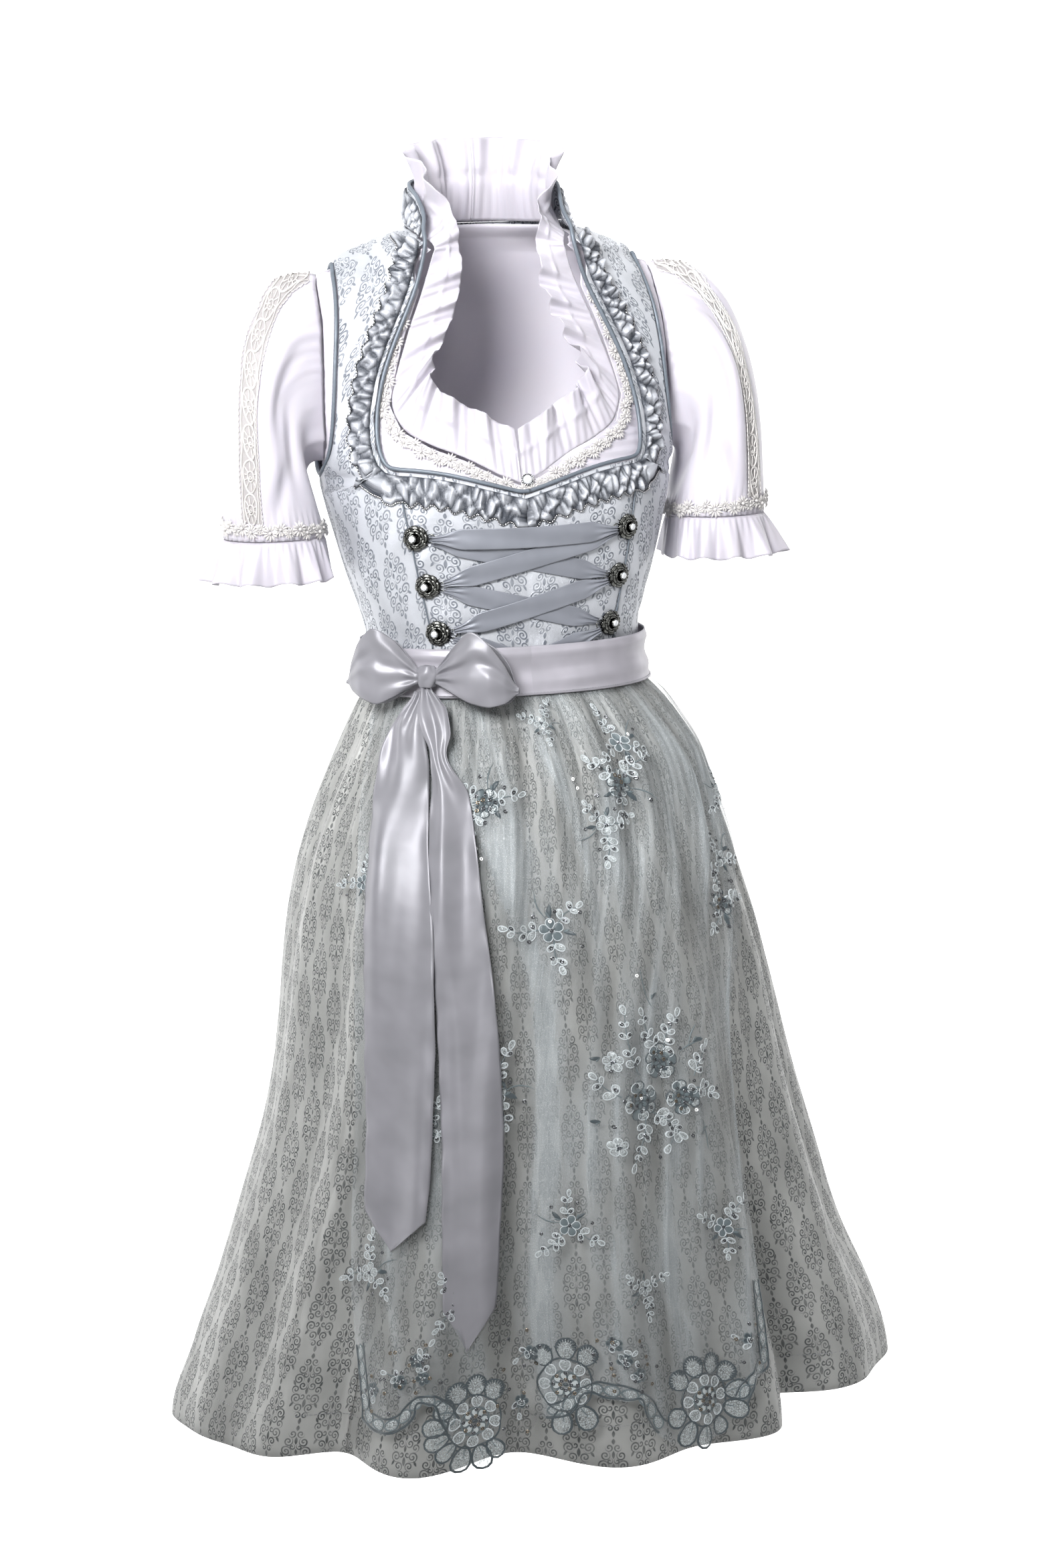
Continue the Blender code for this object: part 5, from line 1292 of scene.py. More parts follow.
def glitter_cord(edges):
    """Twisted silver cord along the outer edge of the trim."""
    shapes = []
    for edge in edges:
        path = resampled(edge, 260)
        away = unit(path * LEVEL)
        side = np.cross(unit(np.gradient(path, axis=0)), away)
        turn = np.arange(len(path))[:, None] * 1.15
        for strand in (0.0, np.pi):
            twist = side * np.cos(turn + strand) + away * np.sin(turn + strand)
            shapes.append(tubes([path + away * 0.7 + twist * 0.5], [away], 0.5, 4))
    new_piece("trim_glitter_cord", joined(*shapes), BRIGHT)


bodice_front()
bodice_sides()
bodice_back()
collar()
piping()
panel_seams()
trims()


# Skirt

# Width of the gathered cloth round the whole skirt
CLOTH_WIDTH = 2200.0
# Creases of the skirt. columns: angle at the waist, angle at the hem, start and end as shares
# of the height, half width in degrees, height
SKIRT_CREASES = (
    (-58.0, -69.0, 0.10, 1.10, 5.6, -11.0),
    (-76.0, -80.0, 0.06, 1.10, 4.6, 3.5),
    (-53.0, -57.0, 0.20, 1.10, 3.2, 4.0),
    (-90.0, -104.0, 0.30, 1.10, 4.2, -6.0),
    (56.0, 58.0, 0.12, 1.10, 4.4, -6.0),
    (70.0, 75.0, 0.05, 0.95, 4.0, -5.0),
    (96.0, 93.0, 0.15, 0.90, 3.8, 4.0),
    (121.0, 117.0, 0.08, 1.10, 4.6, -7.0),
    (138.0, 136.0, 0.25, 1.10, 3.6, 4.0),
    (158.0, 156.0, 0.05, 0.80, 3.4, -5.0),
    (176.0, 178.0, 0.15, 1.10, 4.6, -7.0),
    (196.0, 195.0, 0.30, 1.10, 4.0, -6.0),
    (214.0, 217.0, 0.10, 0.85, 3.4, 4.0),
    (236.0, 234.0, 0.12, 1.10, 4.4, -7.0),
)


def skirt_creases(angle, share):
    total = 0.0
    for top, hem, start, end, half_width, height in SKIRT_CREASES:
        middle = top + (hem - top) * share + 1.2 * np.sin(share * 9.0 + top)
        length = smooth(start, start + 0.25, share) * (1.0 - smooth(end - 0.2, end, share))
        ridge = bell(degrees_from(angle, middle), 0.0, half_width * (0.7 + 0.4 * share))
        total = total + height * length * ridge
    return total


def skirt_detail(angle, z):
    """Finer folds than the solid has: gathers under the waist, soft waves and creases below."""
    share = skirt_share(z)
    turn = np.radians(angle)
    wander = 0.22 * np.sin(share * 7.0 + turn * 3.0)
    near = smooth(0.0, 0.03, share) * (1.0 - smooth(0.10, 0.42, share))
    fine = near * (1.15 * np.sin(turn * 61.0 + 4.0 * wander) + 0.6 * np.sin(turn * 97.0 + 1.3))
    soft = smooth(0.15, 0.8, share) * 3.4 * waves(turn * 11.0 + wander * 5.0, share * 2.4, 2.0)
    under = smooth(-50.0, -56.0, angle) + smooth(40.0, 48.0, angle) + smooth(-170.0, -180.0, angle)
    return fine + soft + skirt_creases(angle, share) * np.clip(under, 0.0, 1.0)


def skirt_panel(name, start, end, node):
    cols, rows = 102, 74
    angle = np.linspace(start, end, cols)
    z = WAIST_Z - 3.0 + (HEM_Z - WAIST_Z + 3.0) * np.linspace(0.0, 1.0, rows) ** 1.12
    angle, z = np.meshgrid(angle, z)
    grid = skirt_point(angle, z, skirt_detail(angle, z) - 0.4)
    down = np.concatenate([np.zeros((1, cols)), np.cumsum(step_lengths(grid), axis=0)])
    uv = np.stack([angle / 360.0 * CLOTH_WIDTH, -down], axis=-1)
    cloth(name, grid, uv, SKIRT_CLOTH, (node,), wall=0.9)


def hem_stitches():
    """A blind-stitched line above the skirt's hem."""
    low = skirt_point(np.arange(0.0, 360.0, 0.72), HEM_Z + 36.0, 0.15)
    low = low + unit(low * LEVEL) * 0.3
    new_piece("skirt_hem_stitches", stitches(low, 0.7, 0.25), GREY_THREAD)


def skirt():
    for name, start, end, node in (
        ("skirt_width_front", -45.0, 45.0, "skirt_front"),
        ("skirt_width_right", 45.0, 135.0, "skirt_side_right"),
        ("skirt_width_back", 135.0, 225.0, "skirt_back"),
        ("skirt_width_left", 225.0, 315.0, "skirt_side_left"),
    ):
        skirt_panel(name, start, end, node)
    hem_stitches()


skirt()


# Apron


# Long folds of the apron. columns: place across at the top and the hem, start and end as
# shares of the height, width, height
APRON_CREASES = (
    (0.215, 0.443, 0.02, 1.10, 0.020, 7.0),
    (0.330, 0.375, 0.05, 0.70, 0.012, 2.6),
    (0.430, 0.560, 0.02, 0.90, 0.012, 2.8),
    (0.520, 0.610, 0.10, 1.10, 0.016, 3.4),
    (0.600, 0.690, 0.02, 0.75, 0.010, 2.4),
    (0.680, 0.740, 0.20, 1.10, 0.015, 3.2),
    (0.760, 0.820, 0.02, 0.85, 0.010, 2.6),
    (0.840, 0.930, 0.10, 1.10, 0.014, 3.0),
    (0.110, 0.120, 0.10, 1.10, 0.014, 2.6),
)


def crease_middle(crease, share):
    """Place across of a fold's line, which slants above and runs straight below."""
    top, hem = crease[:2]
    return top + (hem - top) * smooth(0.0, 0.5, share)


def apron_creases(place, share):
    """Folds that rise sharply on their left and fall away softly on their right."""
    total = 0.0
    for crease in APRON_CREASES:
        top, _, start, end, width, height = crease
        middle = crease_middle(crease, share) + 0.004 * np.sin(share * 11.0 + 40.0 * top)
        away = (place - middle) / width
        side = np.where(away < 0.0, np.exp(-(away / 0.35) ** 2), np.exp(-(away / 1.9) ** 2))
        total = total + height * side * smooth(start, start + 0.1, share) * (
            1.0 - smooth(end - 0.15, end, share))
    return total


def apron_crinkle(place, share):
    """Fine upright pleating of the gathered organza, and its long folds."""
    top = 1.0 - smooth(0.05, 0.5, share)
    fine = 0.8 * top * np.sin(2.0 * np.pi * 62.0 * place + 3.0 * np.sin(share * 5.0))
    long = 1.1 * waves(place * 75.0, share * 4.0, 1.0)
    creases = 0.75 * apron_creases(place, share) * smooth(0.0, 0.08, 1.0 - place)
    return (fine + long) * smooth(0.0, 0.05, share) + creases


def apron_shade(place, share):
    """Lighter where the cloth doubles in a fold, and a painted shadow in the hollow left of the main one.
    """
    middle = crease_middle(APRON_CREASES[0], share) - 0.075
    # A painted shadow in the hollow left of the main fold
    hollow = np.exp(-((place - middle) / 0.055) ** 2) * smooth(0.15, 0.35, share)
    return np.clip(apron_creases(place, share) / 5.0, 0.0, 1.0) - hollow


def apron_settling(place, share):
    """How far the left edge sinks towards the skirt."""
    return 4.0 * (1.0 - smooth(0.0, 0.05, np.abs(place))) * smooth(0.02, 0.12, share)


def apron():
    cols, rows = 244, 92
    place = np.linspace(0.0, 1.0, cols)
    share = np.linspace(0.0, 1.0, rows)
    place, share = np.meshgrid(place, share)
    z = APRON_TOP_Z + (apron_hem_z(place) - APRON_TOP_Z) * share
    left, right = unpacked(APRON_EDGES, z)
    angle = left + (right - left) * place
    whole = skirt_share(z)
    crinkle = apron_crinkle(place, whole)
    grid = apron_point(angle, z, 0.6 + crinkle - apron_settling(place, whole))
    uv = np.stack([(place - 0.5) * 900.0, z], axis=-1)
    cloth("apron_sheet", grid, uv, ORGANZA, ("apron",), wall=0.0,
          relief=apron_shade(place, whole))


apron()


# Embroidery


def axes(way):
    """Directions ahead and to the left of a way in degrees."""
    cos, sin = heading(way)
    return np.array([cos, sin]), np.array([-sin, cos])


def out_at(way, reach, start=(0.0, 0.0)):
    """The place at a distance from start on a way in degrees."""
    cos, sin = heading(way)
    return start[0] + reach * cos, start[1] + reach * sin


class Stitching:
    """Thread work drawn in millimetres on a surface, gathered into one piece for each thread."""

    def __init__(self, name, surface, scale):
        self.name = name
        self.surface = surface
        self.scale = scale
        self.parts = {}
        self.at(0.0, 0.0)

    def at(self, across, along, turn=0.0, size=1.0):
        """Go to a place on the surface, to draw the next shapes round it."""
        self.start = np.array([across, along])
        self.ahead, self.side = axes(turn)
        self.size = size

    def add(self, thread, places, height, index):
        """A sheet of thread: its places, their heights and their numbers as a grid."""
        turned = (places[..., :1] * self.ahead + places[..., 1:] * self.side) * self.size
        on_cloth = self.start + turned * self.scale(*self.start)
        height = np.broadcast_to(height, on_cloth.shape[:-1])[..., None]
        points = np.concatenate([on_cloth, height], axis=-1).reshape(-1, 3)
        faces = quads(index)[:, (0, 3, 2, 1)]
        self.parts.setdefault(thread, []).append((points, faces.tolist()))

    def band(self, thread, path, width, height, closed=False):
        """A raised band of satin stitches along a path."""
        path = np.asarray(path, float)
        run = np.roll(path, -1, 0) - np.roll(path, 1, 0) if closed else np.gradient(path, axis=0)
        side = unit(np.stack([-run[:, 1], run[:, 0]], axis=-1))
        half = 0.5 * np.broadcast_to(width, (len(path),))[:, None]
        places = path[:, None] + side[:, None] * (half * np.array([-1.0, -0.5, 0.5, 1.0]))[..., None]
        index = np.arange(len(path) * 4).reshape(-1, 4)
        if closed:
            index = np.concatenate([index, index[:1]])
        self.add(thread, places, np.array([0.0, height, height, 0.0])[None, :], index)

    def leaf(self, thread, start, way, length, width, bow=0.0, height=0.6):
        share = np.linspace(0.0, 1.0, 7)
        ahead, side = axes(way)
        middle = np.sin(np.pi * share)
        path = np.array(start) + length * (share[:, None] * ahead + bow * middle[:, None] * side)
        self.band(thread, path, width * middle ** 0.75 + 0.12, height)

    def ring(self, thread, start, way, length, width, line, height=0.6, steps=13):
        """The outline of a petal."""
        turn = np.arange(steps) * 2.0 * np.pi / steps
        along = length * (0.5 - 0.5 * np.cos(turn))
        across = 0.5 * width * np.sin(turn) * (1.0 - 0.22 * np.cos(turn))
        ahead, side = axes(way)
        path = np.array(start) + along[:, None] * ahead + across[:, None] * side
        self.band(thread, path, line, height, closed=True)

    def petal(self, start, way, length, width, fill, edge, line):
        """A filled petal with its outline. It starts at its foot."""
        share = np.linspace(0.0, 1.0, 8)
        turn = np.arccos(1.0 - 2.0 * share)
        path = np.array(start) + length * share[:, None] * axes(way)[0]
        inside = 0.94 * width * np.sin(turn) * (1.0 - 0.22 * np.cos(turn))
        self.band(fill, path, inside + 0.05, 0.4)
        self.ring(edge, start, way, length, width, line)

    def comb(self, start, way, reach, spread, strokes, stroke=4.4):
        """Short dark stitches fanned round the end of a petal."""
        for number in range(strokes):
            turn = way + spread * (2.0 * number / (strokes - 1.0) - 1.0)
            self.leaf("dark", out_at(turn, reach - stroke, start), turn, stroke, 1.9, height=0.8)

    def sequin(self, at, thread="sequin"):
        turn = np.arange(10) * 0.2 * np.pi
        circle = np.stack([np.cos(turn), np.sin(turn)], axis=-1)
        places = np.array(at) + circle[None] * np.array([0.55, 1.1, 1.6])[:, None, None]
        index = np.arange(30).reshape(3, 10)
        index = np.concatenate([index, index[:, :1]], axis=1)
        self.add(thread, places, np.array([0.8, 1.25, 0.8])[:, None], index)

    def finish(self, looks, turned_over=False):
        """Make the pieces. A surface on the other half of the body needs its faces turned over."""
        for thread, parts in self.parts.items():
            places, faces = joined(*parts)
            if turned_over:
                faces = [face[::-1] for face in faces]
            new_piece("%s_%s" % (self.name, thread), (self.surface(*places.T), faces),
                      looks[thread])


def spray(work, start, way, length, pairs, leaf=9.0, wide=5.6, bow=0.08):
    """A stem with pairs of light leaves, each outlined and most with a sequin at its foot."""
    ahead, side = axes(way)
    share = np.linspace(0.0, 1.0, 12)[:, None]
    path = np.array(start) + length * (share * ahead + bow * np.sin(np.pi * share) * side)
    work.band("middle", path, np.linspace(1.3, 0.6, 12), 0.5)
    for number in range(pairs):
        at = path[int(2 + 9 * number / max(pairs - 0.5, 1.0))]
        for hand in (-1.0, 1.0):
            size = 1.0 - 0.14 * number + 0.08 * hand
            out = way + hand * (58.0 - 5.0 * number)
            work.petal(at, out, leaf * size, wide * size, "veil", "silver", 1.0)
            if (number + (hand > 0.0)) % 2 == 0:
                work.sequin(out_at(out, leaf * 0.45, at))
    work.petal(path[-1], way, leaf * 0.9, wide * 0.85, "veil", "silver", 1.0)


def dark_leaves(work, start, way, length):
    work.leaf("dark", start, way, length, length * 0.34, 0.05)
    work.leaf("middle", start, way + 38.0, length * 0.55, length * 0.2, -0.05)


def small_flower(work, at, size, fill="veil", edge="silver", centre="dark"):
    for number in range(5):
        way = 72.0 * number + 18.0
        work.petal(out_at(way, 0.16 * size, at), way, size * 0.84, size * 0.74, fill, edge, 0.8)
    for number in range(3):
        way = math.degrees(2.1 * number)
        work.leaf(centre, out_at(way, -1.2, at), way, 4.4, 2.0, height=0.9)
    work.sequin(at)


def rose(work, at, size, seed):
    """A full rose: light scalloped petals, a dark shaded ring, light heart petals, sequins."""
    for number in range(9):
        way = math.degrees(2.0 * np.pi * number / 9.0 + 0.2 * math.sin(3.0 * number + seed))
        work.petal(out_at(way, 0.48 * size, at), way, size * 0.56, size * 0.62,
                   "veil" if number % 3 else "middle", "silver" if number % 2 else "dark", 1.0)
    for number in range(7):
        start = 2.0 * np.pi * number / 7.0 + seed
        turn = np.linspace(start, start + 0.75, 8)
        path = np.stack([at[0] + 0.56 * size * np.cos(turn), at[1] + 0.56 * size * np.sin(turn)], axis=-1)
        width = 0.30 * size * np.sin(np.linspace(0.15, np.pi - 0.15, 8))
        work.band("dark" if number % 3 else "middle", path, width, 0.8)
    for number in range(6):
        way = math.degrees(2.0 * np.pi * number / 6.0 + seed)
        work.petal(out_at(way, 0.10 * size, at), way, size * 0.34, size * 0.28, "middle", "dark", 0.9)
    for number in range(4):
        way = math.degrees(1.6 * number + seed)
        work.leaf("dark", out_at(way, 0.06 * size, at), way + 60.0, size * 0.2, 1.6, height=1.0)
    for number in range(9):
        way = math.degrees(2.4 * number + seed)
        work.sequin(out_at(way, size * (0.28 + 0.07 * number), at),
                    "sequin" if number % 3 else "bronze")


# Parts of the large spray from its middle. columns: x, y, way, length, pairs of leaves
CLUSTER_SPRAYS = (
    (2.4, 26.0, 112.0, 34.0, 3),
    (8.0, 26.0, 60.0, 30.0, 3),
    (-20.0, 8.0, 99.0, 54.0, 4),
    (31.0, 0.0, 52.0, 27.0, 3),
    (31.0, -10.0, -28.0, 22.0, 3),
    (-18.0, -28.0, -111.0, 40.0, 4),
    (-10.0, -26.0, -44.0, 30.0, 4),
    (-40.0, -7.0, 138.0, 24.0, 2),
    (8.0, -44.0, -120.0, 13.0, 1),
)
# columns: x, y, size, seed
CLUSTER_ROSES = ((2.5, 16.0, 14.5, 0.3), (-21.0, -14.0, 16.0, 1.4), (18.5, -17.0, 14.0, 2.6))
CLUSTER_FLOWERS = ((-43.0, 22.0, 8.5), (-46.0, -49.0, 8.0))
# columns: x, y, way, length
CLUSTER_DARK = ((-53.0, 27.0, 178.0, 10.0), (34.0, 29.0, 6.0, 11.0), (1.0, 70.0, 40.0, 7.5),
                (-57.0, -27.0, 170.0, 10.0), (34.0, -49.0, 20.0, 7.0), (36.0, -49.0, 200.0, 6.0))
CLUSTER_STEMS = ((1.0, 62.0, 104.0, 38.0), (35.0, -40.0, -84.0, 26.0), (22.0, 22.0, 20.0, 22.0),
                 (30.0, 26.0, 62.0, 20.0))
# Small sprays over the apron. columns: angle, z, turn, size
SMALL_SPRAYS = (
    (19.2, -479.0, 10.0, 1.10),
    (24.0, -446.0, 80.0, 0.85),
    (13.0, -512.0, 240.0, 0.90),
    (47.0, -597.0, -28.0, 1.10),
    (52.0, -560.0, 90.0, 0.80),
    (-3.8, -596.0, 150.0, 1.10),
    (-19.5, -731.0, 40.0, 1.15),
    (-4.2, -847.0, 200.0, 0.95),
    (-43.0, -889.0, 70.0, 0.95),
    (-20.0, -487.0, 120.0, 1.05),
    (-1.0, -424.0, 30.0, 0.60),
    (-53.0, -557.0, 60.0, 0.70),
    (-32.8, -760.0, -60.0, 0.85),
    (27.0, -868.0, 20.0, 0.90),
    (9.0, -905.0, 250.0, 0.75),
    (-24.0, -910.0, 100.0, 0.85),
    (62.0, -505.0, 190.0, 0.70),
)


def cluster(work):
    work.at(17.0, -733.0)
    for x, y, way, length, pairs in CLUSTER_SPRAYS:
        spray(work, (x, y), way, length, pairs)
    for x, y, size, seed in CLUSTER_ROSES:
        rose(work, (x, y), size, seed)
    for x, y, size in CLUSTER_FLOWERS:
        small_flower(work, (x, y), size)
    for x, y, way, length in CLUSTER_DARK:
        dark_leaves(work, (x, y), way, length)
    for x, y, way, length in CLUSTER_STEMS:
        work.leaf("middle", (x, y), way, length, 1.2, 0.06)
    for number in range(16):
        work.sequin(out_at(math.degrees(2.4 * number), 30.0 + 2.1 * number, (0.0, -4.0)))


def small_spray(work, angle, z, turn, size, number):
    work.at(angle, z, turn, size)
    if number % 3:
        small_flower(work, (0.0, 0.0), 9.5, "middle" if number % 2 else "veil", "silver")
    else:
        rose(work, (0.0, 0.0), 11.0, 0.7 * number)
    spray(work, (7.0, 3.0), 24.0, 26.0, 3, 8.0, 5.0)
    spray(work, (-5.0, 6.0), 128.0, 20.0, 2, 7.5, 4.8, -0.1)
    spray(work, (-2.0, -8.0), 248.0, 18.0, 2, 7.0, 4.4, 0.1)
    dark_leaves(work, (5.0, -8.0), -62.0, 11.0)
    dark_leaves(work, (-8.0, -3.0), 196.0, 9.0)
    work.leaf("middle", (6.0, -6.0), -38.0, 24.0, 1.1, 0.12)
    for bead in range(6):
        work.sequin(out_at(math.degrees(1.1 * bead + number), 15.0 + 2.2 * bead))


BORDER_RADIUS = 322.0
BORDER_WIDTH = 11.5
BORDER_CELL = 14.0
# Shares of the hem where the plain border runs
BORDER_RUNS = ((0.0, 0.215), (0.44, 0.685), (0.915, 1.0))
# Border flowers. columns: angle, z, ways of the hanging petals, ways of the upper petals
BORDER_FLOWERS = (
    (-20.0, -1012.0, (152.0, 176.0, 202.0, 228.0, 254.0, 283.0, 312.0), (62.0, 92.0, 124.0)),
    (17.8, -1011.0, (202.0, 232.0, 264.0, 300.0, 332.0, 0.0), (36.0, 70.0, 106.0, 140.0)),
    (-5.5, -983.0, (300.0, 262.0), (52.0, 88.0, 128.0)),
)
# Sequins painted near white as glints of light. columns: angle, z
PAINTED_GLINTS = (
    (27.5, -439.0), (5.0, -471.0), (6.0, -479.0), (-21.5, -525.0), (-20.0, -533.0),
    (14.0, -640.0), (20.0, -700.0), (12.0, -745.0), (24.0, -762.0), (-4.0, -588.0),
)
# Small dark flowers above the border. columns: angle, z
BORDER_BLOSSOMS = (
    (-30.5, -955.0), (-29.0, -969.0), (-33.0, -975.0), (-11.0, -958.0), (-12.5, -1000.0),
    (2.5, -949.0), (3.8, -962.0), (6.0, -976.0), (27.5, -967.0), (-38.0, -985.0),
)


def border_path():
    """The apron's edge: millimetres round and up, and its place across."""
    place = np.linspace(0.0, 1.0, 500)
    hem = apron_hem_z(place)
    left = np.linspace(-955.0, hem[0], 40)[:-1]
    right = np.linspace(hem[-1], -925.0, 40)[1:]
    place = np.concatenate([np.zeros(left.shape), place, np.ones(right.shape)])
    z = np.concatenate([left, hem, right])
    edge_left, edge_right = unpacked(APRON_EDGES, z)
    angle = edge_left + (edge_right - edge_left) * place
    return resampled(np.stack([np.radians(angle) * BORDER_RADIUS, z, place], axis=-1), 460)


def moved_in(path, distance, calm):
    """A path moved inwards and calmed, so that it does not cross itself in the valleys."""
    run = np.gradient(path, axis=0)
    moved = path + unit(np.stack([-run[:, 1], run[:, 0]], axis=-1)) * distance
    half = calm // 2
    for column in range(2):
        moved[half:-half, column] = np.convolve(moved[:, column], np.ones(calm) / calm, "valid")
    return moved


def border(work):
    """Two dark lines with oval cells between, where no border flower makes the edge."""
    work.at(0.0, 0.0)
    work.scale = lambda across, along: np.array([math.degrees(1.0 / BORDER_RADIUS), 1.0])
    whole = border_path()
    for low, high in BORDER_RUNS:
        edge = whole[(whole[:, 2] >= low) & (whole[:, 2] <= high), :2]
        wavy = 1.4 + 0.7 * np.abs(np.sin(np.arange(len(edge)) * 0.21))[:, None]
        work.band("dark", moved_in(edge, wavy, 5), 2.3, 0.9)
        work.band("dark", moved_in(edge, BORDER_WIDTH + wavy, 19), 1.9, 0.8)
        middle = moved_in(edge, 0.5 * BORDER_WIDTH + 1.4, 13)
        far = distances(middle)
        cells = int(far[-1] / BORDER_CELL)
        for number in range(cells):
            goal = (number + np.array([0.04, 0.96])) * far[-1] / cells
            start, end = at_distances(middle, far, goal)
            way = math.degrees(math.atan2(end[1] - start[1], end[0] - start[0]))
            work.petal(start, way, float(np.linalg.norm(end - start)), 8.8, "veil", "middle", 1.5)
    work.scale = apron_scale


def border_flower(work, angle, z, hanging, upper):
    work.at(angle, z)
    turn = np.linspace(0.0, 2.0 * np.pi, 48, endpoint=False)
    for reach, wave, line in ((11.5, 0.6, 1.4), (21.5, 1.6, 1.6)):
        far = reach + wave * np.abs(np.sin(turn * 2.5))
        work.band("dark" if reach > 12.0 else "middle",
                  np.stack([far * np.cos(turn), far * np.sin(turn)], axis=-1), line, 0.8, closed=True)
    for number in range(8):
        way = 45.0 * number
        work.petal(out_at(way, 12.0), way, 9.5, 9.0, "veil", "silver", 1.2)
        work.petal(out_at(way, 4.0), way + 22.0, 7.0, 5.0, "light", "middle", 0.9)
        work.sequin(out_at(way, 10.0), "bronze" if number % 2 else "sequin")
        work.sequin(out_at(90.0 - way, 4.5), "sequin" if number % 3 else "bronze")
    work.leaf("dark", (-2.4, 0.0), 0.0, 4.8, 3.6, height=1.0)
    for number, way in enumerate(hanging):
        length = 20.0 + 3.0 * math.sin(2.0 * number + angle)
        start = out_at(way, 21.5)
        lean = way + 9.0 * math.sin(1.7 * number)
        work.petal(start, lean, length, 15.0 + 1.6 * math.cos(1.3 * number), "veil", "dark", 2.0)
        work.leaf("middle", start, lean + 8.0, 0.55 * length, 1.3)
    for way in upper:
        tip = out_at(way, 30.5)
        work.petal(out_at(way, 21.0), way, 19.0, 17.0, "veil", "dark", 1.5)
        work.comb(tip, way + 12.0, 10.5, 70.0, 9)
        work.comb(tip, way - 72.0, 10.5, 16.0, 3, 5.5)


def apron_scale(angle, z):
    """Degrees round and millimetres up for each millimetre drawn."""
    side_x, front = read(SKIRT, np.array([z]))[0][:2]
    turn = math.radians(angle)
    radius = math.hypot(side_x * math.cos(turn), front * math.sin(turn))
    return np.array([math.degrees(1.0 / radius), 1.0])


def on_apron(angle, z, height):
    share = skirt_share(z)
    place = apron_place(angle, z)
    drape = apron_crinkle(place, share) - apron_settling(place, share)
    return apron_point(angle, z, 0.9 + drape + height)


def embroidery():
    work = Stitching("embroidery", on_apron, apron_scale)
    cluster(work)
    for number, (angle, z, turn, size) in enumerate(SMALL_SPRAYS):
        small_spray(work, angle, z, turn, size, number)
    border(work)
    # Sequins painted near white as glints
    for angle, z in PAINTED_GLINTS:
        work.at(angle, z)
        work.sequin((0.0, 0.0), "painted_glint")
    for angle, z, hanging, upper in BORDER_FLOWERS:
        border_flower(work, angle, z, hanging, upper)
    for number, (angle, z) in enumerate(BORDER_BLOSSOMS):
        work.at(angle, z, 31.0 * number)
        small_flower(work, (0.0, 0.0), 6.2, "dark", "middle", "light")
        spray(work, (4.0, 3.0), 60.0 + 25.0 * number, 12.0, 1, 6.5, 4.0)
        for bead in range(6):
            way = 1.05 * bead + number
            at = (11.0 + 3.0 * bead) * math.cos(way), 5.0 + (9.0 + 2.4 * bead) * math.sin(way)
            work.sequin(at, "bronze" if bead % 2 else "sequin")
    looks = {"dark": DARK_THREAD, "middle": MIDDLE_THREAD, "light": LIGHT_THREAD, "veil": VEIL,
             "silver": SILVER_THREAD, "sequin": SEQUIN, "bronze": BRONZE, "painted_glint": PAINTED_GLINT_LOOK}
    work.finish(looks)


embroidery()


# Sash


SASH_TOP_Z = -358.5
SASH_LOW_Z = -401.0
# The cut band, round and down
SASH_CUT = (790.0, 44.0)


def sash():
    cols, rows = 220, 18
    angle = np.linspace(0.0, 360.0, cols, endpoint=False)
    angle, z = np.meshgrid(angle, np.linspace(SASH_TOP_Z, SASH_LOW_Z, rows))
    rise = read(SASH, z)[..., 0]
    turn = np.radians(angle)
    share = (z - SASH_TOP_Z) / (SASH_LOW_Z - SASH_TOP_Z)
    pull = 1.0 * np.sin(share * 8.0 + 1.2 * np.sin(turn * 2.0 + 0.6) + 2.0 * np.sin(turn))
    crease = 0.9 * bell(degrees_from(angle, KNOT_ANGLE), 0.0, 16.0) * np.sin(share * 15.0)
    strip = 0.7 * (1.0 - smooth(0.20, 0.24, share))
    grid = sash_point(angle, z, rise + 1.0 + (pull + crease) * bell(share, 0.5, 0.42) + strip)
    cloth("sash_band", grid, plain_uv(rows, cols + 1, *SASH_CUT), SASH_SATIN_PAINTED_LIGHTER, ("sash",),
          wall=0.9, ring=True)
    lines = []
    for height in (SASH_TOP_Z - 1.8, SASH_LOW_Z + 1.8):
        lift = read(SASH, height)[0] + 1.3
        path = sash_point(np.arange(0.0, 360.0, 1.3), height, lift)
        lines.append(stitches(path, 0.64, 0.18))
    new_piece("sash_stitches", joined(*lines), GREY_THREAD)


KNOT_ANGLE = -42.0
KNOT_Z = -381.0
KNOT_HALF = (9.6, 9.8, 7.2)
KNOT_OUT = 15.6
# The loops from the side of the knot. columns: distance from it, top, bottom, half depth, out
BOW_LEFT = (
    (7.0, 6.5, -6.5, 1.2, 15.6),
    (17.0, 17.0, -11.0, 2.8, 16.4),
    (31.0, 34.0, -18.5, 6.5, 17.6),
    (46.0, 42.0, -24.0, 9.5, 19.0),
    (61.0, 31.0, -20.0, 9.0, 18.6),
    (74.0, 11.0, -15.5, 5.0, 16.0),
    (83.0, -7.0, -10.5, 0.0, 14.5),
)
BOW_RIGHT = (
    (7.0, 6.5, -6.5, 1.2, 15.6),
    (15.0, 13.0, -8.5, 2.6, 16.4),
    (27.0, 26.0, -14.5, 5.5, 17.4),
    (45.0, 40.5, -22.0, 9.5, 19.0),
    (59.0, 32.0, -24.5, 10.0, 19.0),
    (72.0, 13.0, -22.0, 7.0, 17.0),
    (82.0, -9.0, -14.5, 0.0, 15.0),
)
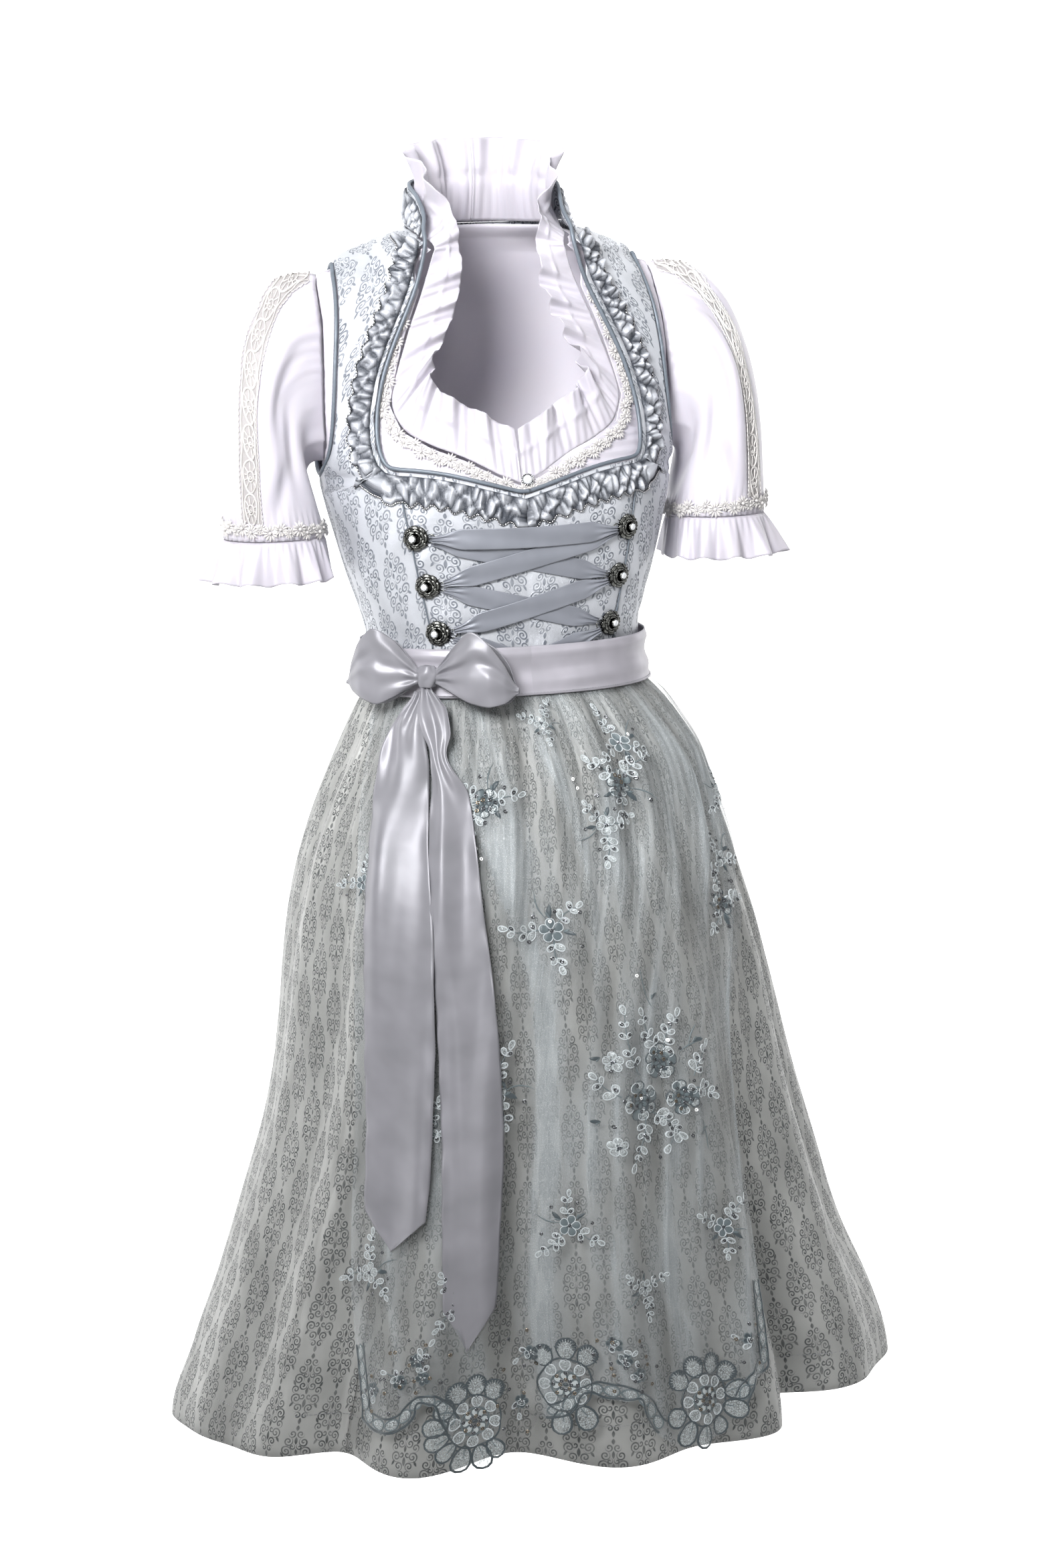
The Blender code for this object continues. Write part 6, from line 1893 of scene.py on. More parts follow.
# columns: z, middle angle, half width, lift off the apron
TAIL_LEFT = (
    (-867.0, -38.4, 1.2, 2.0),
    (-836.0, -38.6, 30.5, 3.8),
    (-770.0, -39.4, 32.0, 5.2),
    (-690.0, -39.6, 32.5, 5.2),
    (-610.0, -39.8, 31.5, 4.6),
    (-520.0, -43.0, 27.0, 4.4),
    (-455.0, -47.0, 22.0, 5.0),
    (-426.0, -48.6, 16.0, 8.5),
    (-411.0, -47.0, 9.6, 11.5),
    (-394.0, -44.6, 4.6, 12.0),
)
TAIL_RIGHT = (
    (-950.0, -22.3, 1.2, 1.8),
    (-913.0, -22.2, 21.0, 3.0),
    (-850.0, -22.8, 23.0, 4.0),
    (-760.0, -23.4, 24.5, 4.0),
    (-640.0, -24.4, 23.0, 4.6),
    (-540.0, -27.0, 20.0, 4.8),
    (-480.0, -30.0, 15.0, 6.4),
    (-444.0, -35.0, 7.0, 11.5),
    (-426.0, -36.2, 12.0, 14.0),
    (-408.0, -38.6, 12.5, 15.0),
    (-399.0, -40.2, 8.0, 14.0),
    (-390.0, -41.6, 4.0, 13.0),
)


def knot_frame():
    """The knot's foot on the sash, and the directions right and out from there."""
    base = sash_point(KNOT_ANGLE, KNOT_Z, 0.0)
    right = sash_point(KNOT_ANGLE + 3.0, KNOT_Z, 0.0) - sash_point(KNOT_ANGLE - 3.0, KNOT_Z, 0.0)
    right = unit(right * LEVEL)
    return base, right, unit(np.cross(right, UP))


def bow_loop(name, node, sign, table, seed):
    """A loop, from the knot over its front, round its end and back behind."""
    base, right, out = knot_frame()
    turn = np.linspace(0.0, np.pi, 121)
    near_end, far_end = table[0][0], table[-1][0]
    reach = near_end + (far_end - near_end) * np.sin(turn) ** 0.9
    top, bottom, half_depth, rise = unpacked(table, reach)
    face = np.cos(turn)
    sink = -reach ** 2 / (420.0 if sign < 0.0 else 1400.0)
    depth = np.maximum(half_depth, 0.6) * np.sign(face) * np.minimum(1.0, np.abs(face) * 3.0)
    across = np.linspace(-1.0, 1.0, 40)[None, :]
    reach, rise, sink, depth, top, bottom, face = (
        value[:, None] for value in (reach, rise, sink, depth, top, bottom, face))
    near = np.exp(-(reach - near_end) / 24.0)
    folds = 3.0 * near * np.cos(across * 9.0 + seed + 0.4 * np.sin(reach / 17.0))
    dent = bell(across + 0.25 - reach / 110.0, 0.0, 0.22) * bell(reach, 48.0, 24.0)
    ridge = bell(across - 0.45 + reach / 160.0, 0.0, 0.20) * bell(reach, 40.0, 26.0)
    folds = folds - 4.2 * dent + 2.6 * ridge
    folds = folds + 0.9 * np.sin(across * 6.0 - reach / 9.0 + 2.0 * seed) * bell(reach, 52.0, 24.0)
    height = bottom + (top - bottom) * (across + 1.0) * 0.5
    out_by = rise + sink + depth + 2.0 * np.sign(face) * (1.0 - across ** 2)
    out_by = out_by + folds * np.where(face < 0.0, 0.2, 1.0) * smooth(near_end, near_end + 11.0, reach)
    behind = smooth(0.0, 0.5, -face) * bell(reach, 50.0, 26.0)
    lift = height * (1.0 - 0.10 * behind) - 4.5 * behind
    grid = base + right * (sign * reach)[..., None] + out * out_by[..., None] + UP * lift[..., None]
    grid = np.swapaxes(grid, 0, 1)
    cloth(name, grid, measured_uv(grid), SATIN, (node,), wall=0.5)


def bow_knot():
    """The knot as cloth wrapped tightly round, with folds drawn in at top and bottom."""
    base, right, out = knot_frame()
    half_x, half_z, half_y = KNOT_HALF
    turn, height = np.meshgrid(np.linspace(0.0, 2.0 * np.pi, 72, endpoint=False),
                               np.linspace(1.0, -1.0, 34))
    waist = np.cos(height * 1.15) ** 0.6 + 0.03 * np.sin(height * 5.0)
    folds = 0.9 * np.sin(turn * 4.0 + height * 2.6 + 0.6 * np.sin(height * 3.0))
    folds = folds * (0.5 + 0.5 * np.abs(height))
    wide = half_x * waist + folds
    deep = half_y * waist + folds * 0.8
    centre = base + out * KNOT_OUT
    middle = centre + UP * (half_z * height[..., None])
    grid = middle + right * (wide * np.cos(turn))[..., None] + out * (deep * np.sin(turn))[..., None]
    ends = np.abs(height[..., None]) > 0.999
    grid = np.where(ends, middle + (grid - middle) * 0.25, grid)
    uv = plain_uv(len(grid), grid.shape[1] + 1, 70.0, 34.0)
    cloth("bow_middle", grid, uv, SATIN, ("bow_knot",), axis=centre[:2], wall=0.4,
          ring=True)


def bow_tail(name, node, table, seed, raised=0.0, under=0.0):
    """A tie's end. Under is how far its left edge is tucked in behind the other end."""
    rows, cols = 140, 28
    top, tip = table[-1][0], table[0][0]
    z = np.linspace(top, tip + 0.01, rows)
    middle, half, lift = unpacked(table, z)
    corner = table[1][0]
    half = np.where(z < corner, table[1][2] * (z - tip) / (corner - tip) + 0.3, half)
    side_x = read(SKIRT, z)[:, 0]
    spread = np.degrees(half / (side_x * 0.93))
    across = np.linspace(-1.0, 1.0, cols)[None, :]
    z, middle, spread, lift, half = (v[:, None] for v in (z, middle, spread, lift, half))
    ripple = 1.3 * np.minimum(1.0, half / 20.0) * np.cos(2.6 * across + z / 95.0 + seed)
    folds = smooth(-540.0, -405.0, z) * 1.5 * np.cos(across * 7.0 + seed + z / 40.0)
    pucker = 0.8 * np.abs(across) ** 6 * (np.sin(z / 6.0 + seed) + np.sin(z / 17.0 + across))
    roll = 1.2 * across ** 4 * np.sin(z / 60.0 + seed)
    tuck = under * smooth(-0.30, -0.75, across) * smooth(-440.0, -475.0, z)
    out = 1.6 + lift + ripple + folds + pucker + roll + raised - tuck
    grid = apron_point(middle + spread * across, z, out)
    cloth(name, grid, measured_uv(grid)[..., ::-1], SATIN, (node,), wall=0.5)


sash()
bow_loop("bow_loop_satin_left", "bow_loop_left", -1.0, BOW_LEFT, 0.4)
bow_loop("bow_loop_satin_right", "bow_loop_right", 1.0, BOW_RIGHT, 1.9)
bow_knot()
bow_tail("bow_tail_satin_left", "bow_tail_left", TAIL_LEFT, 0.3, raised=1.2)
bow_tail("bow_tail_satin_right", "bow_tail_right", TAIL_RIGHT, 2.2, under=2.4)


# Lacing

HOOKS = ((93.0, -261.5, 0.5), (83.8, -303.5, 0.5), (75.6, -345.0, 0.9))
RIBBON_WIDTH = 17.5
# Distance from the middle of a hook to where the ribbon starts
RIBBON_START = 12.5
RIBBON_LAYER = 1.5
# The row of a run's end under the sash, and that end's place
SASH_ROW = 4
SASH_END = (22.0, -384.0)
# columns: start side, start row, end side, end row, layer
LACING = (
    (-1, 1, 1, 1, 2),
    (-1, 1, 1, 2, 0),
    (1, 1, -1, 2, 1),
    (-1, 2, 1, 3, 0),
    (1, 2, -1, 3, 1),
    (1, 3, -1, 4, 1),
    (-1, 3, 1, 4, 0),
)


def lacing_place(side, row):
    x, z = SASH_END if row == SASH_ROW else HOOKS[row - 1][:2]
    return side * x, z


def lacing():
    for number, (side_a, row_a, side_b, row_b, layer) in enumerate(LACING, start=1):
        start_x, start_z = lacing_place(side_a, row_a)
        end_x, end_z = lacing_place(side_b, row_b)
        length = math.hypot(end_x - start_x, end_z - start_z)
        drop = 2.5 if row_a == row_b else 0.0
        first = RIBBON_START / length
        last = 1.0 - (RIBBON_START / length if row_b < SASH_ROW else 0.0)
        share = np.linspace(first, last, 96)[:, None]
        across = np.linspace(-1.0, 1.0, 20)[None, :]
        x = start_x + (end_x - start_x) * share
        z = start_z + (end_z - start_z) * share - drop * np.sin(np.pi * share)
        near_end = (last - share) if row_b < SASH_ROW else 1.0
        near = np.minimum(share - first, near_end) * length
        pinch = smooth(0.0, 26.0, near)
        half = 0.5 * RIBBON_WIDTH * (0.30 + 0.70 * pinch)
        px = x - (end_z - start_z) / length * half * across
        pz = z + (end_x - start_x) / length * half * across
        folds = (1.0 - pinch) * 1.7 * np.cos(across * 8.0 + number)
        wave = 0.45 * np.sin(across * 3.0 + share * 9.0 + number) * pinch
        rise = 1.8 + RIBBON_LAYER * layer + folds * 0.6 + wave + (1.0 - pinch) * 1.6
        grid = np.swapaxes(torso(angle_at(px, pz), pz, rise), 0, 1)
        cloth("lacing_satin_%d" % number, grid, measured_uv(grid), RIBBON,
              ("lacing_%d" % number,), wall=0.35)


lacing()


# Blouse


# Levels of the blouse below its armhole
BLOUSE_LEVELS = (BLOUSE_HEM_Z, -276.0, -242.0, -214.0)


def blouse_rows():
    """Angle and height of both edges of a blouse front, from its hem to the shoulder."""
    rows = [(0.06, z, SIDE_END, z) for z in BLOUSE_LEVELS[:3]]
    inner = BLOUSE_NECKLINE + ((67.0, -6.0),)
    for (x, z), right in zip(inner, BLOUSE_LEVELS[3:] + BLOUSE_ARMHOLE_LEVELS + (-34.0,)):
        rows.append((float(angle_at(x, z, blouse_base)), z, 90.0, right))
    rows.append((90.0, NECK_POINT_Z, 90.0, BLOUSE_SHOULDER_Z))
    return np.array(rows)


def blouse_body():
    angle, z = panel_places(blouse_rows(), 56, -225.0, repeats=6)
    base = torso(angle, z, -BLOUSE_DEPTH, blouse_base)
    edge = distances(base[:, 0])
    from_edge = np.linalg.norm(base - base[:, :1], axis=-1)
    high = smooth(-262.0, -222.0, z)
    fan = edge[:, None] / 8.4 + 0.5 * np.sin(edge[:, None] / 23.0) + from_edge / 170.0
    gathers = np.sin(2.0 * np.pi * fan) * np.exp(-from_edge / 46.0) * smooth(0.0, 5.0, from_edge)
    grid = torso(angle, z, -BLOUSE_DEPTH - 0.2 + 1.7 * gathers * high, blouse_base)
    for side, sign, _ in SIDES:
        sheet = mirrored(grid, sign)
        cloth("blouse_satin_" + side, sheet, measured_uv(sheet), BLOUSE_SATIN,
              ("blouse_front_" + side,), wall=0.7)
    levels = BLOUSE_LEVELS + BLOUSE_ARMHOLE_LEVELS
    angle, z = back_places(levels, BLOUSE_SHOULDER_Z, 8, 70, 46)
    back = torso(angle, z, -BLOUSE_DEPTH, blouse_base)
    cloth("blouse_satin_back", back, measured_uv(back), BLOUSE_SATIN,
          ("blouse_back",), wall=0.7)


CUFF_CENTRE = (202.0, -3.0, -262.0)
CUFF_HALF_WIDTH = 44.0
CUFF_HALF_DEPTH = 49.0
# Waves of the sleeve round its whole width
SLEEVE_WAVES = 6


def sleeve_axis(sign):
    """The level place in the middle of a cuff."""
    return sign * CUFF_CENTRE[0], CUFF_CENTRE[1]


def sleeve_ring(share):
    """Points of the right armhole of the blouse at shares of its length, shoulder first."""
    front = np.array(BLOUSE_ARMHOLE_LEVELS + (BLOUSE_SHOULDER_Z,))
    back = np.array(BLOUSE_ARMHOLE_LEVELS[:0:-1])
    points = np.concatenate([torso(90.0, front, -BLOUSE_DEPTH, blouse_base),
                             torso(BACK_START, back, -BLOUSE_DEPTH, blouse_base)])
    top = len(BLOUSE_ARMHOLE_LEVELS)
    loop = np.concatenate([points[top:], points[:top], points[top:top + 1]])
    far = distances(loop)
    return at_distances(loop, far / far[-1], np.mod(share, 1.0))


def sleeve_point(around, share):
    """Points of the right sleeve, around from 0 to 1 from the shoulder by the back."""
    around, share = together(around, share)
    start = sleeve_ring(around) + np.array([0.9, 0.0, 0.0])
    turn = 2.0 * np.pi * around
    cos, sin = np.cos(turn), np.sin(turn)
    end = point(CUFF_CENTRE[0] + CUFF_HALF_WIDTH * cos, CUFF_CENTRE[1] + CUFF_HALF_DEPTH * sin,
                CUFF_CENTRE[2])
    height = (end[..., 2] - start[..., 2]) / (CUFF_CENTRE[2] + 31.0)
    reach = 32.0 + 268.0 * np.maximum(height, 0.0) ** 1.2
    drop = 60.0 + 200.0 * height
    away = point(1.0, 0.45 * sin, 0.12 * height) * reach[..., None]
    down = point(-0.15 + 0.15 * height, 0.0, -1.0) * drop[..., None]
    place = hermite(share[..., None], start, away, end, down)
    puff = 2.2 * np.sin(np.pi * share) * np.cos(SLEEVE_WAVES * turn + 3.0 * share)
    return place + point(cos, sin, 0.0) * puff[..., None]


# Long creases of a sleeve. columns: place round it at the cap and the cuff, start and end as
# shares of its length, width, depth
SLEEVE_CREASES = (
    (0.80, 0.71, 0.04, 0.62, 0.024, 2.6),
    (0.91, 0.80, 0.16, 0.95, 0.020, 2.4),
    (0.70, 0.66, 0.30, 0.80, 0.022, 2.2),
    (0.60, 0.78, 0.58, 0.99, 0.026, 3.6),
    (0.98, 0.94, 0.02, 0.50, 0.016, 1.8),
    (0.12, 0.20, 0.05, 0.75, 0.015, 3.0),
    (0.22, 0.34, 0.20, 0.95, 0.020, 3.8),
    (0.36, 0.30, 0.10, 0.60, 0.014, 2.6),
)


def sleeve_creases(around, share, seed):
    """Troughs with a soft ridge beside each."""
    total = 0.0
    for cap, cuff, start, end, width, depth in SLEEVE_CREASES:
        middle = cap + (cuff - cap) * share + 0.012 * np.sin(share * 6.0 + seed + 9.0 * cap)
        away = (np.mod(around - middle + 0.5, 1.0) - 0.5) / width
        length = smooth(start, start + 0.18, share) * (1.0 - smooth(end - 0.22, end, share))
        total = total + depth * length * (0.75 * bell(away, 1.8, 1.2) - bell(away, 0.0, 1.0))
    return total


def sleeve_folds(around, share, seed):
    """Gathers at the cap and cuff, and the few long creases between."""
    turn = 2.0 * np.pi * around
    cap = smooth(0.0, 0.02, share) * np.exp(-share / 0.15) * (0.08 + 0.92 * np.cos(turn / 2.0) ** 6)
    fold = 1.9 * cap * np.sin(turn * 34.0 + 1.5 * np.sin(turn * 5.0 + seed))
    cuff = smooth(0.80, 0.97, share) * np.sin(turn * 40.0 + seed) * 0.9
    slant = turn * 5.0 + share * 1.4 + seed
    long = 1.3 * np.sin(np.pi * share) * np.sin(slant + 0.9 * np.sin(share * 4.0 + turn))
    return fold + cuff + long + sleeve_creases(around, share, seed)


def sleeves():
    cols, rows = 132, 58
    around, share = np.meshgrid(np.arange(cols) / cols, np.linspace(0.0, 1.0, rows))
    plain = sleeve_point(around, share)
    normals = grid_normals(np.concatenate([plain, plain[:, :1]], axis=1))[:, :-1]
    outward = np.sign(((plain - np.array(CUFF_CENTRE)) * LEVEL * normals).sum())
    for side, sign, seed in SIDES:
        folds = sleeve_folds(around, share, seed)
        grid = plain + normals * (outward * folds)[..., None] - normals * outward * 0.5
        cloth("sleeve_satin_" + side, mirrored(grid, sign), plain_uv(rows, cols + 1, 420.0, 250.0),
              BLOUSE_SATIN, ("sleeve_" + side,), axis=sleeve_axis(sign), wall=0.7,
              ring=True)


def cuff_frills():
    count, rows = 12, 20
    cols = count * 18
    turn, share = np.meshgrid(np.arange(cols) * 2.0 * np.pi / cols, np.linspace(0.0, 1.0, rows))
    beat = count * turn
    grow = 17.0 * share ** 0.8
    wave = 6.5 * share * np.cos(beat + 0.6 * np.sin(3 * turn))
    wave = wave + 1.3 * share * np.cos(2.0 * beat + turn * 5.0)
    inner_side = np.maximum(0.0, -np.cos(turn))
    half_width = CUFF_HALF_WIDTH + grow * (1.0 - 0.75 * inner_side) + wave * (1.0 - 0.7 * inner_side)
    half_depth = CUFF_HALF_DEPTH + grow * 0.8 + wave
    gathers = 0.9 * np.sin(beat * 4.0 + turn) * (1.0 - share) ** 1.5 * smooth(0.0, 0.12, share)
    z = CUFF_CENTRE[2] - 0.8 - 36.0 * share + 2.0 * share * np.cos(beat)
    grid = point(CUFF_CENTRE[0] + (half_width + gathers) * np.cos(turn),
                 CUFF_CENTRE[1] + (half_depth + gathers) * np.sin(turn), z)
    uv = plain_uv(rows, cols + 1, 620.0, 40.0)
    for side, sign, _ in SIDES:
        cloth("cuff_frill_satin_" + side, mirrored(grid, sign), uv, FRILL_SATIN_PAINTED_DARKER,
              ("sleeve_frill_" + side,), axis=sleeve_axis(sign), wall=0.5,
              ring=True)


# From centre front to centre back. columns: base_x, base_z, free_x, free_y, free_z, bow
NECK_FRILL = (
    (0.6, -219.0, 1.2, -86.0, -173.0, 0.0),
    (19.0, -210.0, 20.0, -82.0, -163.0, 0.0),
    (47.0, -195.0, 42.0, -74.0, -150.0, 0.0),
    (75.0, -184.0, 62.0, -67.0, -138.0, 0.0),
    (98.0, -170.0, 68.0, -61.0, -124.0, 0.0),
    (106.0, -148.0, 63.0, -57.0, -108.0, 0.0),
    (92.0, -99.0, 50.0, -54.0, -86.0, 0.0),
    (83.0, -75.0, 41.0, -50.0, -64.0, 0.0),
    (74.0, -52.0, 35.0, -47.0, -42.0, 0.0),
    (64.0, -16.0, 34.0, -44.0, -14.0, 1.0),
    (67.0, -6.0, 40.0, -38.0, 14.0, 4.0),
    (72.0, 3.0, 58.0, -18.0, 48.0, 8.0),
    (66.0, 3.0, 68.0, 6.0, 67.0, 8.0),
    (49.0, 3.0, 51.0, 39.0, 74.0, 9.0),
    (25.0, 3.0, 28.0, 54.0, 77.0, 9.0),
    (0.0, 3.0, 0.0, 59.0, 78.0, 9.0),
)
NECK_FRILL_SHOULDER = 11.0
NECK_FRILL_WAVES = 13


def neck_frill():
    table = [(float(i),) + row for i, row in enumerate(NECK_FRILL)]
    cols = NECK_FRILL_WAVES * 18
    key = (len(table) - 1) * np.arange(cols + 1) / cols
    x, z, free_x, free_y, free_z, bow = unpacked(table, key)
    angle = angle_at(x, z, blouse_base)
    angle = np.where(key > NECK_FRILL_SHOULDER, 180.0 - angle, angle)
    base = torso(angle, z, -BLOUSE_DEPTH - 0.6, blouse_base)
    free = point(free_x, free_y, free_z)
    base = base + unit(free - base) * 3.0
    share = np.linspace(1.0, 0.0, 24)[:, None]
    col = np.arange(cols + 1)[None, :] / 26.0 * 4.0
    line = base + (free - base) * share[..., None]
    run = np.gradient(line, axis=1)
    out = unit(np.cross(run, (free - base)[None]))
    phase = 2.0 * np.pi * NECK_FRILL_WAVES * np.arange(cols + 1)[None, :] / cols
    box = np.sin(phase + 0.5 * np.sin(phase / 5.0)) + 0.22 * np.sin(3.0 * phase)
    wave = 6.4 * share ** 1.2 * box * np.minimum(1.0, col / 3.0)
    gathers = 0.8 * np.sin(phase * 4.0 + 1.0) * (1.0 - share) * smooth(0.0, 0.1, share)
    ridge = 2.2 * bell(share, 0.55, 0.06) * (0.6 + 0.4 * np.sin(phase * 2.0))
    inward = unit(-base * LEVEL) * bow[:, None]
    half = (line + out * (wave + gathers + ridge)[..., None]
            + inward * np.sin(np.pi * share)[..., None])
    grid = np.concatenate([mirrored(half), half[:, -2::-1]], axis=1)
    uv = plain_uv(grid.shape[0], grid.shape[1], 1300.0, 55.0)
    cloth("neck_frill_satin", grid, uv, FRILL_SATIN_PAINTED_DARKER, ("neck_frill",), wall=0.5)


blouse_body()
sleeves()
cuff_frills()
neck_frill()


# Rose hooks, button, braids and lace


def ball(radius, sides=8, rings=5):
    """A small bead."""
    turn = np.arange(sides) * 2.0 * np.pi / sides
    level = np.linspace(0.0, np.pi, rings + 1)[1:-1]
    points = [(0.0, 0.0, radius)]
    for tilt in level:
        flat, high = radius * math.sin(tilt), radius * math.cos(tilt)
        points += [(flat * math.cos(t), flat * math.sin(t), high) for t in turn]
    points.append((0.0, 0.0, -radius))
    faces = [(0, 1 + i, 1 + (i + 1) % sides) for i in range(sides)]
    for ring in range(rings - 2):
        start = 1 + ring * sides
        for i in range(sides):
            j = (i + 1) % sides
            faces.append((start + i, start + sides + i, start + sides + j, start + j))
    last = len(points) - 1
    start = last - sides
    faces += [(last, start + (i + 1) % sides, start + i) for i in range(sides)]
    return points, faces


def lathe(profile, sides):
    """A turned shape from (radius, height) pairs, closed at its last pair."""
    turn = np.arange(sides) * 2.0 * np.pi / sides
    points = [(r * math.cos(t), r * math.sin(t), h) for r, h in profile for t in turn]
    faces = []
    for ring in range(len(profile) - 1):
        for i in range(sides):
            j = (i + 1) % sides
            low, high = ring * sides, (ring + 1) * sides
            faces.append((low + i, low + j, high + j, high + i))
    faces.append(tuple(range((len(profile) - 1) * sides, len(profile) * sides)))
    return points, faces


def placed(shape, x=0.0, y=0.0, z=0.0, turn=0.0):
    """A shape turned round its own Z, then moved."""
    points, faces = shape
    cos, sin = math.cos(turn), math.sin(turn)
    points = np.asarray(points, float)
    moved = np.stack([points[:, 0] * cos - points[:, 1] * sin + x,
                      points[:, 0] * sin + points[:, 1] * cos + y,
                      points[:, 2] + z], axis=-1)
    return moved, faces


def rose_petal(inner, outer, low, high, curl, half):
    """A curved petal with its rim rolled out, standing round the middle of a rose."""
    across = np.linspace(-1.0, 1.0, 9)[None, :]
    up = np.linspace(0.0, 1.0, 6)[:, None]
    reach = inner + (outer - inner) * up ** 0.8 * (1.0 - 0.22 * across ** 2)
    turn = half * across * (0.55 + 0.45 * up) + 0.12 * up
    rise = low + (high - low) * np.sin(up * 1.9) * (1.0 - 0.30 * across ** 2) - curl * up ** 4
    wave = 0.25 * np.sin(across * 5.0) * up
    front = np.stack([reach * np.cos(turn), reach * np.sin(turn), rise + wave], axis=-1)
    thick = np.stack([(reach + 0.5) * np.cos(turn), (reach + 0.5) * np.sin(turn), rise + wave - 0.55],
                     axis=-1)
    points = np.concatenate([front.reshape(-1, 3), thick.reshape(-1, 3)])
    index = np.arange(front.size // 3).reshape(front.shape[:2])
    sheet = quads(index)
    rim = quads(np.stack([index[-1], index[-1] + index.size]))
    return points, np.concatenate([sheet, sheet[:, ::-1] + index.size, rim]).tolist()


def rose_hook():
    """A cast rose: silver parts first, then its crystal. +X points to the ribbon."""
    parts = [lathe([(9.6, 0.0), (10.2, 0.7), (9.4, 1.5), (6.0, 2.2)], 24)]
    for ring, (count, inner, outer, low, high, curl) in enumerate((
        (8, 5.6, 11.0, 1.2, 3.4, 1.6), (6, 4.4, 8.4, 1.6, 4.6, 1.3), (5, 3.4, 6.2, 2.0, 5.2, 0.9),
    )):
        for number in range(count):
            turn = 2.0 * np.pi * (number + 0.37 * ring) / count
            parts.append(placed(rose_petal(inner, outer, low, high, curl, 3.6 / count), -1.0,
                                turn=turn))
    for number in range(9):
        turn = math.pi + 0.30 * (number - 4.0)
        parts.append(placed(ball(0.85), 10.4 * math.cos(turn) - 0.3, 10.4 * math.sin(turn), 2.3))
    for number in range(7):
        turn = 0.30 * (number - 3.0)
        ray = np.array([(9.0, 1.0 - 0.2, 1.2), (15.2, 0.0, 0.9), (9.0, -1.0, 1.2), (10.0, 0.0, 2.8)])
        parts.append(placed((ray * np.array([1.0 - 0.03 * abs(number - 3.0) ** 2, 1.0, 1.0]),
                             [(0, 3, 1), (3, 2, 1), (0, 1, 2)]), turn=turn))
    ring = np.linspace(-1.9, 1.9, 13)
    loop = np.stack([13.0 + 3.2 * np.cos(ring), 3.6 * np.sin(ring), np.full(ring.shape, 1.3)], axis=-1)
    parts.append(tubes([loop], UP, 0.6, 6))
    cup = lathe([(3.7, 2.6), (3.9, 4.8), (3.3, 5.1), (3.1, 4.2)], 20)
    parts.append(placed(cup, -3.6))
    stone = placed(lathe([(3.2, 4.5), (2.7, 5.4), (1.4, 6.0)], 8), -3.6)
    return joined(*parts), stone


def hook_places():
    """Name, place, way out and way to the ribbon of each hook."""
    for side, sign, _ in reversed(SIDES):
        for number, (x, z, rise) in enumerate(HOOKS, start=1):
            angle = float(angle_at(x, z))
            centre = torso(angle, z, rise)
            normal = normal_at(dress_base, angle, z)
            inward = unit(torso(angle - 2.0, z) - torso(angle, z))
            yield ("%s_%d" % (side, number), *(mirrored(v, sign) for v in (centre, normal, inward)))


def hooks():
    metal_shape, stone = rose_hook()
    for name, centre, normal, inward in hook_places():
        new_piece("hook_" + name, copies(metal_shape, [centre], np.array([inward]), [normal]),
                    SILVER, ("rose_hook_" + name,))
        new_piece("hook_crystal_" + name, copies(stone, [centre], np.array([inward]), [normal]),
                    CRYSTAL, rounded=False)


def button():
    """The crystal button in its beaded silver rim."""
    angle, z = 1.6, -214.5
    centre = torso(angle, z, -BLOUSE_DEPTH + 2.2)
    normal = normal_at(dress_base, angle, z)
    right = np.array([[1.0, 0.0, 0.0]])
    parts = [lathe([(5.2, 0.0), (5.4, 1.1), (4.6, 1.6), (4.4, 1.0)], 24)]
    for number in range(18):
        turn = 2.0 * np.pi * number / 18.0
        parts.append(placed(ball(0.8), 5.2 * math.cos(turn), 5.2 * math.sin(turn), 1.5))
    new_piece("button_rim", copies(joined(*parts), [centre], right, [normal]), BRIGHT,
                ("blouse_button",))
    stone = lathe([(4.3, 1.2), (3.9, 2.5), (2.2, 3.6)], 10)
    new_piece("button_crystal", copies(stone, [centre], right, [normal]), CRYSTAL,
                rounded=False)


def daisy():
    """A spiky thread daisy of radius 1."""
    petals = 12
    points, faces = [], []
    for number in range(petals):
        turn = 2.0 * np.pi * number / petals
        lift = 0.07 * math.sin(2.4 * number)
        start = len(points)
        for reach, side, rise in ((0.16, 0.0, 0.16), (0.60, 0.13, 0.12), (1.0, 0.0, 0.06 + lift),
                                  (0.60, -0.13, 0.12), (0.58, 0.0, 0.30 + lift)):
            points.append((reach * math.cos(turn) - side * math.sin(turn),
                           reach * math.sin(turn) + side * math.cos(turn), rise))
        faces += [(start, start + 4, start + 1), (start + 1, start + 4, start + 2),
                  (start + 2, start + 4, start + 3), (start + 3, start + 4, start)]
    return joined((points, faces), placed(ball(0.2, 6, 4), z=0.24))


def braid(name, path, away, node, pitch, big, small):
    """Daisies in a row with smaller ones between, set on a twisted thread."""
    far = distances(path)
    count = int(far[-1] / pitch)
    goal = (np.arange(count) + 0.5) * far[-1] / count
    at = at_distances(path, far, goal)
    normals = unit(at_distances(away, far, goal))
    run = unit(np.gradient(at, axis=0))
    number = np.arange(count)
    at = at + np.cross(normals, run) * (1.6 * np.where(number % 2, 1.0, -1.0))[:, None]
    size = np.where(number % 3 == 1, small, big) * (1.0 + 0.08 * np.sin(number * 2.1))
    flowers = copies(daisy(), at, run, normals, size, spin=number * 0.7, lift=0.3)
    goal = np.linspace(0.0, far[-1], count * 6)
    line = at_distances(path, far, goal)
    turned = unit(at_distances(away, far, goal))
    across = np.cross(turned, unit(np.gradient(line, axis=0)))
    wave = (2.6 + 1.4 * np.sin(goal * 0.9))[:, None]
    threads = [tubes([line + across * wave * hand], [turned], 0.5, 5) for hand in (-1.0, 1.0)]
    new_piece(name, joined(flowers, *threads), WHITE_THREAD, (node,))


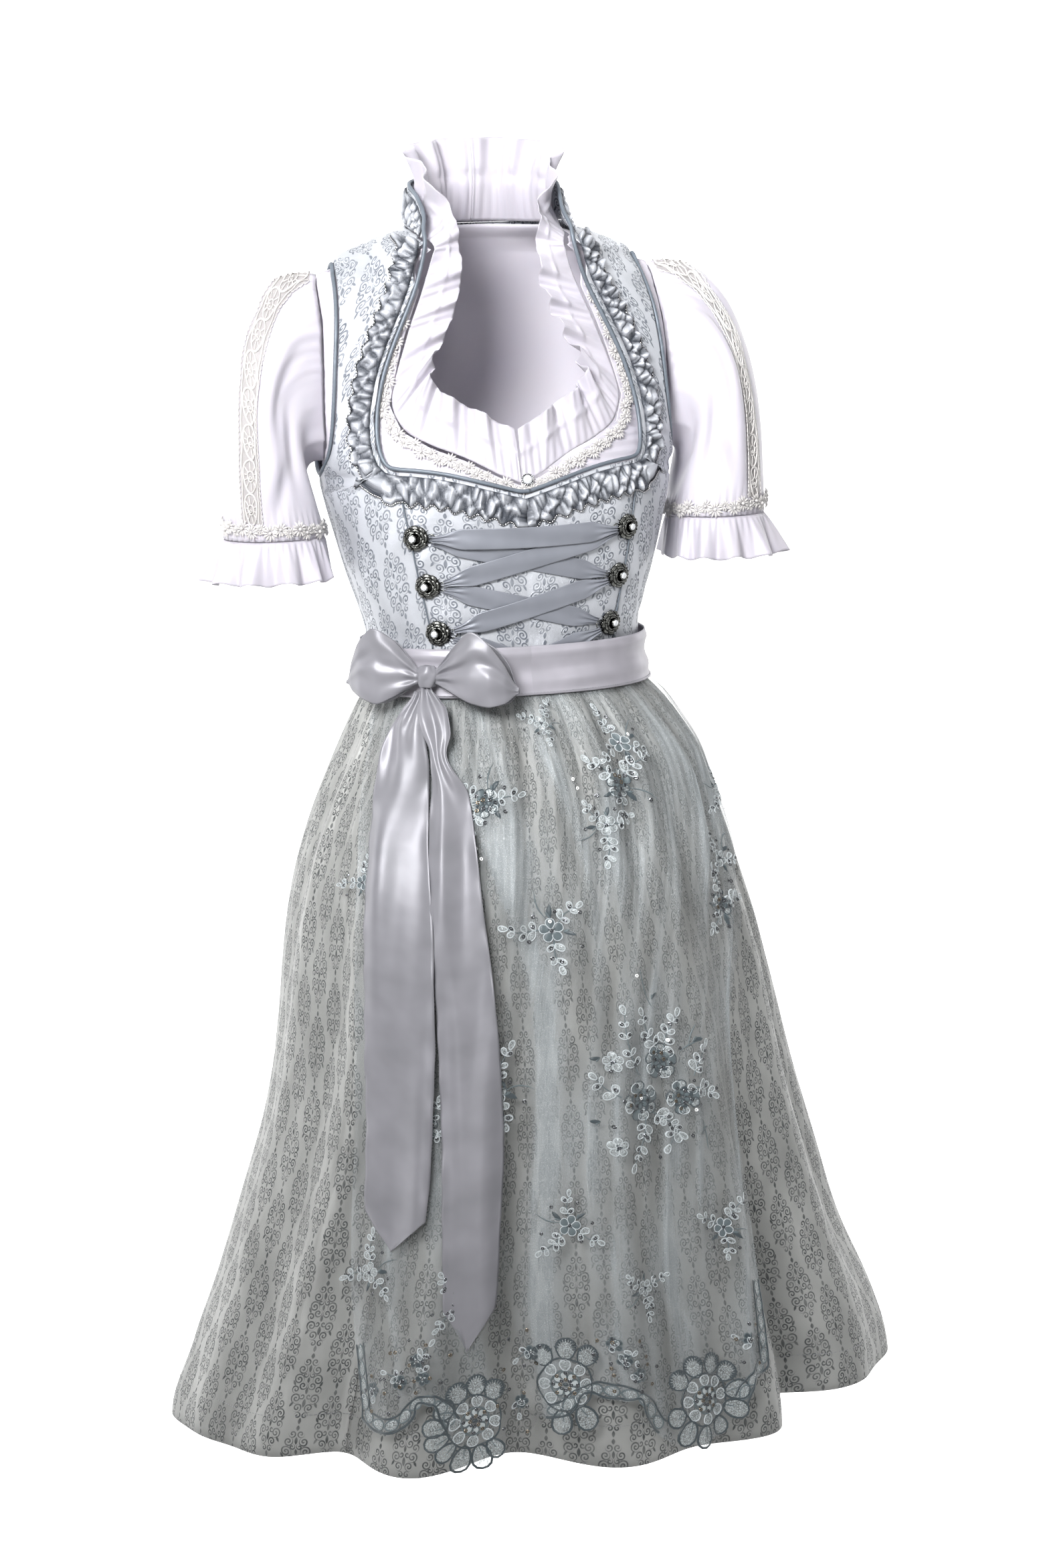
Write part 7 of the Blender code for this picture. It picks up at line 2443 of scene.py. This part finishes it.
def neck_braid():
    places = np.array(BLOUSE_NECKLINE[:-1])
    run = np.gradient(places, axis=0)
    run = unit(run)
    x = np.maximum(0.2, places[:, 0] + run[:, 1] * 6.5)
    z = places[:, 1] - run[:, 0] * 6.5
    angle = angle_at(x, z, blouse_base)
    half = torso(angle, z, -BLOUSE_DEPTH + 1.6, blouse_base)
    away = normal_at(blouse_base, angle, z)
    path = np.concatenate([mirrored(half)[:0:-1], half])
    away = np.concatenate([mirrored(away)[:0:-1], away])
    braid("neck_daisies", path, away, "neck_braid", 8.6, 7.4, 5.2)


def sleeve_surface(around, share, height, sign, seed):
    """Points of a sleeve with its folds, moved out by a height."""
    around, share = together(around, share)
    step = 0.004
    low = np.clip(share - step, 0.0, 1.0)
    high = np.clip(share + step, 0.0, 1.0)
    plain = sleeve_point(around, share)
    across = sleeve_point(around + step, share) - sleeve_point(around - step, share)
    along = sleeve_point(around, high) - sleeve_point(around, low)
    normal = unit(np.cross(along, across))
    turn = 2.0 * np.pi * around
    outward = np.sign((normal * point(np.cos(turn), np.sin(turn), 0.0)).sum())
    out = sleeve_folds(around, share, seed) - 0.5 + height
    return mirrored(plain + normal * (outward * out)[..., None], sign)


def cuff_braids():
    around = np.linspace(0.0, 1.0, 97)
    for side, sign, seed in SIDES:
        path = sleeve_surface(around, 0.955, 1.2, sign, seed)
        outer = sleeve_surface(around, 0.955, 2.2, sign, seed)
        braid("cuff_daisies_" + side, path, unit(outer - path), "cuff_braid_" + side, 9.0, 8.0, 5.4)


# Where the lace runs round the sleeve. columns: share of the sleeve's length, place round it
LACE_LINE = (
    (0.0, 1.010), (0.14, 0.965), (0.265, 0.920), (0.39, 0.896), (0.50, 0.872), (0.72, 0.848),
    (0.95, 0.845),
)
# Share of the sleeve's length from one oval to the next
LACE_PITCH = 0.115
# Millimetres round and down a sleeve, for what is drawn on it
SLEEVE_ROUND = 350.0
SLEEVE_LONG = 242.0


def lace_oval(work, share):
    """One oval of the lace insertion with its small flower and rays."""
    work.at(0.0, share)
    work.ring("lace", (0.0, -13.6), 90.0, 27.2, 14.6, 1.5, 1.0, steps=22)
    work.ring("lace", (0.0, -4.4), 90.0, 8.8, 6.4, 1.1, 1.0, steps=12)
    for number in range(10):
        way = 36.0 * number + 9.0
        cos, sin = heading(way)
        work.leaf("lace", (3.6 * cos, 4.8 * sin), way, 2.2 + 5.4 * abs(sin), 1.0, height=0.8)
    work.ring("lace", (-1.2, -1.4), 20.0, 2.6, 2.2, 0.8, 1.2, steps=8)


def lace_strips():
    """The lace let into each sleeve: net, ovals, scrolled borders and picot edges."""
    half = 11.5
    beside, share = np.meshgrid(np.linspace(-half, half, 13) / SLEEVE_ROUND,
                                np.linspace(0.02, 0.93, 120))
    for side, sign, seed in SIDES:
        def on_sleeve(across, along, height):
            around = across + read(LACE_LINE, along)[..., 0]
            return sleeve_surface(around, along, 1.2 + height, sign, seed)

        grid = on_sleeve(beside, share, -0.4)
        cloth("sleeve_net_" + side, grid, measured_uv(grid), NET, ("sleeve_lace_" + side,),
              axis=sleeve_axis(sign), wall=0.0)
        work = Stitching("sleeve_lace_" + side, on_sleeve,
                         lambda across, along: np.array([1.0 / SLEEVE_ROUND, -1.0 / SLEEVE_LONG]))
        for number in range(8):
            lace_oval(work, 0.075 + LACE_PITCH * number)
        work.at(0.0, 0.475)
        along = np.linspace(-109.0, 109.0, 420)
        for hand in (-1.0, 1.0):
            edge = np.stack([hand * (9.2 + 0.5 * np.cos(along * 2.0 * np.pi / 30.5)), along], axis=-1)
            work.band("lace", edge, 1.2, 0.9)
            scallop = np.stack([hand * (11.6 + 1.5 * np.abs(np.sin(along * np.pi / 4.2))), along], axis=-1)
            work.band("lace", scallop, 0.9, 0.7)
        work.finish({"lace": WHITE_THREAD}, turned_over=sign < 0.0)


hooks()
button()
neck_braid()
cuff_braids()
lace_strips()


# Stage, light and camera


def stage():
    mesh = bpy.data.meshes.new("stage")
    side, front, back, top, low = 30.0, -20.0, 10.0, 21.0, -1.75
    steps, radius = 14, 2.0
    profile = [(front, low)]
    for step in range(steps + 1):
        cos, sin = heading(90.0 * step / steps)
        profile.append((back - radius + radius * sin, low + radius - radius * cos))
    profile.append((back, top))
    points = [(x, y, z) for y, z in profile for x in (-side, side)]
    faces = [(2 * i, 2 * i + 1, 2 * i + 3, 2 * i + 2) for i in range(len(profile) - 1)]
    mesh.from_pydata(points, [], faces)
    mesh.shade_smooth()
    look = Look("stage_paper", (252, 252, 252), Roughness=0.95)
    look.shader.inputs["Emission Color"].default_value = (1.0, 1.0, 1.0, 1.0)
    behind = look.place()[1]
    look.set("Emission Strength", behind.stretched(0.55, -0.05))
    mesh.materials.append(look.material)
    sheet = bpy.data.objects.new("stage", mesh)
    bpy.context.scene.collection.objects.link(sheet)


# columns: name, x, y, z, width, height, watts, height it points at, spread in degrees
LAMPS = (
    ("key", -1.4, -2.1, 1.15, 1.1, 1.1, 16.5, 0.10, 56.0),
    ("fill", 2.2, -2.8, 0.9, 1.6, 1.6, 4.5, 0.0, 100.0),
    ("top", 0.1, -0.5, 1.9, 1.8, 1.4, 8.0, -0.5, 150.0),
    ("rim_left", -2.4, 1.6, 0.6, 1.0, 2.4, 8.0, -0.5, 150.0),
    ("rim_right", 2.4, 1.6, 0.4, 1.0, 2.4, 5.0, -0.5, 150.0),
)


def lights():
    for name, x, y, z, width, height, watts, goal, spread in LAMPS:
        data = bpy.data.lights.new(name, "AREA")
        data.shape = "RECTANGLE"
        data.size, data.size_y = width, height
        data.energy = watts
        data.spread = math.radians(spread)
        lamp = bpy.data.objects.new(name, data)
        lamp.location = (x, y, z)
        ahead = Vector((0.0, 0.0, goal)) - lamp.location
        lamp.rotation_euler = ahead.to_track_quat("-Z", "Y").to_euler()
        bpy.context.scene.collection.objects.link(lamp)
    world = bpy.data.worlds.new("studio")
    world.use_nodes = True
    background = world.node_tree.nodes["Background"]
    background.inputs["Color"].default_value = (1.0, 1.0, 1.0, 1.0)
    background.inputs["Strength"].default_value = 0.25
    bpy.context.scene.world = world


def camera():
    """The photograph's view: a little from the left and above, slightly turned."""
    yaw, pitch, roll = math.radians(-13.5), math.radians(80.0), math.radians(-1.9)
    data = bpy.data.cameras.new("camera")
    data.sensor_fit = "HORIZONTAL"
    data.sensor_width = 36.0
    data.lens = 115.5
    eye = bpy.data.objects.new("camera", data)
    far, aside, height = 3.0, 0.017, 0.03
    eye.location = (far * math.sin(yaw) + aside * math.cos(yaw),
                    -far * math.cos(yaw) + aside * math.sin(yaw), height)
    turn = Euler((0.0, 0.0, yaw)).to_matrix() @ Euler((pitch, 0.0, 0.0)).to_matrix()
    eye.rotation_euler = (turn @ Euler((0.0, 0.0, roll)).to_matrix()).to_euler()
    bpy.context.scene.collection.objects.link(eye)
    bpy.context.scene.camera = eye


stage()
lights()
camera()
bpy.context.scene.view_settings.view_transform = "Standard"
